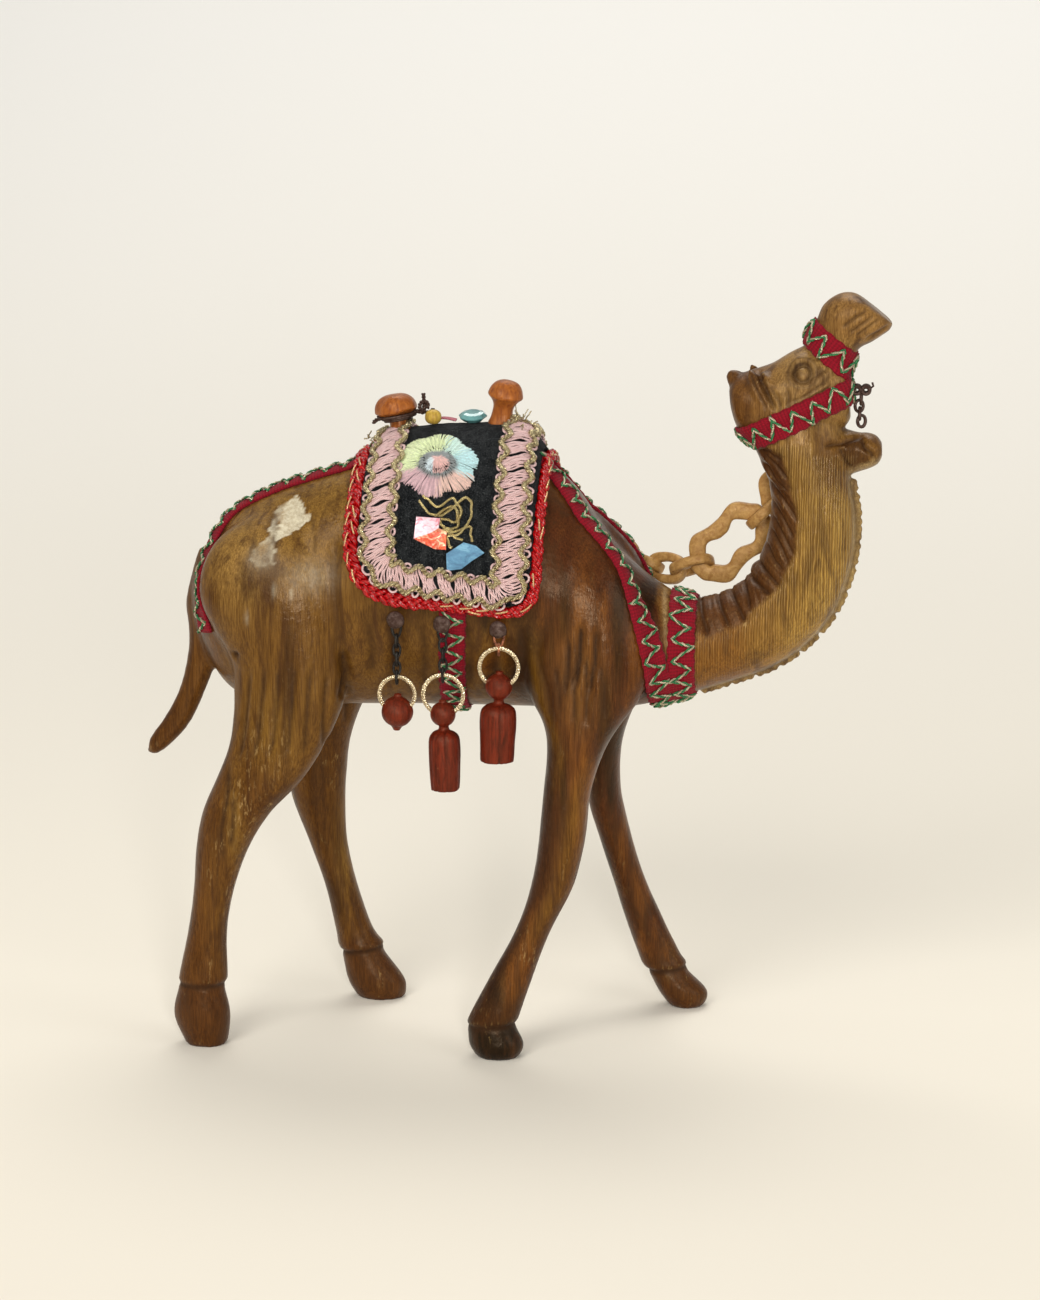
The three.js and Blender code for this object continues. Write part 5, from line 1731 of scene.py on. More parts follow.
def ring_lane(tree: BVHTree, middle: Row, first: Row, second: Row, reach: float,
              arc: Optional[Pair] = None) -> Lane:
    """A lane round a limb, in the plane of two directions.

    Args:
        tree: the skin.
        middle: a place inside the wood.
        first: one direction of the plane.
        second: the other direction.
        reach: how far to each side the skin is measured.
        arc: the first and last angle in degrees where it doesn't go all round.

    Returns:
        The lane.
    """
    start, end = np.radians(arc or (0, 360))
    centre, a, b = Vector(middle), Vector(first).normalized(), Vector(second).normalized()
    points, outward = [], []
    for angle in np.linspace(start, end, 90, endpoint=arc is not None):
        ray = a * math.cos(angle) + b * math.sin(angle)
        hit = tree.ray_cast(centre + ray * 50, -ray, 60)
        if hit[0] is not None:
            points.append(hit[0])
            outward.append(ray * 0.5 + hit[1].normalized() * 0.5)
    return Lane(tree, np.array(points), np.array(outward), reach, arc is None)


def guided_lane(tree: BVHTree, rows: Sequence[Row], reach: float) -> Lane:
    """An open lane through guide points, each laid on the skin.

    Args:
        tree: the skin.
        rows: the guide points.
        reach: how far to each side the skin is measured.

    Returns:
        The lane.
    """
    points, outward = [], []
    for spot in smooth_rows(rows, 8):
        hit = tree.find_nearest(Vector(spot))
        points.append(hit[0])
        outward.append(hit[1])
    return Lane(tree, np.array(points), np.array(outward), reach, False, 8)


@dataclass
class WovenRibbon:
    """A knitted ribbon with a green and a gold thread zigzagging along it."""

    wide: float = 7.0
    thick: float = 0.8
    lift: float = 1.15
    scallop: float = 2.9
    zigzag: float = 5.2
    reach: float = 5.6
    edge_wave: float = 0.045
    edge_drop: float = 0.5
    edge_lift: float = 0.10
    thread: float = 0.29
    thread_turns: float = 3.5
    thread_apart: Pair = (0.26, 0.27)
    mesh_step: float = 0.65

    def sheet(self, lane: Lane) -> Shape:
        """The ribbon itself, closed all round.

        Args:
            lane: where it lies.

        Returns:
            The shape.
        """
        shape = bmesh.new()
        layer = shape.loops.layers.uv.new("UVMap")
        bmesh.ops.create_grid(shape, x_segments=max(8, int(lane.length / self.mesh_step)), y_segments=10,
                              size=0.5, calc_uvs=True)
        for face in shape.faces:
            for loop in face.loops:
                spot = loop[layer].uv
                loop[layer].uv = (spot.x * lane.length, spot.y * self.wide)
        flat = np.array([vert.co[:2] for vert in shape.verts]) + 0.5
        along, beside = flat[:, 0] * lane.length, (flat[:, 1] - 0.5) * self.wide
        rim = np.abs(flat[:, 1] - 0.5) * 2
        waves = np.sin(2 * math.pi * along / self.scallop)
        beside = beside * (1 + self.edge_wave * waves * rim ** 2)
        lift = self.lift - self.edge_drop * rim ** 4 + self.edge_lift * waves * rim ** 2
        lay_on(shape, lane.at(along, beside, lift))
        if lane.closed:
            bmesh.ops.remove_doubles(shape, verts=shape.verts, dist=0.02)
        thicken(shape, self.thick, Vector(lane.points[0]), Vector(lane.normals[0]))
        return shape

    def zigzag_thread(self, lane: Lane, start: float) -> Strand:
        """One of two threads that twist round each other from side to side.

        Args:
            lane: the ribbon's lane.
            start: its place in the twist, in turns; the first lies on top at the corners.

        Returns:
            The strand.
        """
        count = max(2, round(lane.length / self.zigzag))
        turns = np.linspace(0, count, count * 16 + 1)
        if lane.closed:
            turns = turns[:-1]
        wave = np.abs(np.mod(turns, 1) * 2 - 1)
        twist = 2 * math.pi * (self.thread_turns * turns + start + 0.1 * np.sin(turns * 5.1))
        beside = (wave - 0.5) * self.reach * (1 + 0.1 * np.sin(turns * 4.4)) + 0.35 * np.sin(turns * 2.3)
        bow = np.sin(math.pi * wave)
        lift = self.lift + 0.2 + 0.2 * bow - 0.3 * (1 - bow) ** 3 + self.thread_apart[0] * np.cos(twist)
        jitter = 0.35 * np.sin(turns * 7.3) + 0.2 * np.sin(turns * 3.1)
        along = turns / count * lane.length + jitter + self.thread_apart[1] * np.sin(twist)
        return Strand(lane.at(along, beside, lift), self.thread, lane.closed)

    def build(self, lane: Lane, name: str, materials: Sequence[Material], nodes: Sequence[str]) -> None:
        """Writes the ribbon with its threads.

        Args:
            lane: where it lies.
            name: the piece's name.
            materials: cloth, green thread and gold thread.
            nodes: the solids it stands for.
        """
        shape = self.sheet(lane)
        add_strands(shape, [self.zigzag_thread(lane, 0.0)], 0, 1)
        add_strands(shape, [self.zigzag_thread(lane, 0.5)], 0, 2)
        piece_from(shape, name, materials, nodes)


@dataclass
class Ribbons:
    """All the ribbons on the camel."""

    tree: BVHTree
    ribbon: WovenRibbon = field(default_factory=WovenRibbon)
    margin: float = 0.4
    rings: Marks = (
        ("collar_ribbon", (46.2, 0, 108), (0, 0, 1), None),
        ("girth_ribbon", (-12.2, 0, 112), (0.06, 0, 1), (162, 378)),
        ("head_band_ribbon", (73, 0, 168.0), (0.905, 0, 0.426), None),
        ("noseband_ribbon", (81, 0, 186.9), (0.775, 0, -0.632), None),
    )
    breast_near: Rows = ((9.5, -4, 158), (15.6, -6.6, 149.4), (20.6, -9, 142.2), (27.8, -12.6, 130.4),
                         (35.2, -16, 116), (39.6, -16, 104), (41.4, -10, 93))
    breast_far: Rows = ((9.5, 9, 157), (15.4, 11.5, 147), (20.4, 13, 140), (27.6, 15, 128.6),
                        (35.2, 16, 116), (39.6, 16, 104), (41.4, 10, 93))
    haunch: Pair = (-60, 115)

    def __post_init__(self) -> None:
        """Prepares the cloth and the threads."""
        self.materials = [
            RibbonCloth().make(),
            Thread("green_thread", (0.03, 0.27, 0.08), (0.008, 0.06, 0.02), 0.0, 0.6).make(),
            Thread("pale_gold_thread", (0.76, 0.69, 0.50), (0.30, 0.24, 0.12), 0.55, 0.35).make(),
        ]

    def build(self) -> None:
        """Lays every ribbon."""
        reach = self.ribbon.wide / 2 + self.margin
        lanes = {name: ring_lane(self.tree, middle, (0, 1, 0), second, reach, arc)
                 for name, middle, second, arc in self.rings}
        breast = (*self.breast_near, (41.6, 0, 90), *self.breast_far[::-1])
        lanes["breast_ribbon"] = guided_lane(self.tree, breast, reach)
        lanes["crupper_ribbon"] = self.crupper_lane(reach)
        for name, lane in lanes.items():
            self.ribbon.build(lane, name, self.materials, [name])

    def crupper_lane(self, reach: float) -> Lane:
        """Along the spine and down beside the root of the tail.

        Args:
            reach: how far to each side the skin is measured.

        Returns:
            The lane.
        """
        points, outward = [], []
        for share in np.linspace(0, 1, 60):
            angle = math.radians(58 + share * 137)
            ray = Vector((math.cos(angle), 0, math.sin(angle)))
            beside = -1.6 - 10.4 * min(max((share - 0.42) / 0.32, 0), 1)
            hit = self.tree.ray_cast(Vector((self.haunch[0], beside, self.haunch[1])) + ray * 60, -ray, 70)
            if hit[0] is not None:
                points.append(hit[0])
                outward.append(hit[1].normalized() * 0.6 + ray * 0.4)
        return Lane(self.tree, np.array(points), np.array(outward), reach, False, 8)


@dataclass
class Hump:
    """The saddle's seat: the skin by place along the body and angle about its axis."""

    tree: BVHTree
    axis_z: float = 119.0
    rear: float = -47
    front: float = 17
    step: float = 1.0
    turn: float = 3.0
    overhang: float = 12
    ray: float = 60
    bare: float = 22

    def __post_init__(self) -> None:
        """Measures the skin."""
        self.xs = np.arange(self.rear, self.front + 0.1, self.step)
        self.angles = np.radians(np.arange(-self.overhang, 180 + self.overhang + 0.1, self.turn))
        table = np.zeros((len(self.xs), len(self.angles)))
        for i, x in enumerate(self.xs):
            for j, angle in enumerate(self.angles):
                ray = Vector((0, -math.cos(angle), math.sin(angle)))
                hit = self.tree.ray_cast(Vector((x, 0, self.axis_z)) + ray * self.ray, -ray, self.ray)
                table[i, j] = self.ray - hit[3] if hit[0] is not None else self.bare
        table = blurred(table, 3, False)
        self.table = blurred(table.T, 2, False).T

    def spot(self, x: Points, angle: Points, lift: Points = 0.0) -> Points:
        """Places over the skin.

        Args:
            x: place along the body.
            angle: angle about the axis; nought is the near side, a quarter turn is the top.
            lift: distance off the skin.

        Returns:
            One place for each.
        """
        x, angle = np.broadcast_arrays(np.asarray(x, float), np.asarray(angle, float))
        i = np.clip((x - self.xs[0]) / (self.xs[1] - self.xs[0]), 0, len(self.xs) - 1.001)
        j = np.clip((angle - self.angles[0]) / (self.angles[1] - self.angles[0]), 0, len(self.angles) - 1.001)
        a, b = np.floor(i).astype(int), np.floor(j).astype(int)
        s, t = i - a, j - b
        far = (self.table[a, b] * (1 - s) * (1 - t) + self.table[a + 1, b] * s * (1 - t)
               + self.table[a, b + 1] * (1 - s) * t + self.table[a + 1, b + 1] * s * t) + lift
        return np.stack([x, -np.cos(angle) * far, self.axis_z + np.sin(angle) * far], axis=-1)

    def normal(self, x: Points, angle: Points) -> Points:
        """Directions away from the skin.

        Args:
            x: place along the body.
            angle: angle about the axis.

        Returns:
            One direction for each.
        """
        along = self.spot(x + 1.5, angle) - self.spot(x - 1.5, angle)
        about = self.spot(x, angle + 0.06) - self.spot(x, angle - 0.06)
        return unit(np.cross(along, about))

    def angle_at(self, x: float, z: float) -> float:
        """The angle at which the near side has a height.

        Args:
            x: place along the body.
            z: the height.

        Returns:
            The angle.
        """
        angles = np.radians(np.arange(-self.overhang, 90.1, 1.0))
        heights = self.spot(np.full(len(angles), x), angles)[:, 2]
        return float(np.interp(z, np.maximum.accumulate(heights), angles))

    def on_side(self, x: Points, z: Points, lift: Any) -> Points:
        """Places over the near flank, from the side view."""
        angles = np.array([self.angle_at(a, b) for a, b in zip(x, z)])
        return self.spot(x, angles) + self.normal(np.asarray(x, float), angles) * np.reshape(lift, (-1, 1))


@dataclass
class SaddleEdge:
    """The saddle's outline in the side view, as on the solid."""

    rear: float = -40.3
    front: float = 11
    rear_low: float = 121.9
    front_low: float = 116.9
    waist: float = 138
    lean: float = 3
    top: float = 182
    rear_round: float = 15
    front_round: float = 11

    def line(self, rear: float, front: float, low: float) -> list[Pair]:
        """The outline of one side from the rear top to the front top.

        Args:
            rear: how far it is inset at the rear.
            front: how far at the front.
            low: how far below.

        Returns:
            Its points, x and z.
        """
        left, right = self.rear + rear, self.front - front
        left_low, right_low = self.rear_low + low, self.front_low + low
        left_round, right_round = max(self.rear_round - rear, 4), max(self.front_round - front, 4)
        fall = (right_low - left_low) / (right - left)
        points = [(left + self.lean * t, self.waist + (self.top - self.waist) * t) for t in np.linspace(1, 0, 40)]
        corners = (((left, left_low + left_round), (left, left_low), (left + left_round, left_low + left_round * fall)),
                   ((right - right_round, right_low - right_round * fall), (right, right_low),
                    (right, right_low + right_round)))
        for a, b, c in corners:
            for t in np.linspace(0, 1, 9):
                points.append(tuple((1 - t) ** 2 * a[k] + 2 * t * (1 - t) * b[k] + t * t * c[k] for k in (0, 1)))
        points += [(right, z) for z in np.linspace(right_low + right_round, self.top, 50)[1:]]
        return points

    def lane(self, hump: Hump, inset: Row, reach: float) -> Lane:
        """A lane round the whole saddle, on both sides and over the top.

        Args:
            hump: the saddle's seat.
            inset: how far it runs inside the edge at the rear, at the front and below.
            reach: how far to each side the skin is measured.

        Returns:
            The lane.
        """
        near = [(x, hump.angle_at(x, z)) for x, z in self.line(*inset)]
        near = [spot for i, spot in enumerate(near) if i == 0 or spot != near[i - 1]]
        near = [spot for spot in near if spot[1] < math.radians(89.5)]
        far = [(x, math.pi - angle) for x, angle in reversed(near)]
        x, angle = np.array(near + far).T
        return Lane(hump.tree, hump.spot(x, angle), hump.normal(x, angle), reach, True, 3)


@dataclass
class Saddle:
    """Velvet cloth with a looped gimp and a red plait round it."""

    hump: Hump
    cloth_inset: Row = (4.0, 2.6, 3.2)
    cloth_lift: float = 1.3
    cloth_thick: float = 0.9
    gimp_inset: Row = (9.3, 8.0, 7.1)
    gimp_wide: float = 9.0
    gimp_low_wide: float = 7.4
    gimp_lift: float = 0.3
    bundle_pitch: float = 4.4
    bundle_threads: int = 11
    thread_pitch: float = 0.43
    thread: float = 0.25
    wave_pitch: float = 5.5
    wave_high: float = 0.95
    cord_pitch: float = 1.7
    cord_twist: float = 0.44
    cord: float = 0.48
    loop_pitch: float = 2.7
    loop_thread: float = 0.34
    plait_inset: Row = (2.1, 1.4, 1.5)
    plait_pitch: float = 7.4
    plait_wide: float = 4.2
    plait_narrow: float = 2.9
    plait_strand: float = 0.64
    strand_pitch: float = 11.0
    dash_pitch: float = 4.6
    dash_half: float = 1.55
    dash_gaps: float = 0.4
    wisp_starts: Marks = (((3.5, -1.5, 165.6), 16, 6.0), ((2.6, -6.0, 163.5), 7, 3.5),
                          ((-36.5, -2, 160.8), 7, 3.5))

    def __post_init__(self) -> None:
        """Takes the outline and starts the random draws."""
        self.edge = SaddleEdge()
        self.random = random.Random(7)

    def build(self) -> None:
        """Makes the cloth, the gimp and the plait."""
        self.build_cloth()
        self.build_gimp()
        self.build_plait()

    def build_cloth(self) -> None:
        """The black pile cloth over the hump."""
        line = self.edge.line(*self.cloth_inset)
        angles = [self.hump.angle_at(x, z) for x, z in line]
        foot = np.argmin(angles)
        rear_x = [x for x, _ in line[:foot + 1]][::-1]
        rear_angle = np.maximum.accumulate(angles[:foot + 1][::-1])
        front_x = [x for x, _ in line[foot:]]
        front_angle = np.maximum.accumulate(angles[foot:])
        low = float(min(angles)) + 0.004
        shape = bmesh.new()
        bmesh.ops.create_grid(shape, x_segments=70, y_segments=150, size=0.5)
        flat = np.array([vert.co[:2] for vert in shape.verts]) + 0.5
        angle = low + flat[:, 1] * (math.pi - 2 * low)
        near = np.minimum(angle, math.pi - angle)
        start = np.interp(near, rear_angle, rear_x)
        end = np.interp(near, front_angle, front_x)
        x = start + (end - start) * flat[:, 0]
        spots = self.hump.spot(x, angle)
        rough = 0.10 * cloudy(spots, (1.1, 1.1, 1.1), 5) + 0.16 * cloudy(spots, (5, 5, 5), 6)
        lay_on(shape, spots + self.hump.normal(x, angle) * (self.cloth_lift + rough)[:, None])
        thicken(shape, self.cloth_thick, Vector((-15, 0, 165)), Vector((0, 0, 1)))
        piece_from(shape, "saddle_cloth", [Velvet().make()], ["saddle_cloth"])

    def width(self, lane: Lane, along: Points) -> Points:
        """The gimp's width, smaller where it runs along the bottom.

        Args:
            lane: the gimp's lane.
            along: distances along it.

        Returns:
            A width for each distance.
        """
        count = len(lane.points)
        index = np.mod(np.floor(along / lane.length * count).astype(int), count)
        down = blurred(np.abs(lane.across[:, 2:3]), 8, True)[index, 0]
        return self.gimp_wide + (self.gimp_low_wide - self.gimp_wide) * down ** 2

    def build_gimp(self) -> None:
        """Pink bundles between wavy gold cords, with small loops outside."""
        lane = self.edge.lane(self.hump, self.gimp_inset, 5.6)
        pink, gold = self.bundles(lane), []
        for row in (-1, 1):
            gold += self.cords(lane, row)
            pink += self.loops(lane, row)
        shape = bmesh.new()
        add_strands(shape, pink, 0, 0)
        add_strands(shape, gold, 0, 1)
        add_strands(shape, self.wisps(), 0, 1)
        materials = [Thread("pink_yarn", (0.92, 0.69, 0.66), (0.58, 0.33, 0.32), 0.0, 0.75).make(),
                     Thread("gold_cord", (0.98, 0.86, 0.52), (0.15, 0.09, 0.02), 0.75, 0.24, 1.6, (0.15, 0.6)).make()]
        piece_from(shape, "gimp_braid", materials, ["gimp_braid"])

    def bundles(self, lane: Lane) -> list[Strand]:
        """Pink threads across the gimp, drawn together in bundles.

        Args:
            lane: the gimp's lane.

        Returns:
            The threads.
        """
        made = []
        count = round(lane.length / self.bundle_pitch)
        for i in range(count):
            middle = (i + 0.5) / count * lane.length
            wide = float(self.width(lane, np.array([middle]))[0])
            beside = np.linspace(-0.5, 0.5, 9) * (wide - 1.6)
            bend = np.cos(math.pi * beside / wide)
            lean = 0.30 + 0.12 * self.random.random()
            squeeze = self.random.uniform(0.12, 0.36)
            for k in range(-(self.bundle_threads // 2), self.bundle_threads // 2 + 1):
                wave = 0.22 * np.sin(beside * 1.3 + self.random.uniform(0, 6))
                along = middle + k * self.thread_pitch * (1 - squeeze * bend) + lean * beside + wave
                rise = 0.35 + 0.5 * bend + 0.16 * self.random.uniform(-1, 1) - 0.012 * k * k
                made.append(Strand(lane.at(along, beside, self.cloth_lift + self.gimp_lift + rise), self.thread))
        return made

    def cords(self, lane: Lane, row: int) -> list[Strand]:
        """A wavy cord of two gold strands along one edge of the gimp.

        Args:
            lane: the gimp's lane.
            row: -1 or 1, for one edge or the other.

        Returns:
            The strands.
        """
        waves = round(lane.length / self.wave_pitch)
        turns = np.linspace(0, waves, waves * 20, endpoint=False)
        along = turns / waves * lane.length
        middle = row * (self.width(lane, along) / 2 - 0.9)
        made = []
        for start in (0, math.pi):
            twist = 2 * math.pi * along / self.cord_pitch + start
            beside = middle + self.wave_high * np.sin(2 * math.pi * turns) + self.cord_twist * np.cos(twist)
            lift = self.cloth_lift + self.gimp_lift + 1.2 + self.cord_twist * np.sin(twist)
            made.append(Strand(lane.at(along, beside, lift), self.cord, True))
        return made

    def loops(self, lane: Lane, row: int) -> list[Strand]:
        """Small pink loops beyond one edge of the gimp, larger where it looks outwards.

        Args:
            lane: the gimp's lane.
            row: -1 or 1, for one edge or the other.

        Returns:
            The loops.
        """
        away = 1 if ((lane.points - lane.points.mean(axis=0)) * lane.across).sum() > 0 else -1
        turn = np.linspace(-0.3, math.pi + 0.3, 8)
        made = []
        count = round(lane.length / self.loop_pitch)
        for i in range(count):
            spot = (i + self.random.uniform(0.3, 0.7)) / count * lane.length
            reach = 1.0 + 0.4 * self.random.random() if row == away else 0.7
            along = spot + 0.85 * np.cos(turn)
            half = self.width(lane, along) / 2 - 0.6
            beside = row * (half + reach * np.clip(np.sin(turn), 0, 1))
            lift = self.cloth_lift + self.gimp_lift + 0.45 + 0.3 * np.sin(turn)
            made.append(Strand(lane.at(along, beside, lift), self.loop_thread))
        return made

    def wisps(self) -> list[Strand]:
        """Frayed gold ends at the front top and the rear top.

        Returns:
            The ends.
        """
        made = []
        for start, count, spread in self.wisp_starts:
            for _ in range(count):
                line = [np.array(start) + np.array([self.random.uniform(-1, 1) for _ in range(3)])]
                step = np.array([self.random.uniform(-0.4, 1), self.random.uniform(-0.5, 0.5),
                                 self.random.uniform(-0.2, 0.6)])
                for _ in range(6):
                    step = step * 0.75 + 0.35 * np.array([self.random.uniform(-1, 1) for _ in range(3)])
                    line.append(line[-1] + step * spread / 6)
                made.append(Strand(np.array(line), 0.17))
        return made

    def build_plait(self) -> None:
        """The red satin plait outside the gimp, with gold flecks."""
        lane = self.edge.lane(self.hump, self.plait_inset, 3.6)
        count = round(lane.length / self.plait_pitch)
        turns = np.linspace(0, count, count * 22, endpoint=False)
        along = turns / count * lane.length
        rearward = np.interp(along, np.linspace(0, lane.length, len(lane.points)), lane.points[:, 0])
        wide = np.where(rearward < -20, self.plait_wide, self.plait_narrow)
        wide = blurred(wide[:, None], 60, True)[:, 0]
        red, flecks = [], []
        for strand in range(3):
            phase = 2 * math.pi * (turns + strand / 3)
            for thread in range(2):
                turn = 2 * math.pi * (along / self.strand_pitch + thread / 2)
                beside = (wide / 2 - 0.75) * np.sin(phase) + 0.36 * np.cos(turn)
                lift = 1.25 + 0.5 * np.sin(2 * phase) + 0.34 * np.sin(turn)
                red.append(Strand(lane.at(along, beside, lift), self.plait_strand, True))
        dashes = round(lane.length / self.dash_pitch)
        for row in (-1, 1):
            for i in range(dashes):
                if self.random.random() < self.dash_gaps:
                    continue
                middle = (i + 0.25 * row + self.random.uniform(-0.1, 0.1)) / dashes * lane.length
                spots = middle + np.linspace(-self.dash_half, self.dash_half, 7)
                room = np.interp(middle, along, wide) / 2 - 0.55
                beside = row * room * np.linspace(0.25, 0.85, 7)
                lift = 2.5 + 0.18 * np.cos(np.linspace(-1.5, 1.5, 7)) - 0.25 * np.linspace(0, 1, 7) ** 2
                flecks.append(Strand(lane.at(spots, beside, lift), self.thread))
        shape = bmesh.new()
        add_strands(shape, red, 1, 0)
        add_strands(shape, flecks, 0, 1)
        materials = [Thread("red_satin", (0.56, 0.004, 0.006), (0.16, 0.001, 0.002), 0.0, 0.2, 0.5).make(),
                     Thread("gold_fleck", (0.98, 0.70, 0.38), (0.6, 0.30, 0.10), 0.5, 0.22).make()]
        piece_from(shape, "red_braid", materials, ["red_braid"])


@dataclass
class Patches:
    """Embroidered flower, gold scrolls and shiny chips on both sides of the cloth."""

    hump: Hump
    lift: float = 1.35
    flower: Pair = (-16.6, 156.2)
    flower_size: Pair = (10.9, 6.9)
    thread: float = 0.125
    stitch_rings: Rows = ((640, 0.44, 1.0, 0.35), (150, 0.29, 0.48, 0.62), (90, 0.0, 0.31, 0.75))
    scroll_thread: float = 0.42
    scroll_lines: Lines = (
        ((-19.5, 148), (-15.5, 145.5), (-12.4, 147.4), (-9.5, 145), (-11, 142), (-14.8, 142.6), (-12.2, 139.4),
         (-7.6, 140.8), (-6.8, 137)),
        ((-20.6, 146.6), (-17, 143.6), (-13.2, 144.2), (-8.6, 147.6), (-7.0, 144.2), (-9.6, 139.4),
         (-13.4, 138.2), (-11.6, 135.8)),
        ((-16.2, 143.2), (-12, 145.6), (-10.4, 141), (-14, 140), (-9, 137.6)),
    )
    foil: Outline = ((-21.0, 143), (-14.9, 142.8), (-15.2, 140.4), (-13.2, 139.6), (-13.2, 135.2),
                     (-16.2, 135.3), (-21.5, 137.7))
    foil_high: float = 1.0
    blue: Outline = ((-13.2, 134.2), (-13, 130), (-9.3, 130.5), (-6.7, 132.5), (-3.4, 134.6), (-5.6, 136.3),
                     (-8.8, 137.1))
    blue_high: float = 0.7
    facet_inset: float = 1.1
    chip_thick: float = 0.25

    def __post_init__(self) -> None:
        """Starts the random draws."""
        self.random = random.Random(3)

    def build(self) -> None:
        """Makes them."""
        floss = TintedFloss().make()
        gold = Thread("gold_scroll", (0.98, 0.84, 0.42), (0.22, 0.13, 0.02), 0.75, 0.24, 1.6, (0.15, 0.6)).make()
        foil = [Flake("pink_foil", (0.55, 0.10, 0.14), (0.80, 0.52, 0.58), (0.84, 0.72, 0.78), 0.2, 0.2).make(),
                Flake("orange_foil", (0.85, 0.15, 0.03), (0.55, 0.03, 0.01), (0.95, 0.58, 0.34), 0.18, 0.3).make()]
        blue = [Flake("blue_foil", (0.055, 0.16, 0.27), (0.085, 0.24, 0.38), (0.17, 0.38, 0.52), 0.5, 0.1, 0.2).make()]
        for side, label in ((Side.NEAR, "near"), (Side.FAR, "far")):
            self.build_flower(side, label, [floss, gold])
            self.build_chip(side, f"foil_chip_{label}", self.foil, self.foil_high, foil)
            self.build_chip(side, f"blue_chip_{label}", self.blue, self.blue_high, blue)

    def lay(self, side: Side, x: Points, z: Points, lift: Any) -> Points:
        """Places over the cloth on one side.

        Args:
            side: the side.
            x: places along the body.
            z: heights.
            lift: distance off the cloth.

        Returns:
            One place for each.
        """
        spots = self.hump.on_side(np.asarray(x, float), np.asarray(z, float), np.asarray(lift, float) + self.lift)
        spots[:, 1] *= -side.value
        return spots

    def build_flower(self, side: Side, label: str, materials: Sequence[Material]) -> None:
        """Radial stitches in three rings, with scroll threads under them.

        Args:
            side: the side it is on.
            label: the side's word in the name.
            materials: floss and gold thread.
        """
        threads = []
        wide, high = self.flower_size
        for count, start, end, height in self.stitch_rings:
            for i in range(count):
                angle = 2 * math.pi * (i + self.random.random() * 0.6) / count
                lobe = 0.83 + 0.19 * abs(math.sin(3 * angle + 0.5)) ** 0.7 if end == 1 else 1
                far = end * lobe * (1 - 0.07 * self.random.random())
                near = start * (1 + 0.5 * self.random.random() ** 2)
                turn = angle + self.random.uniform(-0.09, 0.09)
                share = np.linspace(near, far, 5)
                lift = height + 0.28 * np.sin(math.pi * (share - near) / max(far - near, 0.01))
                lift += 0.14 * self.random.random()
                x = self.flower[0] + wide * share * np.cos(angle + (turn - angle) * share)
                z = self.flower[1] + high * share * np.sin(angle + (turn - angle) * share) - 1.9 * share ** 2
                threads.append(Strand(self.lay(side, x, z, lift), self.thread))
        shape = bmesh.new()
        add_strands(shape, threads, 0, 0)
        add_strands(shape, self.scrolls(side), 0, 1)
        paint = shape.verts.layers.float_color.new("floss")
        for vert in shape.verts:
            vert[paint] = (*self.petal_colour(vert.co.x, vert.co.z), 1)
        piece_from(shape, f"flower_{label}", materials, [f"flower_{label}"])

    def petal_colour(self, x: float, z: float) -> Colour:
        """The floss colour at a place of the flower.

        Args:
            x: the place along the body.
            z: its height.

        Returns:
            The colour.
        """
        dx, dz = (x - self.flower[0]) / self.flower_size[0], (z - self.flower[1]) / self.flower_size[1]
        far, angle = math.hypot(dx, dz), math.degrees(math.atan2(dz, dx)) % 360
        shade = 1 + 0.30 * math.sin(1.3 * angle + 4 * far) * math.cos(0.47 * angle + 7 * far)
        angle += 7 * math.sin(29 * far + angle)
        if far < 0.29:
            colour = (0.62, 0.72, 0.76) if dx < -0.10 else (0.72, 0.42, 0.38)
        elif far < 0.46:
            colour = (0.22, 0.25, 0.25)
        elif angle < 75 or angle > 335:
            colour = (0.46, 0.72, 0.74) if angle > 335 or angle < 40 else (0.58, 0.80, 0.70)
        elif angle < 195:
            colour = (0.68, 0.78, 0.42)
        else:
            colour = (0.62, 0.39, 0.42) if angle < 275 else (0.72, 0.48, 0.40)
        return tuple(min(part * shade * 1.08, 1) for part in colour)

    def scrolls(self, side: Side) -> list[Strand]:
        """Curling gold threads between the flower and the chips.

        Args:
            side: the side they are on.

        Returns:
            The threads.
        """
        made = []
        for line in self.scroll_lines:
            points = smooth_rows(line, 9)
            wobble = 0.35 * cloudy(np.column_stack([points, np.zeros(len(points))]), (1.2, 1.2, 1.2), 9)
            lift = 0.45 + 0.25 * np.sin(np.linspace(0, 20, len(points)))
            made.append(Strand(self.lay(side, points[:, 0] + wobble, points[:, 1] + wobble, lift),
                               self.scroll_thread))
        return made

    def build_chip(self, side: Side, name: str, edge: Sequence[Pair], high: float,
                   materials: Sequence[Material]) -> None:
        """A chip with broken facets.

        Args:
            side: the side it is on.
            name: the piece's name.
            edge: its outline in the side view.
            high: how far the facets stand out.
            materials: one or two foils.
        """
        shape = bmesh.new()
        x, z = np.array(edge).T
        ring = [shape.verts.new(spot) for spot in self.lay(side, x, z, 0.15)]
        face = shape.faces.new(ring)
        bmesh.ops.inset_region(shape, faces=[face], thickness=self.facet_inset, depth=0)
        poked = bmesh.ops.poke(shape, faces=[face], offset=0, center_mode="MEAN_WEIGHTED")
        out = Vector((0, side.value, 0.15))
        # The points and faces are taken in a fixed order, so each run draws the same facets
        inner = dict.fromkeys(vert for item in poked["faces"] for vert in item.verts)
        for vert in inner:
            vert.co += out * (high * (0.55 + 0.6 * self.random.random()))
        middle = sum(z) / len(z)
        thicken(shape, self.chip_thick, ring[0].co.copy(), out)
        bmesh.ops.triangulate(shape, faces=shape.faces)
        for item in sorted(shape.faces, key=lambda face: [round(place, 3) for place in face.calc_center_median()]):
            lower = item.calc_center_median().z < middle + self.random.uniform(-0.6, 1.4)
            item.material_index = int(lower and len(materials) > 1)
        piece_from(shape, name, materials, [name], smooth=False)


# Hanging beads, knobs and chains


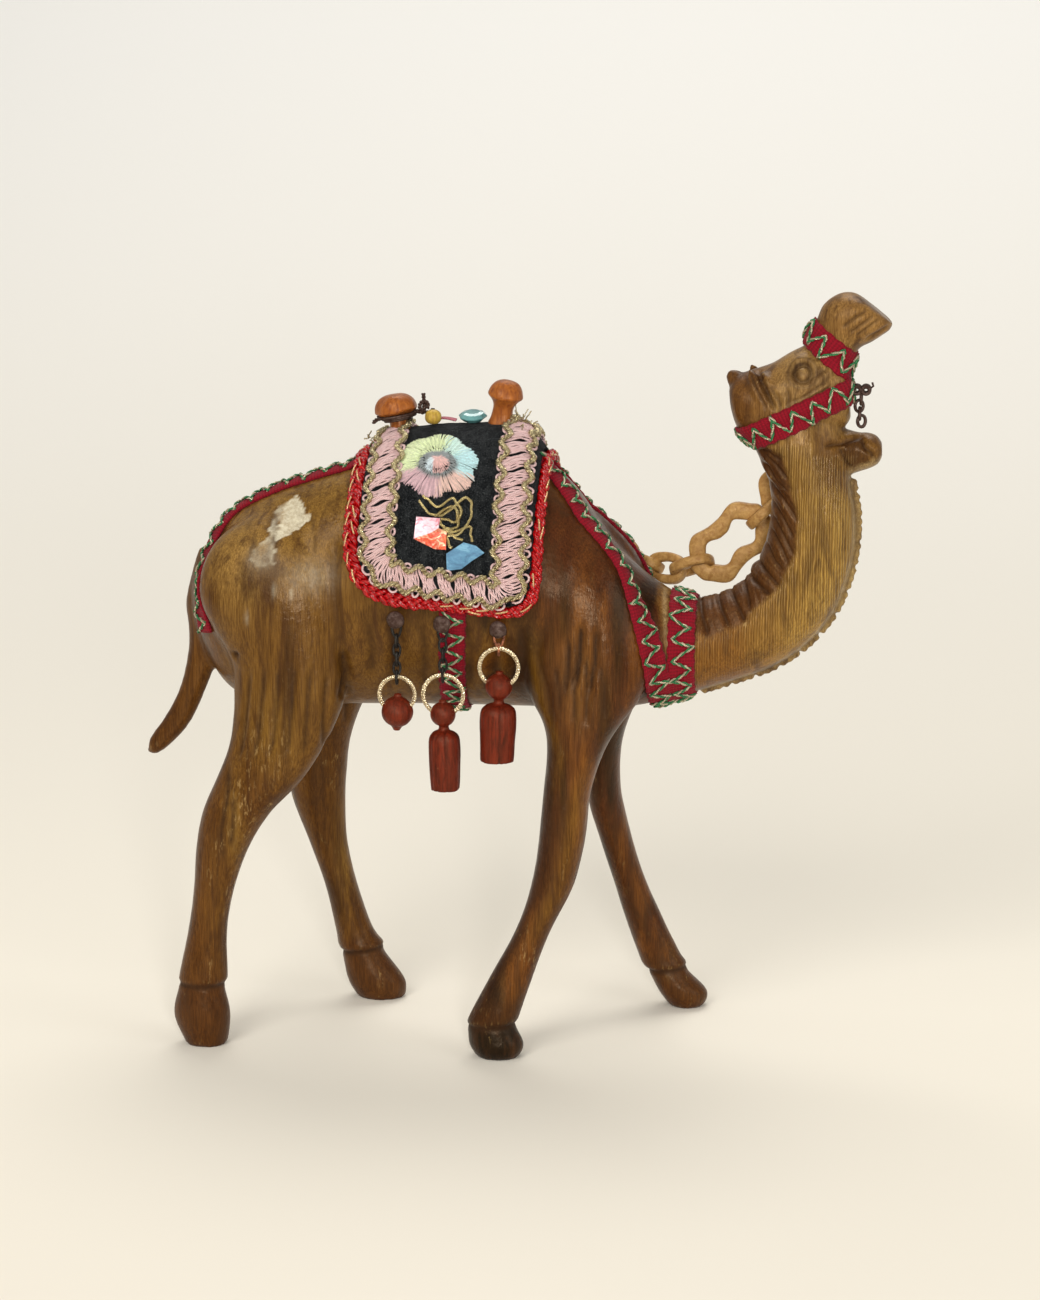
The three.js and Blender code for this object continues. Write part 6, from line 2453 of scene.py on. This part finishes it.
def bent(shape: Shape, rough: float, seed: int, size: float = 1.5) -> Shape:
    """The same shape with a hand-made unevenness.

    Args:
        shape: the shape, which is changed.
        rough: how far it is moved.
        seed: the unevenness's seed.
        size: how long its waves are.

    Returns:
        The shape.
    """
    spots = np.array([vert.co for vert in shape.verts])
    shift = [cloudy(spots, (size, size, size * 2), seed + k) * rough for k in range(3)]
    for vert, dx, dy, dz in zip(shape.verts, *shift):
        vert.co += Vector((dx, dy, dz))
    return shape


def rounded(profile: Sequence[Pair], fine: int = 4) -> list[Pair]:
    """A finer profile with soft corners that never crosses the axis."""
    return [(max(radius, 0.0), height) for radius, height in smooth_rows(profile, fine)]


def oval(middle: Row, long: float, wide: float, turn: float, steps: int = 18) -> Points:
    """A closed oval that hangs upright.

    Args:
        middle: its middle.
        long: half its height.
        wide: half its width.
        turn: how far it is turned about the upright axis, in degrees.
        steps: how many points it has.

    Returns:
        Its points.
    """
    angle = np.linspace(0, 2 * math.pi, steps, endpoint=False)
    across = wide * np.sin(angle)
    around = math.radians(turn)
    points = np.column_stack([across * math.cos(around), across * math.sin(around), long * np.cos(angle)])
    return points + np.array(middle)


def twisted_pair(line: Points, radius: float, pitch: float) -> list[Strand]:
    """Two strands laid round each other along a line.

    Args:
        line: the line's points.
        radius: a strand's radius.
        pitch: how far one turn goes.

    Returns:
        Both strands.
    """
    fine = even_steps(line, pitch / 8)
    ahead = unit(np.gradient(fine, axis=0))
    side = unit(np.cross(ahead, np.array([0.13, 0.9, 0.41])))
    other = np.cross(ahead, side)
    turn = (np.arange(len(fine)) * 2 * math.pi / 8)[:, None]
    return [Strand(fine + radius * (side * np.cos(turn + k) + other * np.sin(turn + k)), radius)
            for k in (0, math.pi)]


@dataclass(frozen=True)
class Drop:
    """One nail and what hangs from it."""

    x: float
    z: float
    ring_z: float
    links: int
    ring: float
    ball: float
    wide: float = 0
    long: float = 0


@dataclass(frozen=True)
class Hook:
    """Where a drop hangs: its side, its number, and how far out the skin is."""

    drop: Drop
    side: Side
    index: int
    skin: float

    @property
    def name(self) -> str:
        """The end of its pieces' names."""
        return f"{self.side.name.lower()}_{self.index}"

    def at(self, out: float, z: float) -> Row:
        """A place at a distance off the skin."""
        return (self.drop.x, self.side.value * (self.skin + out), z)


@dataclass
class Hangings:
    """Nails, fine chains, gold rings and turned beads along both flanks."""

    hump: Hump
    drops: tuple[Drop, ...] = (
        Drop(-26.2, 117.2, 97.4, 5, 4.6, 4.1),
        Drop(-14.2, 116.4, 97.6, 4, 5.2, 3.3, 4.1, 15.8),
        Drop(0.2, 115.2, 105, 2, 5, 3.5, 4.7, 15.4),
    )
    off_skin: float = 2.1
    wire: float = 0.36
    loop: Pair = (3.2, 1.25)
    loop_top: float = 1.4
    loop_drop: float = 6.0
    link_wide: float = 1.2
    link_share: float = 0.36
    link_overlap: float = 0.55
    link_turns: Pair = (18, 90)
    ring_notches: int = 44
    ring_wire: Pair = (0.50, 0.62)
    nail: Outline = ((0, -5.8), (0.35, -5.6), (0.7, -4.8), (0.7, 3.3), (1.3, 3.35), (2.1, 3.4), (2.3, 3.75),
                     (2.15, 4.15), (1.5, 4.45), (0.7, 4.55), (0, 4.5))
    bead_rough: float = 0.14
    bead_splits: int = 9
    bead_tilts: Row = (2.5, -1.5, 1.5)

    def __post_init__(self) -> None:
        """Prepares the finishes."""
        self.dark = Metal("dark_metal", (0.10, 0.062, 0.048), (0.05, 0.022, 0.014), 0.5, 0.42, 0.6, 0.12).make()
        self.black = Metal("black_wire", (0.030, 0.026, 0.020), (0.012, 0.008, 0.006), 0.5, 0.42, 0.6, 0.12).make()
        self.copper = Metal("copper_wire", (0.42, 0.16, 0.08), (0.10, 0.035, 0.02), 0.55, 0.4, 0.8).make()
        self.gold = Metal("gold_ring", (0.90, 0.76, 0.50), (0.34, 0.22, 0.10), 0.6, 0.22, 1.0, 0.2).make()
        self.wood = SmallWood("bead_wood", (0.16, 0.016, 0.005), (0.06, 0.006, 0.002), (0.35, 0.13, 0.05),
                              0.3, 0.42).make()

    def build(self) -> None:
        """Makes every set, with wooden beads on the near side only."""
        for side in SIDES:
            for index, drop in enumerate(self.drops, 1):
                skin = abs(float(self.hump.on_side(np.array([drop.x]), np.array([drop.z]), 0.0)[0, 1]))
                hook = Hook(drop, side, index, skin)
                self.build_nail(hook)
                self.build_chain(hook)
                self.build_ring(hook)
                if side is Side.NEAR:
                    self.build_bead(hook)

    def build_nail(self, hook: Hook) -> None:
        """A hammered nail with a lumpy head.

        Args:
            hook: where it is.
        """
        shape = bent(turned(self.nail, 20), 0.16, hook.index, 1.1)
        stand = Matrix.Translation(hook.at(0, hook.drop.z)) @ Matrix.Rotation(
            -hook.side.value * math.pi / 2, 4, "X")
        piece_from(moved(shape, stand), f"nail_{hook.name}", [self.dark], [f"nail_{hook.name}"])

    def build_chain(self, hook: Hook) -> None:
        """A long loop round the nail and fine links down to the ring.

        Args:
            hook: where it hangs.
        """
        drop = hook.drop
        top = drop.z + self.loop_top
        strands = [Strand(oval(hook.at(self.off_skin, top - self.loop_drop / 2), *self.loop, 0), self.wire, True)]
        start = top - self.loop_drop
        pitch = (start - (drop.ring_z + drop.ring - 1.3)) / drop.links
        for i in range(drop.links):
            middle = hook.at(self.off_skin, start - (i + 0.5) * pitch)
            turn = self.link_turns[(drop.links - i) % 2]
            wide = min(self.link_wide, pitch * self.link_share)
            strands.append(Strand(oval(middle, pitch / 2 + self.link_overlap, wide, turn), self.wire, True))
        shape = bmesh.new()
        add_strands(shape, strands, 1)
        metal, slot = (self.copper, "copper_wire") if hook.index == 3 else (self.black, "dark_metal")
        name = f"drop_chain_{hook.name}"
        piece_from(bent(shape, 0.12, hook.index), name, [metal], [name])

    def build_ring(self, hook: Hook) -> None:
        """The notched gold ring.

        Args:
            hook: where it hangs.
        """
        drop, steps = hook.drop, 3 * self.ring_notches
        ring = oval(hook.at(self.off_skin, drop.ring_z), drop.ring, drop.ring, 0, steps)
        notch = np.where(np.arange(steps) % 3 == 0, *self.ring_wire)
        shape = bmesh.new()
        add_strands(shape, [Strand(ring, notch, True)], 1)
        name = f"drop_ring_{hook.name}"
        piece_from(shape, name, [self.gold], [name], smooth=False)

    def build_bead(self, hook: Hook) -> None:
        """A turned ball, with a carved barrel under it unless that is broken off.

        Args:
            hook: where it hangs.
        """
        drop, ball = hook.drop, hook.drop.ball
        if drop.long:
            top = -ball - 0.7
            steps = ((0.80, 1, 0), (0.92, 1, 0.4), (0.97, 0.7, 0), (1, 0.35, 0))
            low = [(0, top - drop.long)]
            low += [(drop.wide * wide, top - drop.long * down + up) for wide, down, up in steps]
            low += [(drop.wide * 0.96, top - 2.2), (drop.wide * 0.72, top - 0.8), (1.6, top - 0.1)]
        else:
            low = [(0, -ball - 1.0), (0.8, -ball - 0.9), (1.1, -ball - 0.4)]
        arc = [(ball * math.sin(a), -ball * math.cos(a)) for a in np.linspace(0.42, math.pi - 0.35, 9)]
        shape = turned(rounded(low + arc + [(1.0, ball * 0.99), (0.9, ball + 0.5), (0, ball + 0.6)], 3), 64)
        mark = shape.verts.layers.float.new("cut")
        draw = random.Random(hook.index).uniform
        splits = [(draw(0, 2 * math.pi), draw(0.03, 0.07), draw(0.15, 0.5)) for _ in range(self.bead_splits)]
        splits.append((-math.pi / 2 + 0.25, 0.05, 0.9))
        for vert in shape.verts:
            angle, radius = math.atan2(vert.co.y, vert.co.x), math.hypot(vert.co.x, vert.co.y)
            if vert.co.z > -ball - 1.2 or radius < 1.5:
                continue
            for at, wide, deep in splits:
                gap = (angle - at + math.pi) % (2 * math.pi) - math.pi
                cut = math.exp(-(gap / wide) ** 2)
                vert.co.x -= vert.co.x / radius * cut * deep
                vert.co.y -= vert.co.y / radius * cut * deep
                vert[mark] = max(vert[mark], cut * deep)
        bent(shape, self.bead_rough, hook.index + 20, 2.5)
        tilt = Matrix.Rotation(math.radians(self.bead_tilts[hook.index - 1]), 4, "Y")
        place = Matrix.Translation(hook.at(self.off_skin, drop.ring_z - drop.ring)) @ tilt
        name = f"pendant_{hook.name}"
        piece_from(moved(shape, place), name, [self.wood], [name])


@dataclass(frozen=True)
class Knob:
    """A turned knob on the saddle: its place, its half outline, its lean and how deep it is set."""

    x: float
    outline: Outline
    tilt: float
    foot: float


@dataclass
class SaddleTop:
    """Knobs, wound wire, bead, gem and strip on the top of the saddle."""

    hump: Hump
    dark: Material
    front: Knob = Knob(-2.4, ((0, 0), (3.2, 0), (2.95, 2.0), (2.9, 4.4), (3.3, 5.7), (4.2, 6.9), (4.75, 7.5),
                              (4.75, 8.3), (4.2, 9.9), (3.1, 11.2), (1.6, 11.9), (0, 12.1)), 0.17, 0.4)
    rear: Knob = Knob(-28.8, ((0, 0), (2.6, 0), (2.5, 2.0), (2.6, 4.0), (4.3, 4.7), (5.6, 5.4), (5.8, 6.2),
                              (5.3, 7.9), (4.0, 9.2), (2.0, 9.9), (0, 10.0)), -0.16, 1.0)
    knob_rough: float = 0.45
    wire: float = 0.42
    wire_turns: float = 3.5
    wire_ends: tuple[Rows, ...] = (
        ((3.2, -0.8, 4.4), (5.2, -1.4, 4.8), (7.0, -1.2, 4.2), (7.6, -1.3, 6.2), (7.9, -1.4, 9.0)),
        ((3.2, 0.6, 4.2), (5.6, 1.3, 4.4), (8.0, 1.7, 3.6), (9.4, 1.5, 4.4)),
        ((7.0, -1.2, 4.2), (6.4, -1.8, 5.8), (7.4, -2.0, 7.0), (8.6, -1.4, 6.4), (8.2, -0.9, 5.0)),
        ((-3.2, -1.0, 4.4), (-5.4, -1.9, 4.0), (-6.4, -1.2, 3.4)),
    )
    cloth_top: float = 1.85
    bead: Outline = ((0, 0), (1.2, 0.2), (2.0, 1.0), (2.15, 2.0), (1.9, 3.0), (1.0, 3.7), (0, 3.85))
    bead_spot: Pair = (-19.6, -3.2)
    gem: Outline = ((0, 0), (2.6, 0.2), (3.7, 1.2), (3.75, 1.45), (2.9, 2.2), (1.9, 2.5), (0, 2.5))
    gem_x: float = -9.6
    strip_threads: int = 9
    strip_start: float = -20.6
    strip_long: float = 6.4

    def __post_init__(self) -> None:
        """Prepares the knobs' wood."""
        self.wood = SmallWood("turned_wood", (0.40, 0.125, 0.022), (0.19, 0.045, 0.010), (0.09, 0.025, 0.01),
                              0.6, 0.32).make()

    def back_at(self, x: float) -> float:
        """Height of the skin's top line."""
        return float(self.hump.spot(x, math.pi / 2)[2])

    def build(self) -> None:
        """Makes them all."""
        for name, knob, seed in (("front_pommel", self.front, 2), ("rear_pommel", self.rear, 9)):
            shape = bent(turned(rounded(knob.outline), 48), self.knob_rough, seed, 3.5)
            piece_from(moved(shape, self.stand(knob)), name, [self.wood], [name])
        self.build_wire()
        self.build_trimmings()

    def stand(self, knob: Knob) -> Matrix:
        """Where a knob stands, and how it leans."""
        foot = Matrix.Translation((knob.x, 0, self.back_at(knob.x) + knob.foot))
        return foot @ Matrix.Rotation(knob.tilt, 4, "Y")

    def build_wire(self) -> None:
        """Dark twisted wire wound round the rear knob's stem, with its ends sticking up."""
        angle = np.linspace(0, 2 * math.pi * self.wire_turns, 90)
        reach = np.linspace(3.3, 5.3, 90) + 0.35 * np.sin(angle * 1.7)
        coil = np.column_stack([reach * np.cos(angle), reach * np.sin(angle), np.linspace(3.0, 4.6, 90)])
        strands = [Strand(coil, self.wire)]
        for end in self.wire_ends:
            strands += twisted_pair(smooth_rows(end, 10), 0.3, 1.6)
        shape = bmesh.new()
        add_strands(shape, strands, 1)
        piece_from(moved(shape, self.stand(self.rear)), "pommel_wire", [self.dark], ["pommel_wire"])

    def build_trimmings(self) -> None:
        """Yellow bead, cut gem and pink strip."""
        bead = turned(rounded(self.bead), 32)
        yellow = SmallWood("yellow_bead", (0.62, 0.42, 0.07), (0.3, 0.17, 0.03), (0.2, 0.12, 0.04), 0.4, 0.25).make()
        at = Matrix.Translation((*self.bead_spot, self.back_at(self.bead_spot[0]) + self.cloth_top))
        piece_from(moved(bead, at), "yellow_bead", [yellow], ["yellow_bead"])
        at = Matrix.Translation((self.gem_x, 0, self.back_at(self.gem_x) + self.cloth_top))
        gem = moved(turned(self.gem, 10), at @ Matrix.Rotation(0.22, 4, "X"))
        piece_from(gem, "glass_gem", [Gem().make()], ["glass_gem"], smooth=False)
        shape = bmesh.new()
        t = np.linspace(0, 1, 14)
        x = self.strip_start + self.strip_long * t
        z = self.back_at(self.strip_start + self.strip_long / 2) + self.cloth_top + 0.35 + 0.5 * np.sin(math.pi * t)
        rows = [Strand(np.column_stack([x, 0.3 + 0.28 * k + 0.2 * np.sin(5 * t + k), z]), 0.26)
                for k in range(self.strip_threads)]
        add_strands(shape, rows, 0)
        pink = Thread("pink_strip", (0.75, 0.25, 0.30), (0.35, 0.07, 0.09), 0.0, 0.6).make()
        piece_from(shape, "pink_strip", [pink], ["pink_strip"])


@dataclass(frozen=True)
class Link:
    """One flat wooden link."""

    long: float
    wide: float
    bar: float
    thick: float
    waves: float
    turn: float


@dataclass
class LeadChain:
    """Pale wooden chain on the far side of the neck, cut with scalloped edges."""

    route: Rows = ((21, 27.4, 131), (27, 27, 127), (34.5, 23.6, 124.4), (43, 18.4, 124), (52.4, 15.6, 128.2),
                   (62, 15.6, 136.6), (72, 16, 146.4), (80, 15.6, 157), (86, 14, 169))
    bite: float = 0.12
    corner: float = 0.8
    scallops: int = 6
    bevel: float = 0.24
    small: Row = (12.5, 8.6, 2.5, 2.8, 0.0)
    large: Row = (25.0, 15.4, 4.2, 3.2, 0.9)

    def __post_init__(self) -> None:
        """Sets the links in order from the saddle to the mouth."""
        plan = ((self.small, 15), (self.small, 70), (self.small, -20), (self.small, 60), (self.large, 0),
                (self.small, 85), (self.large, 0))
        self.links = [Link(*size, turn) for size, turn in plan]

    def build(self) -> None:
        """Cuts the links and lays them along the route."""
        line = smooth_rows(self.route, 16)
        run = np.concatenate([[0], np.cumsum(np.linalg.norm(np.diff(line, axis=0), axis=1))])
        shape = bmesh.new()
        at = self.links[0].long / 2
        for i, link in enumerate(self.links):
            if i:
                last = self.links[i - 1]
                at += (last.long + link.long) / 2 - last.bar - link.bar + 4 * self.bite
            where = min(at, run[-1])
            middle, ahead = (np.array([np.interp(spot, run, line[:, k]) for k in range(3)])
                             for spot in (where, min(where + 0.5, run[-1] + 0.5)))
            along = unit((ahead - middle) if where < run[-1] - 0.6 else line[-1] - line[-2])
            facing = unit(np.array([0, 1, 0]) - along * along[1])
            across = np.cross(facing, along)
            frame = Matrix([[along[k], across[k], facing[k], middle[k]] for k in range(3)] + [[0, 0, 0, 1]])
            turn = Matrix.Rotation(math.radians(link.turn), 4, "X")
            merge(shape, moved(self.cut(link, i), frame @ turn))
        wood = SmallWood("pale_wood", (0.50, 0.29, 0.095), (0.30, 0.145, 0.04), (0.20, 0.08, 0.02), 0.4, 0.36,
                         (0.5, 0.5, 0.5)).make()
        piece_from(shape, "lead_chain", [wood], ["lead_chain"])

    def cut(self, link: Link, seed: int) -> Shape:
        """One link, lying flat with its length along x.

        Args:
            link: its sizes.
            seed: the seed of its unevenness.

        Returns:
            The shape.
        """
        shape = bmesh.new()
        rings = []
        for inset in (0, link.bar):
            made = bmesh.ops.create_circle(shape, cap_ends=False, segments=72, radius=1)
            for vert in made["verts"]:
                angle = math.atan2(vert.co.y, vert.co.x)
                wave = link.waves * math.cos(self.scallops * angle)
                c, s = math.cos(angle), math.sin(angle)
                vert.co.x = (link.long / 2 - inset) * math.copysign(abs(c) ** self.corner, c)
                vert.co.y = (link.wide / 2 - inset + wave) * math.copysign(abs(s) ** self.corner, s)
            rings.append(list(dict.fromkeys(edge for vert in made["verts"] for edge in vert.link_edges)))
        bmesh.ops.bridge_loops(shape, edges=rings[0] + rings[1])
        bmesh.ops.translate(shape, verts=shape.verts, vec=(0, 0, -link.thick / 2))
        top = bmesh.ops.extrude_face_region(shape, geom=shape.faces[:])
        verts = [item for item in top["geom"] if isinstance(item, bmesh.types.BMVert)]
        bmesh.ops.translate(shape, verts=verts, vec=(0, 0, link.thick))
        bmesh.ops.recalc_face_normals(shape, faces=shape.faces)
        sharp = [edge for edge in shape.edges if len(edge.link_faces) == 2 and edge.calc_face_angle() > 1.0]
        bmesh.ops.bevel(shape, geom=sharp, offset=link.thick * self.bevel, segments=2, profile=0.5, affect="EDGES",
                        material=-1)
        return bent(shape, 0.12, seed + 40, 2.2)


@dataclass
class BridleChain:
    """Dark wound coil with fine links, which hangs at the corner of the mouth."""

    dark: Material
    place: Row = (90.7, -2.2, 175.2)
    coil_gap: float = 1.15
    coil_radius: float = 0.95
    coil_half: float = 1.9
    coil_turns: float = 4.5
    coil_wire: float = 0.52
    links: Rows = ((90, 0), (10, -0.5), (90, -0.3), (20, 0.2))
    link_size: Pair = (1.5, 1.05)
    link_wire: float = 0.46
    link_pitch: float = 1.95

    def build(self) -> None:
        """Makes it in one piece."""
        x, y, z = self.place
        strands = []
        angle = np.linspace(0, 2 * math.pi * self.coil_turns, 90)
        for shift in (-self.coil_gap, self.coil_gap):
            coil = np.column_stack([x + shift + self.coil_radius * np.cos(angle),
                                    np.linspace(y - self.coil_half, y + self.coil_half, 90),
                                    z + self.coil_radius * np.sin(angle)])
            strands.append(Strand(coil, self.coil_wire))
        strands += [Strand(np.array([[x + 2.0, y, z + 0.2], [x + 3.0, y - 0.3, z + 1.0], [x + 2.7, y, z + 1.9]]), 0.3)]
        for i, (turn, shift) in enumerate(self.links):
            middle = (x + shift, y, z - 2.2 - i * self.link_pitch)
            strands.append(Strand(oval(middle, *self.link_size, turn), self.link_wire, True))
        shape = bmesh.new()
        add_strands(shape, strands, 1)
        piece_from(shape, "bridle_chain", [self.dark], ["bridle_chain"])


# Camera and light


@dataclass
class Studio:
    """Floor, camera and soft lamps."""

    target: Row = (2.7, 0, 104.6)
    away: float = 800
    azimuth: float = 7
    elevation: float = 12
    film: float = 36
    zoom: float = 3030 / 1300
    room: tuple[Row, float] = ((1.0, 0.975, 0.94, 1), 0.40)
    lamps: Marks = (
        ("key", (-260, -620, 560), (0, 0, 105), 420, 3.0, (1.0, 0.98, 0.95)),
        ("flash", (160, -760, 240), (0, 0, 105), 90, 2.3, (1.0, 1.0, 1.0)),
        ("fill", (620, -300, 260), (0, 0, 105), 400, 0.8, (0.95, 0.97, 1.0)),
        ("sky", (0, 1300, 2200), (0, 1300, 0), 1800, 30.0, (1.0, 0.98, 0.95)),
    )

    def build(self) -> None:
        """Makes them all."""
        bpy.context.scene.view_settings.view_transform = "Standard"
        self.add_camera()
        self.add_floor()
        self.add_lamps()

    def add_camera(self) -> None:
        """The camera at the photograph's angle."""
        turn, rise = math.radians(self.azimuth), math.radians(self.elevation)
        back = Vector((math.sin(turn) * math.cos(rise), -math.cos(turn) * math.cos(rise), math.sin(rise)))
        data = bpy.data.cameras.new("camera")
        data.lens = self.zoom * self.film
        data.sensor_width = self.film
        data.clip_start, data.clip_end = 0.05, 50
        camera = bpy.data.objects.new("camera", data)
        camera.location = (Vector(self.target) + back * self.away) * MM
        camera.rotation_euler = (-back).to_track_quat("-Z", "Y").to_euler()
        bpy.context.scene.collection.objects.link(camera)
        bpy.context.scene.camera = camera

    def add_floor(self) -> None:
        """A wide pale floor that rises softly behind the figure."""
        shape = bmesh.new()
        profile = [(-6000, 0)]
        profile += [(700 + 3000 * math.sin(a), 3000 - 3000 * math.cos(a)) for a in np.linspace(0, 1.2, 40)]
        row = [shape.verts.new((-4000, y, z)) for y, z in profile]
        edges = [shape.edges.new(pair) for pair in zip(row, row[1:])]
        made = bmesh.ops.extrude_edge_only(shape, edges=edges)
        fresh = [item for item in made["geom"] if isinstance(item, bmesh.types.BMVert)]
        bmesh.ops.translate(shape, vec=(8000, 0, 0), verts=fresh)
        bmesh.ops.recalc_face_normals(shape, faces=shape.faces)
        placed(shape, "floor", [Paper().make()])

    def add_lamps(self) -> None:
        """A broad key from the camera's left, a fill and a top light."""
        world = bpy.data.worlds.new("room")
        world.use_nodes = True
        sky = world.node_tree.nodes["Background"]
        for socket, value in zip(sky.inputs, self.room):
            socket.default_value = value
        bpy.context.scene.world = world
        for name, where, target, size, power, colour in self.lamps:
            data = bpy.data.lights.new(name, "AREA")
            data.shape = "DISK"
            data.size = size * MM
            data.energy = power
            data.color = colour
            lamp = bpy.data.objects.new(name, data)
            lamp.location = Vector(where) * MM
            aim = Vector(target) * MM - lamp.location
            lamp.rotation_euler = aim.to_track_quat("-Z", "Y").to_euler()
            bpy.context.scene.collection.objects.link(lamp)


def main() -> None:
    """Builds the camel and its trappings in order."""
    logging.basicConfig(level=logging.INFO, format="%(message)s")
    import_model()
    Studio().build()
    skin = CamelCarving().build()
    hump = Hump(skin)
    Ribbons(skin).build()
    Saddle(hump).build()
    Patches(hump).build()
    hangings = Hangings(hump)
    hangings.build()
    SaddleTop(hump, hangings.dark).build()
    LeadChain().build()
    BridleChain(hangings.dark).build()


if __name__ == "__main__":
    main()
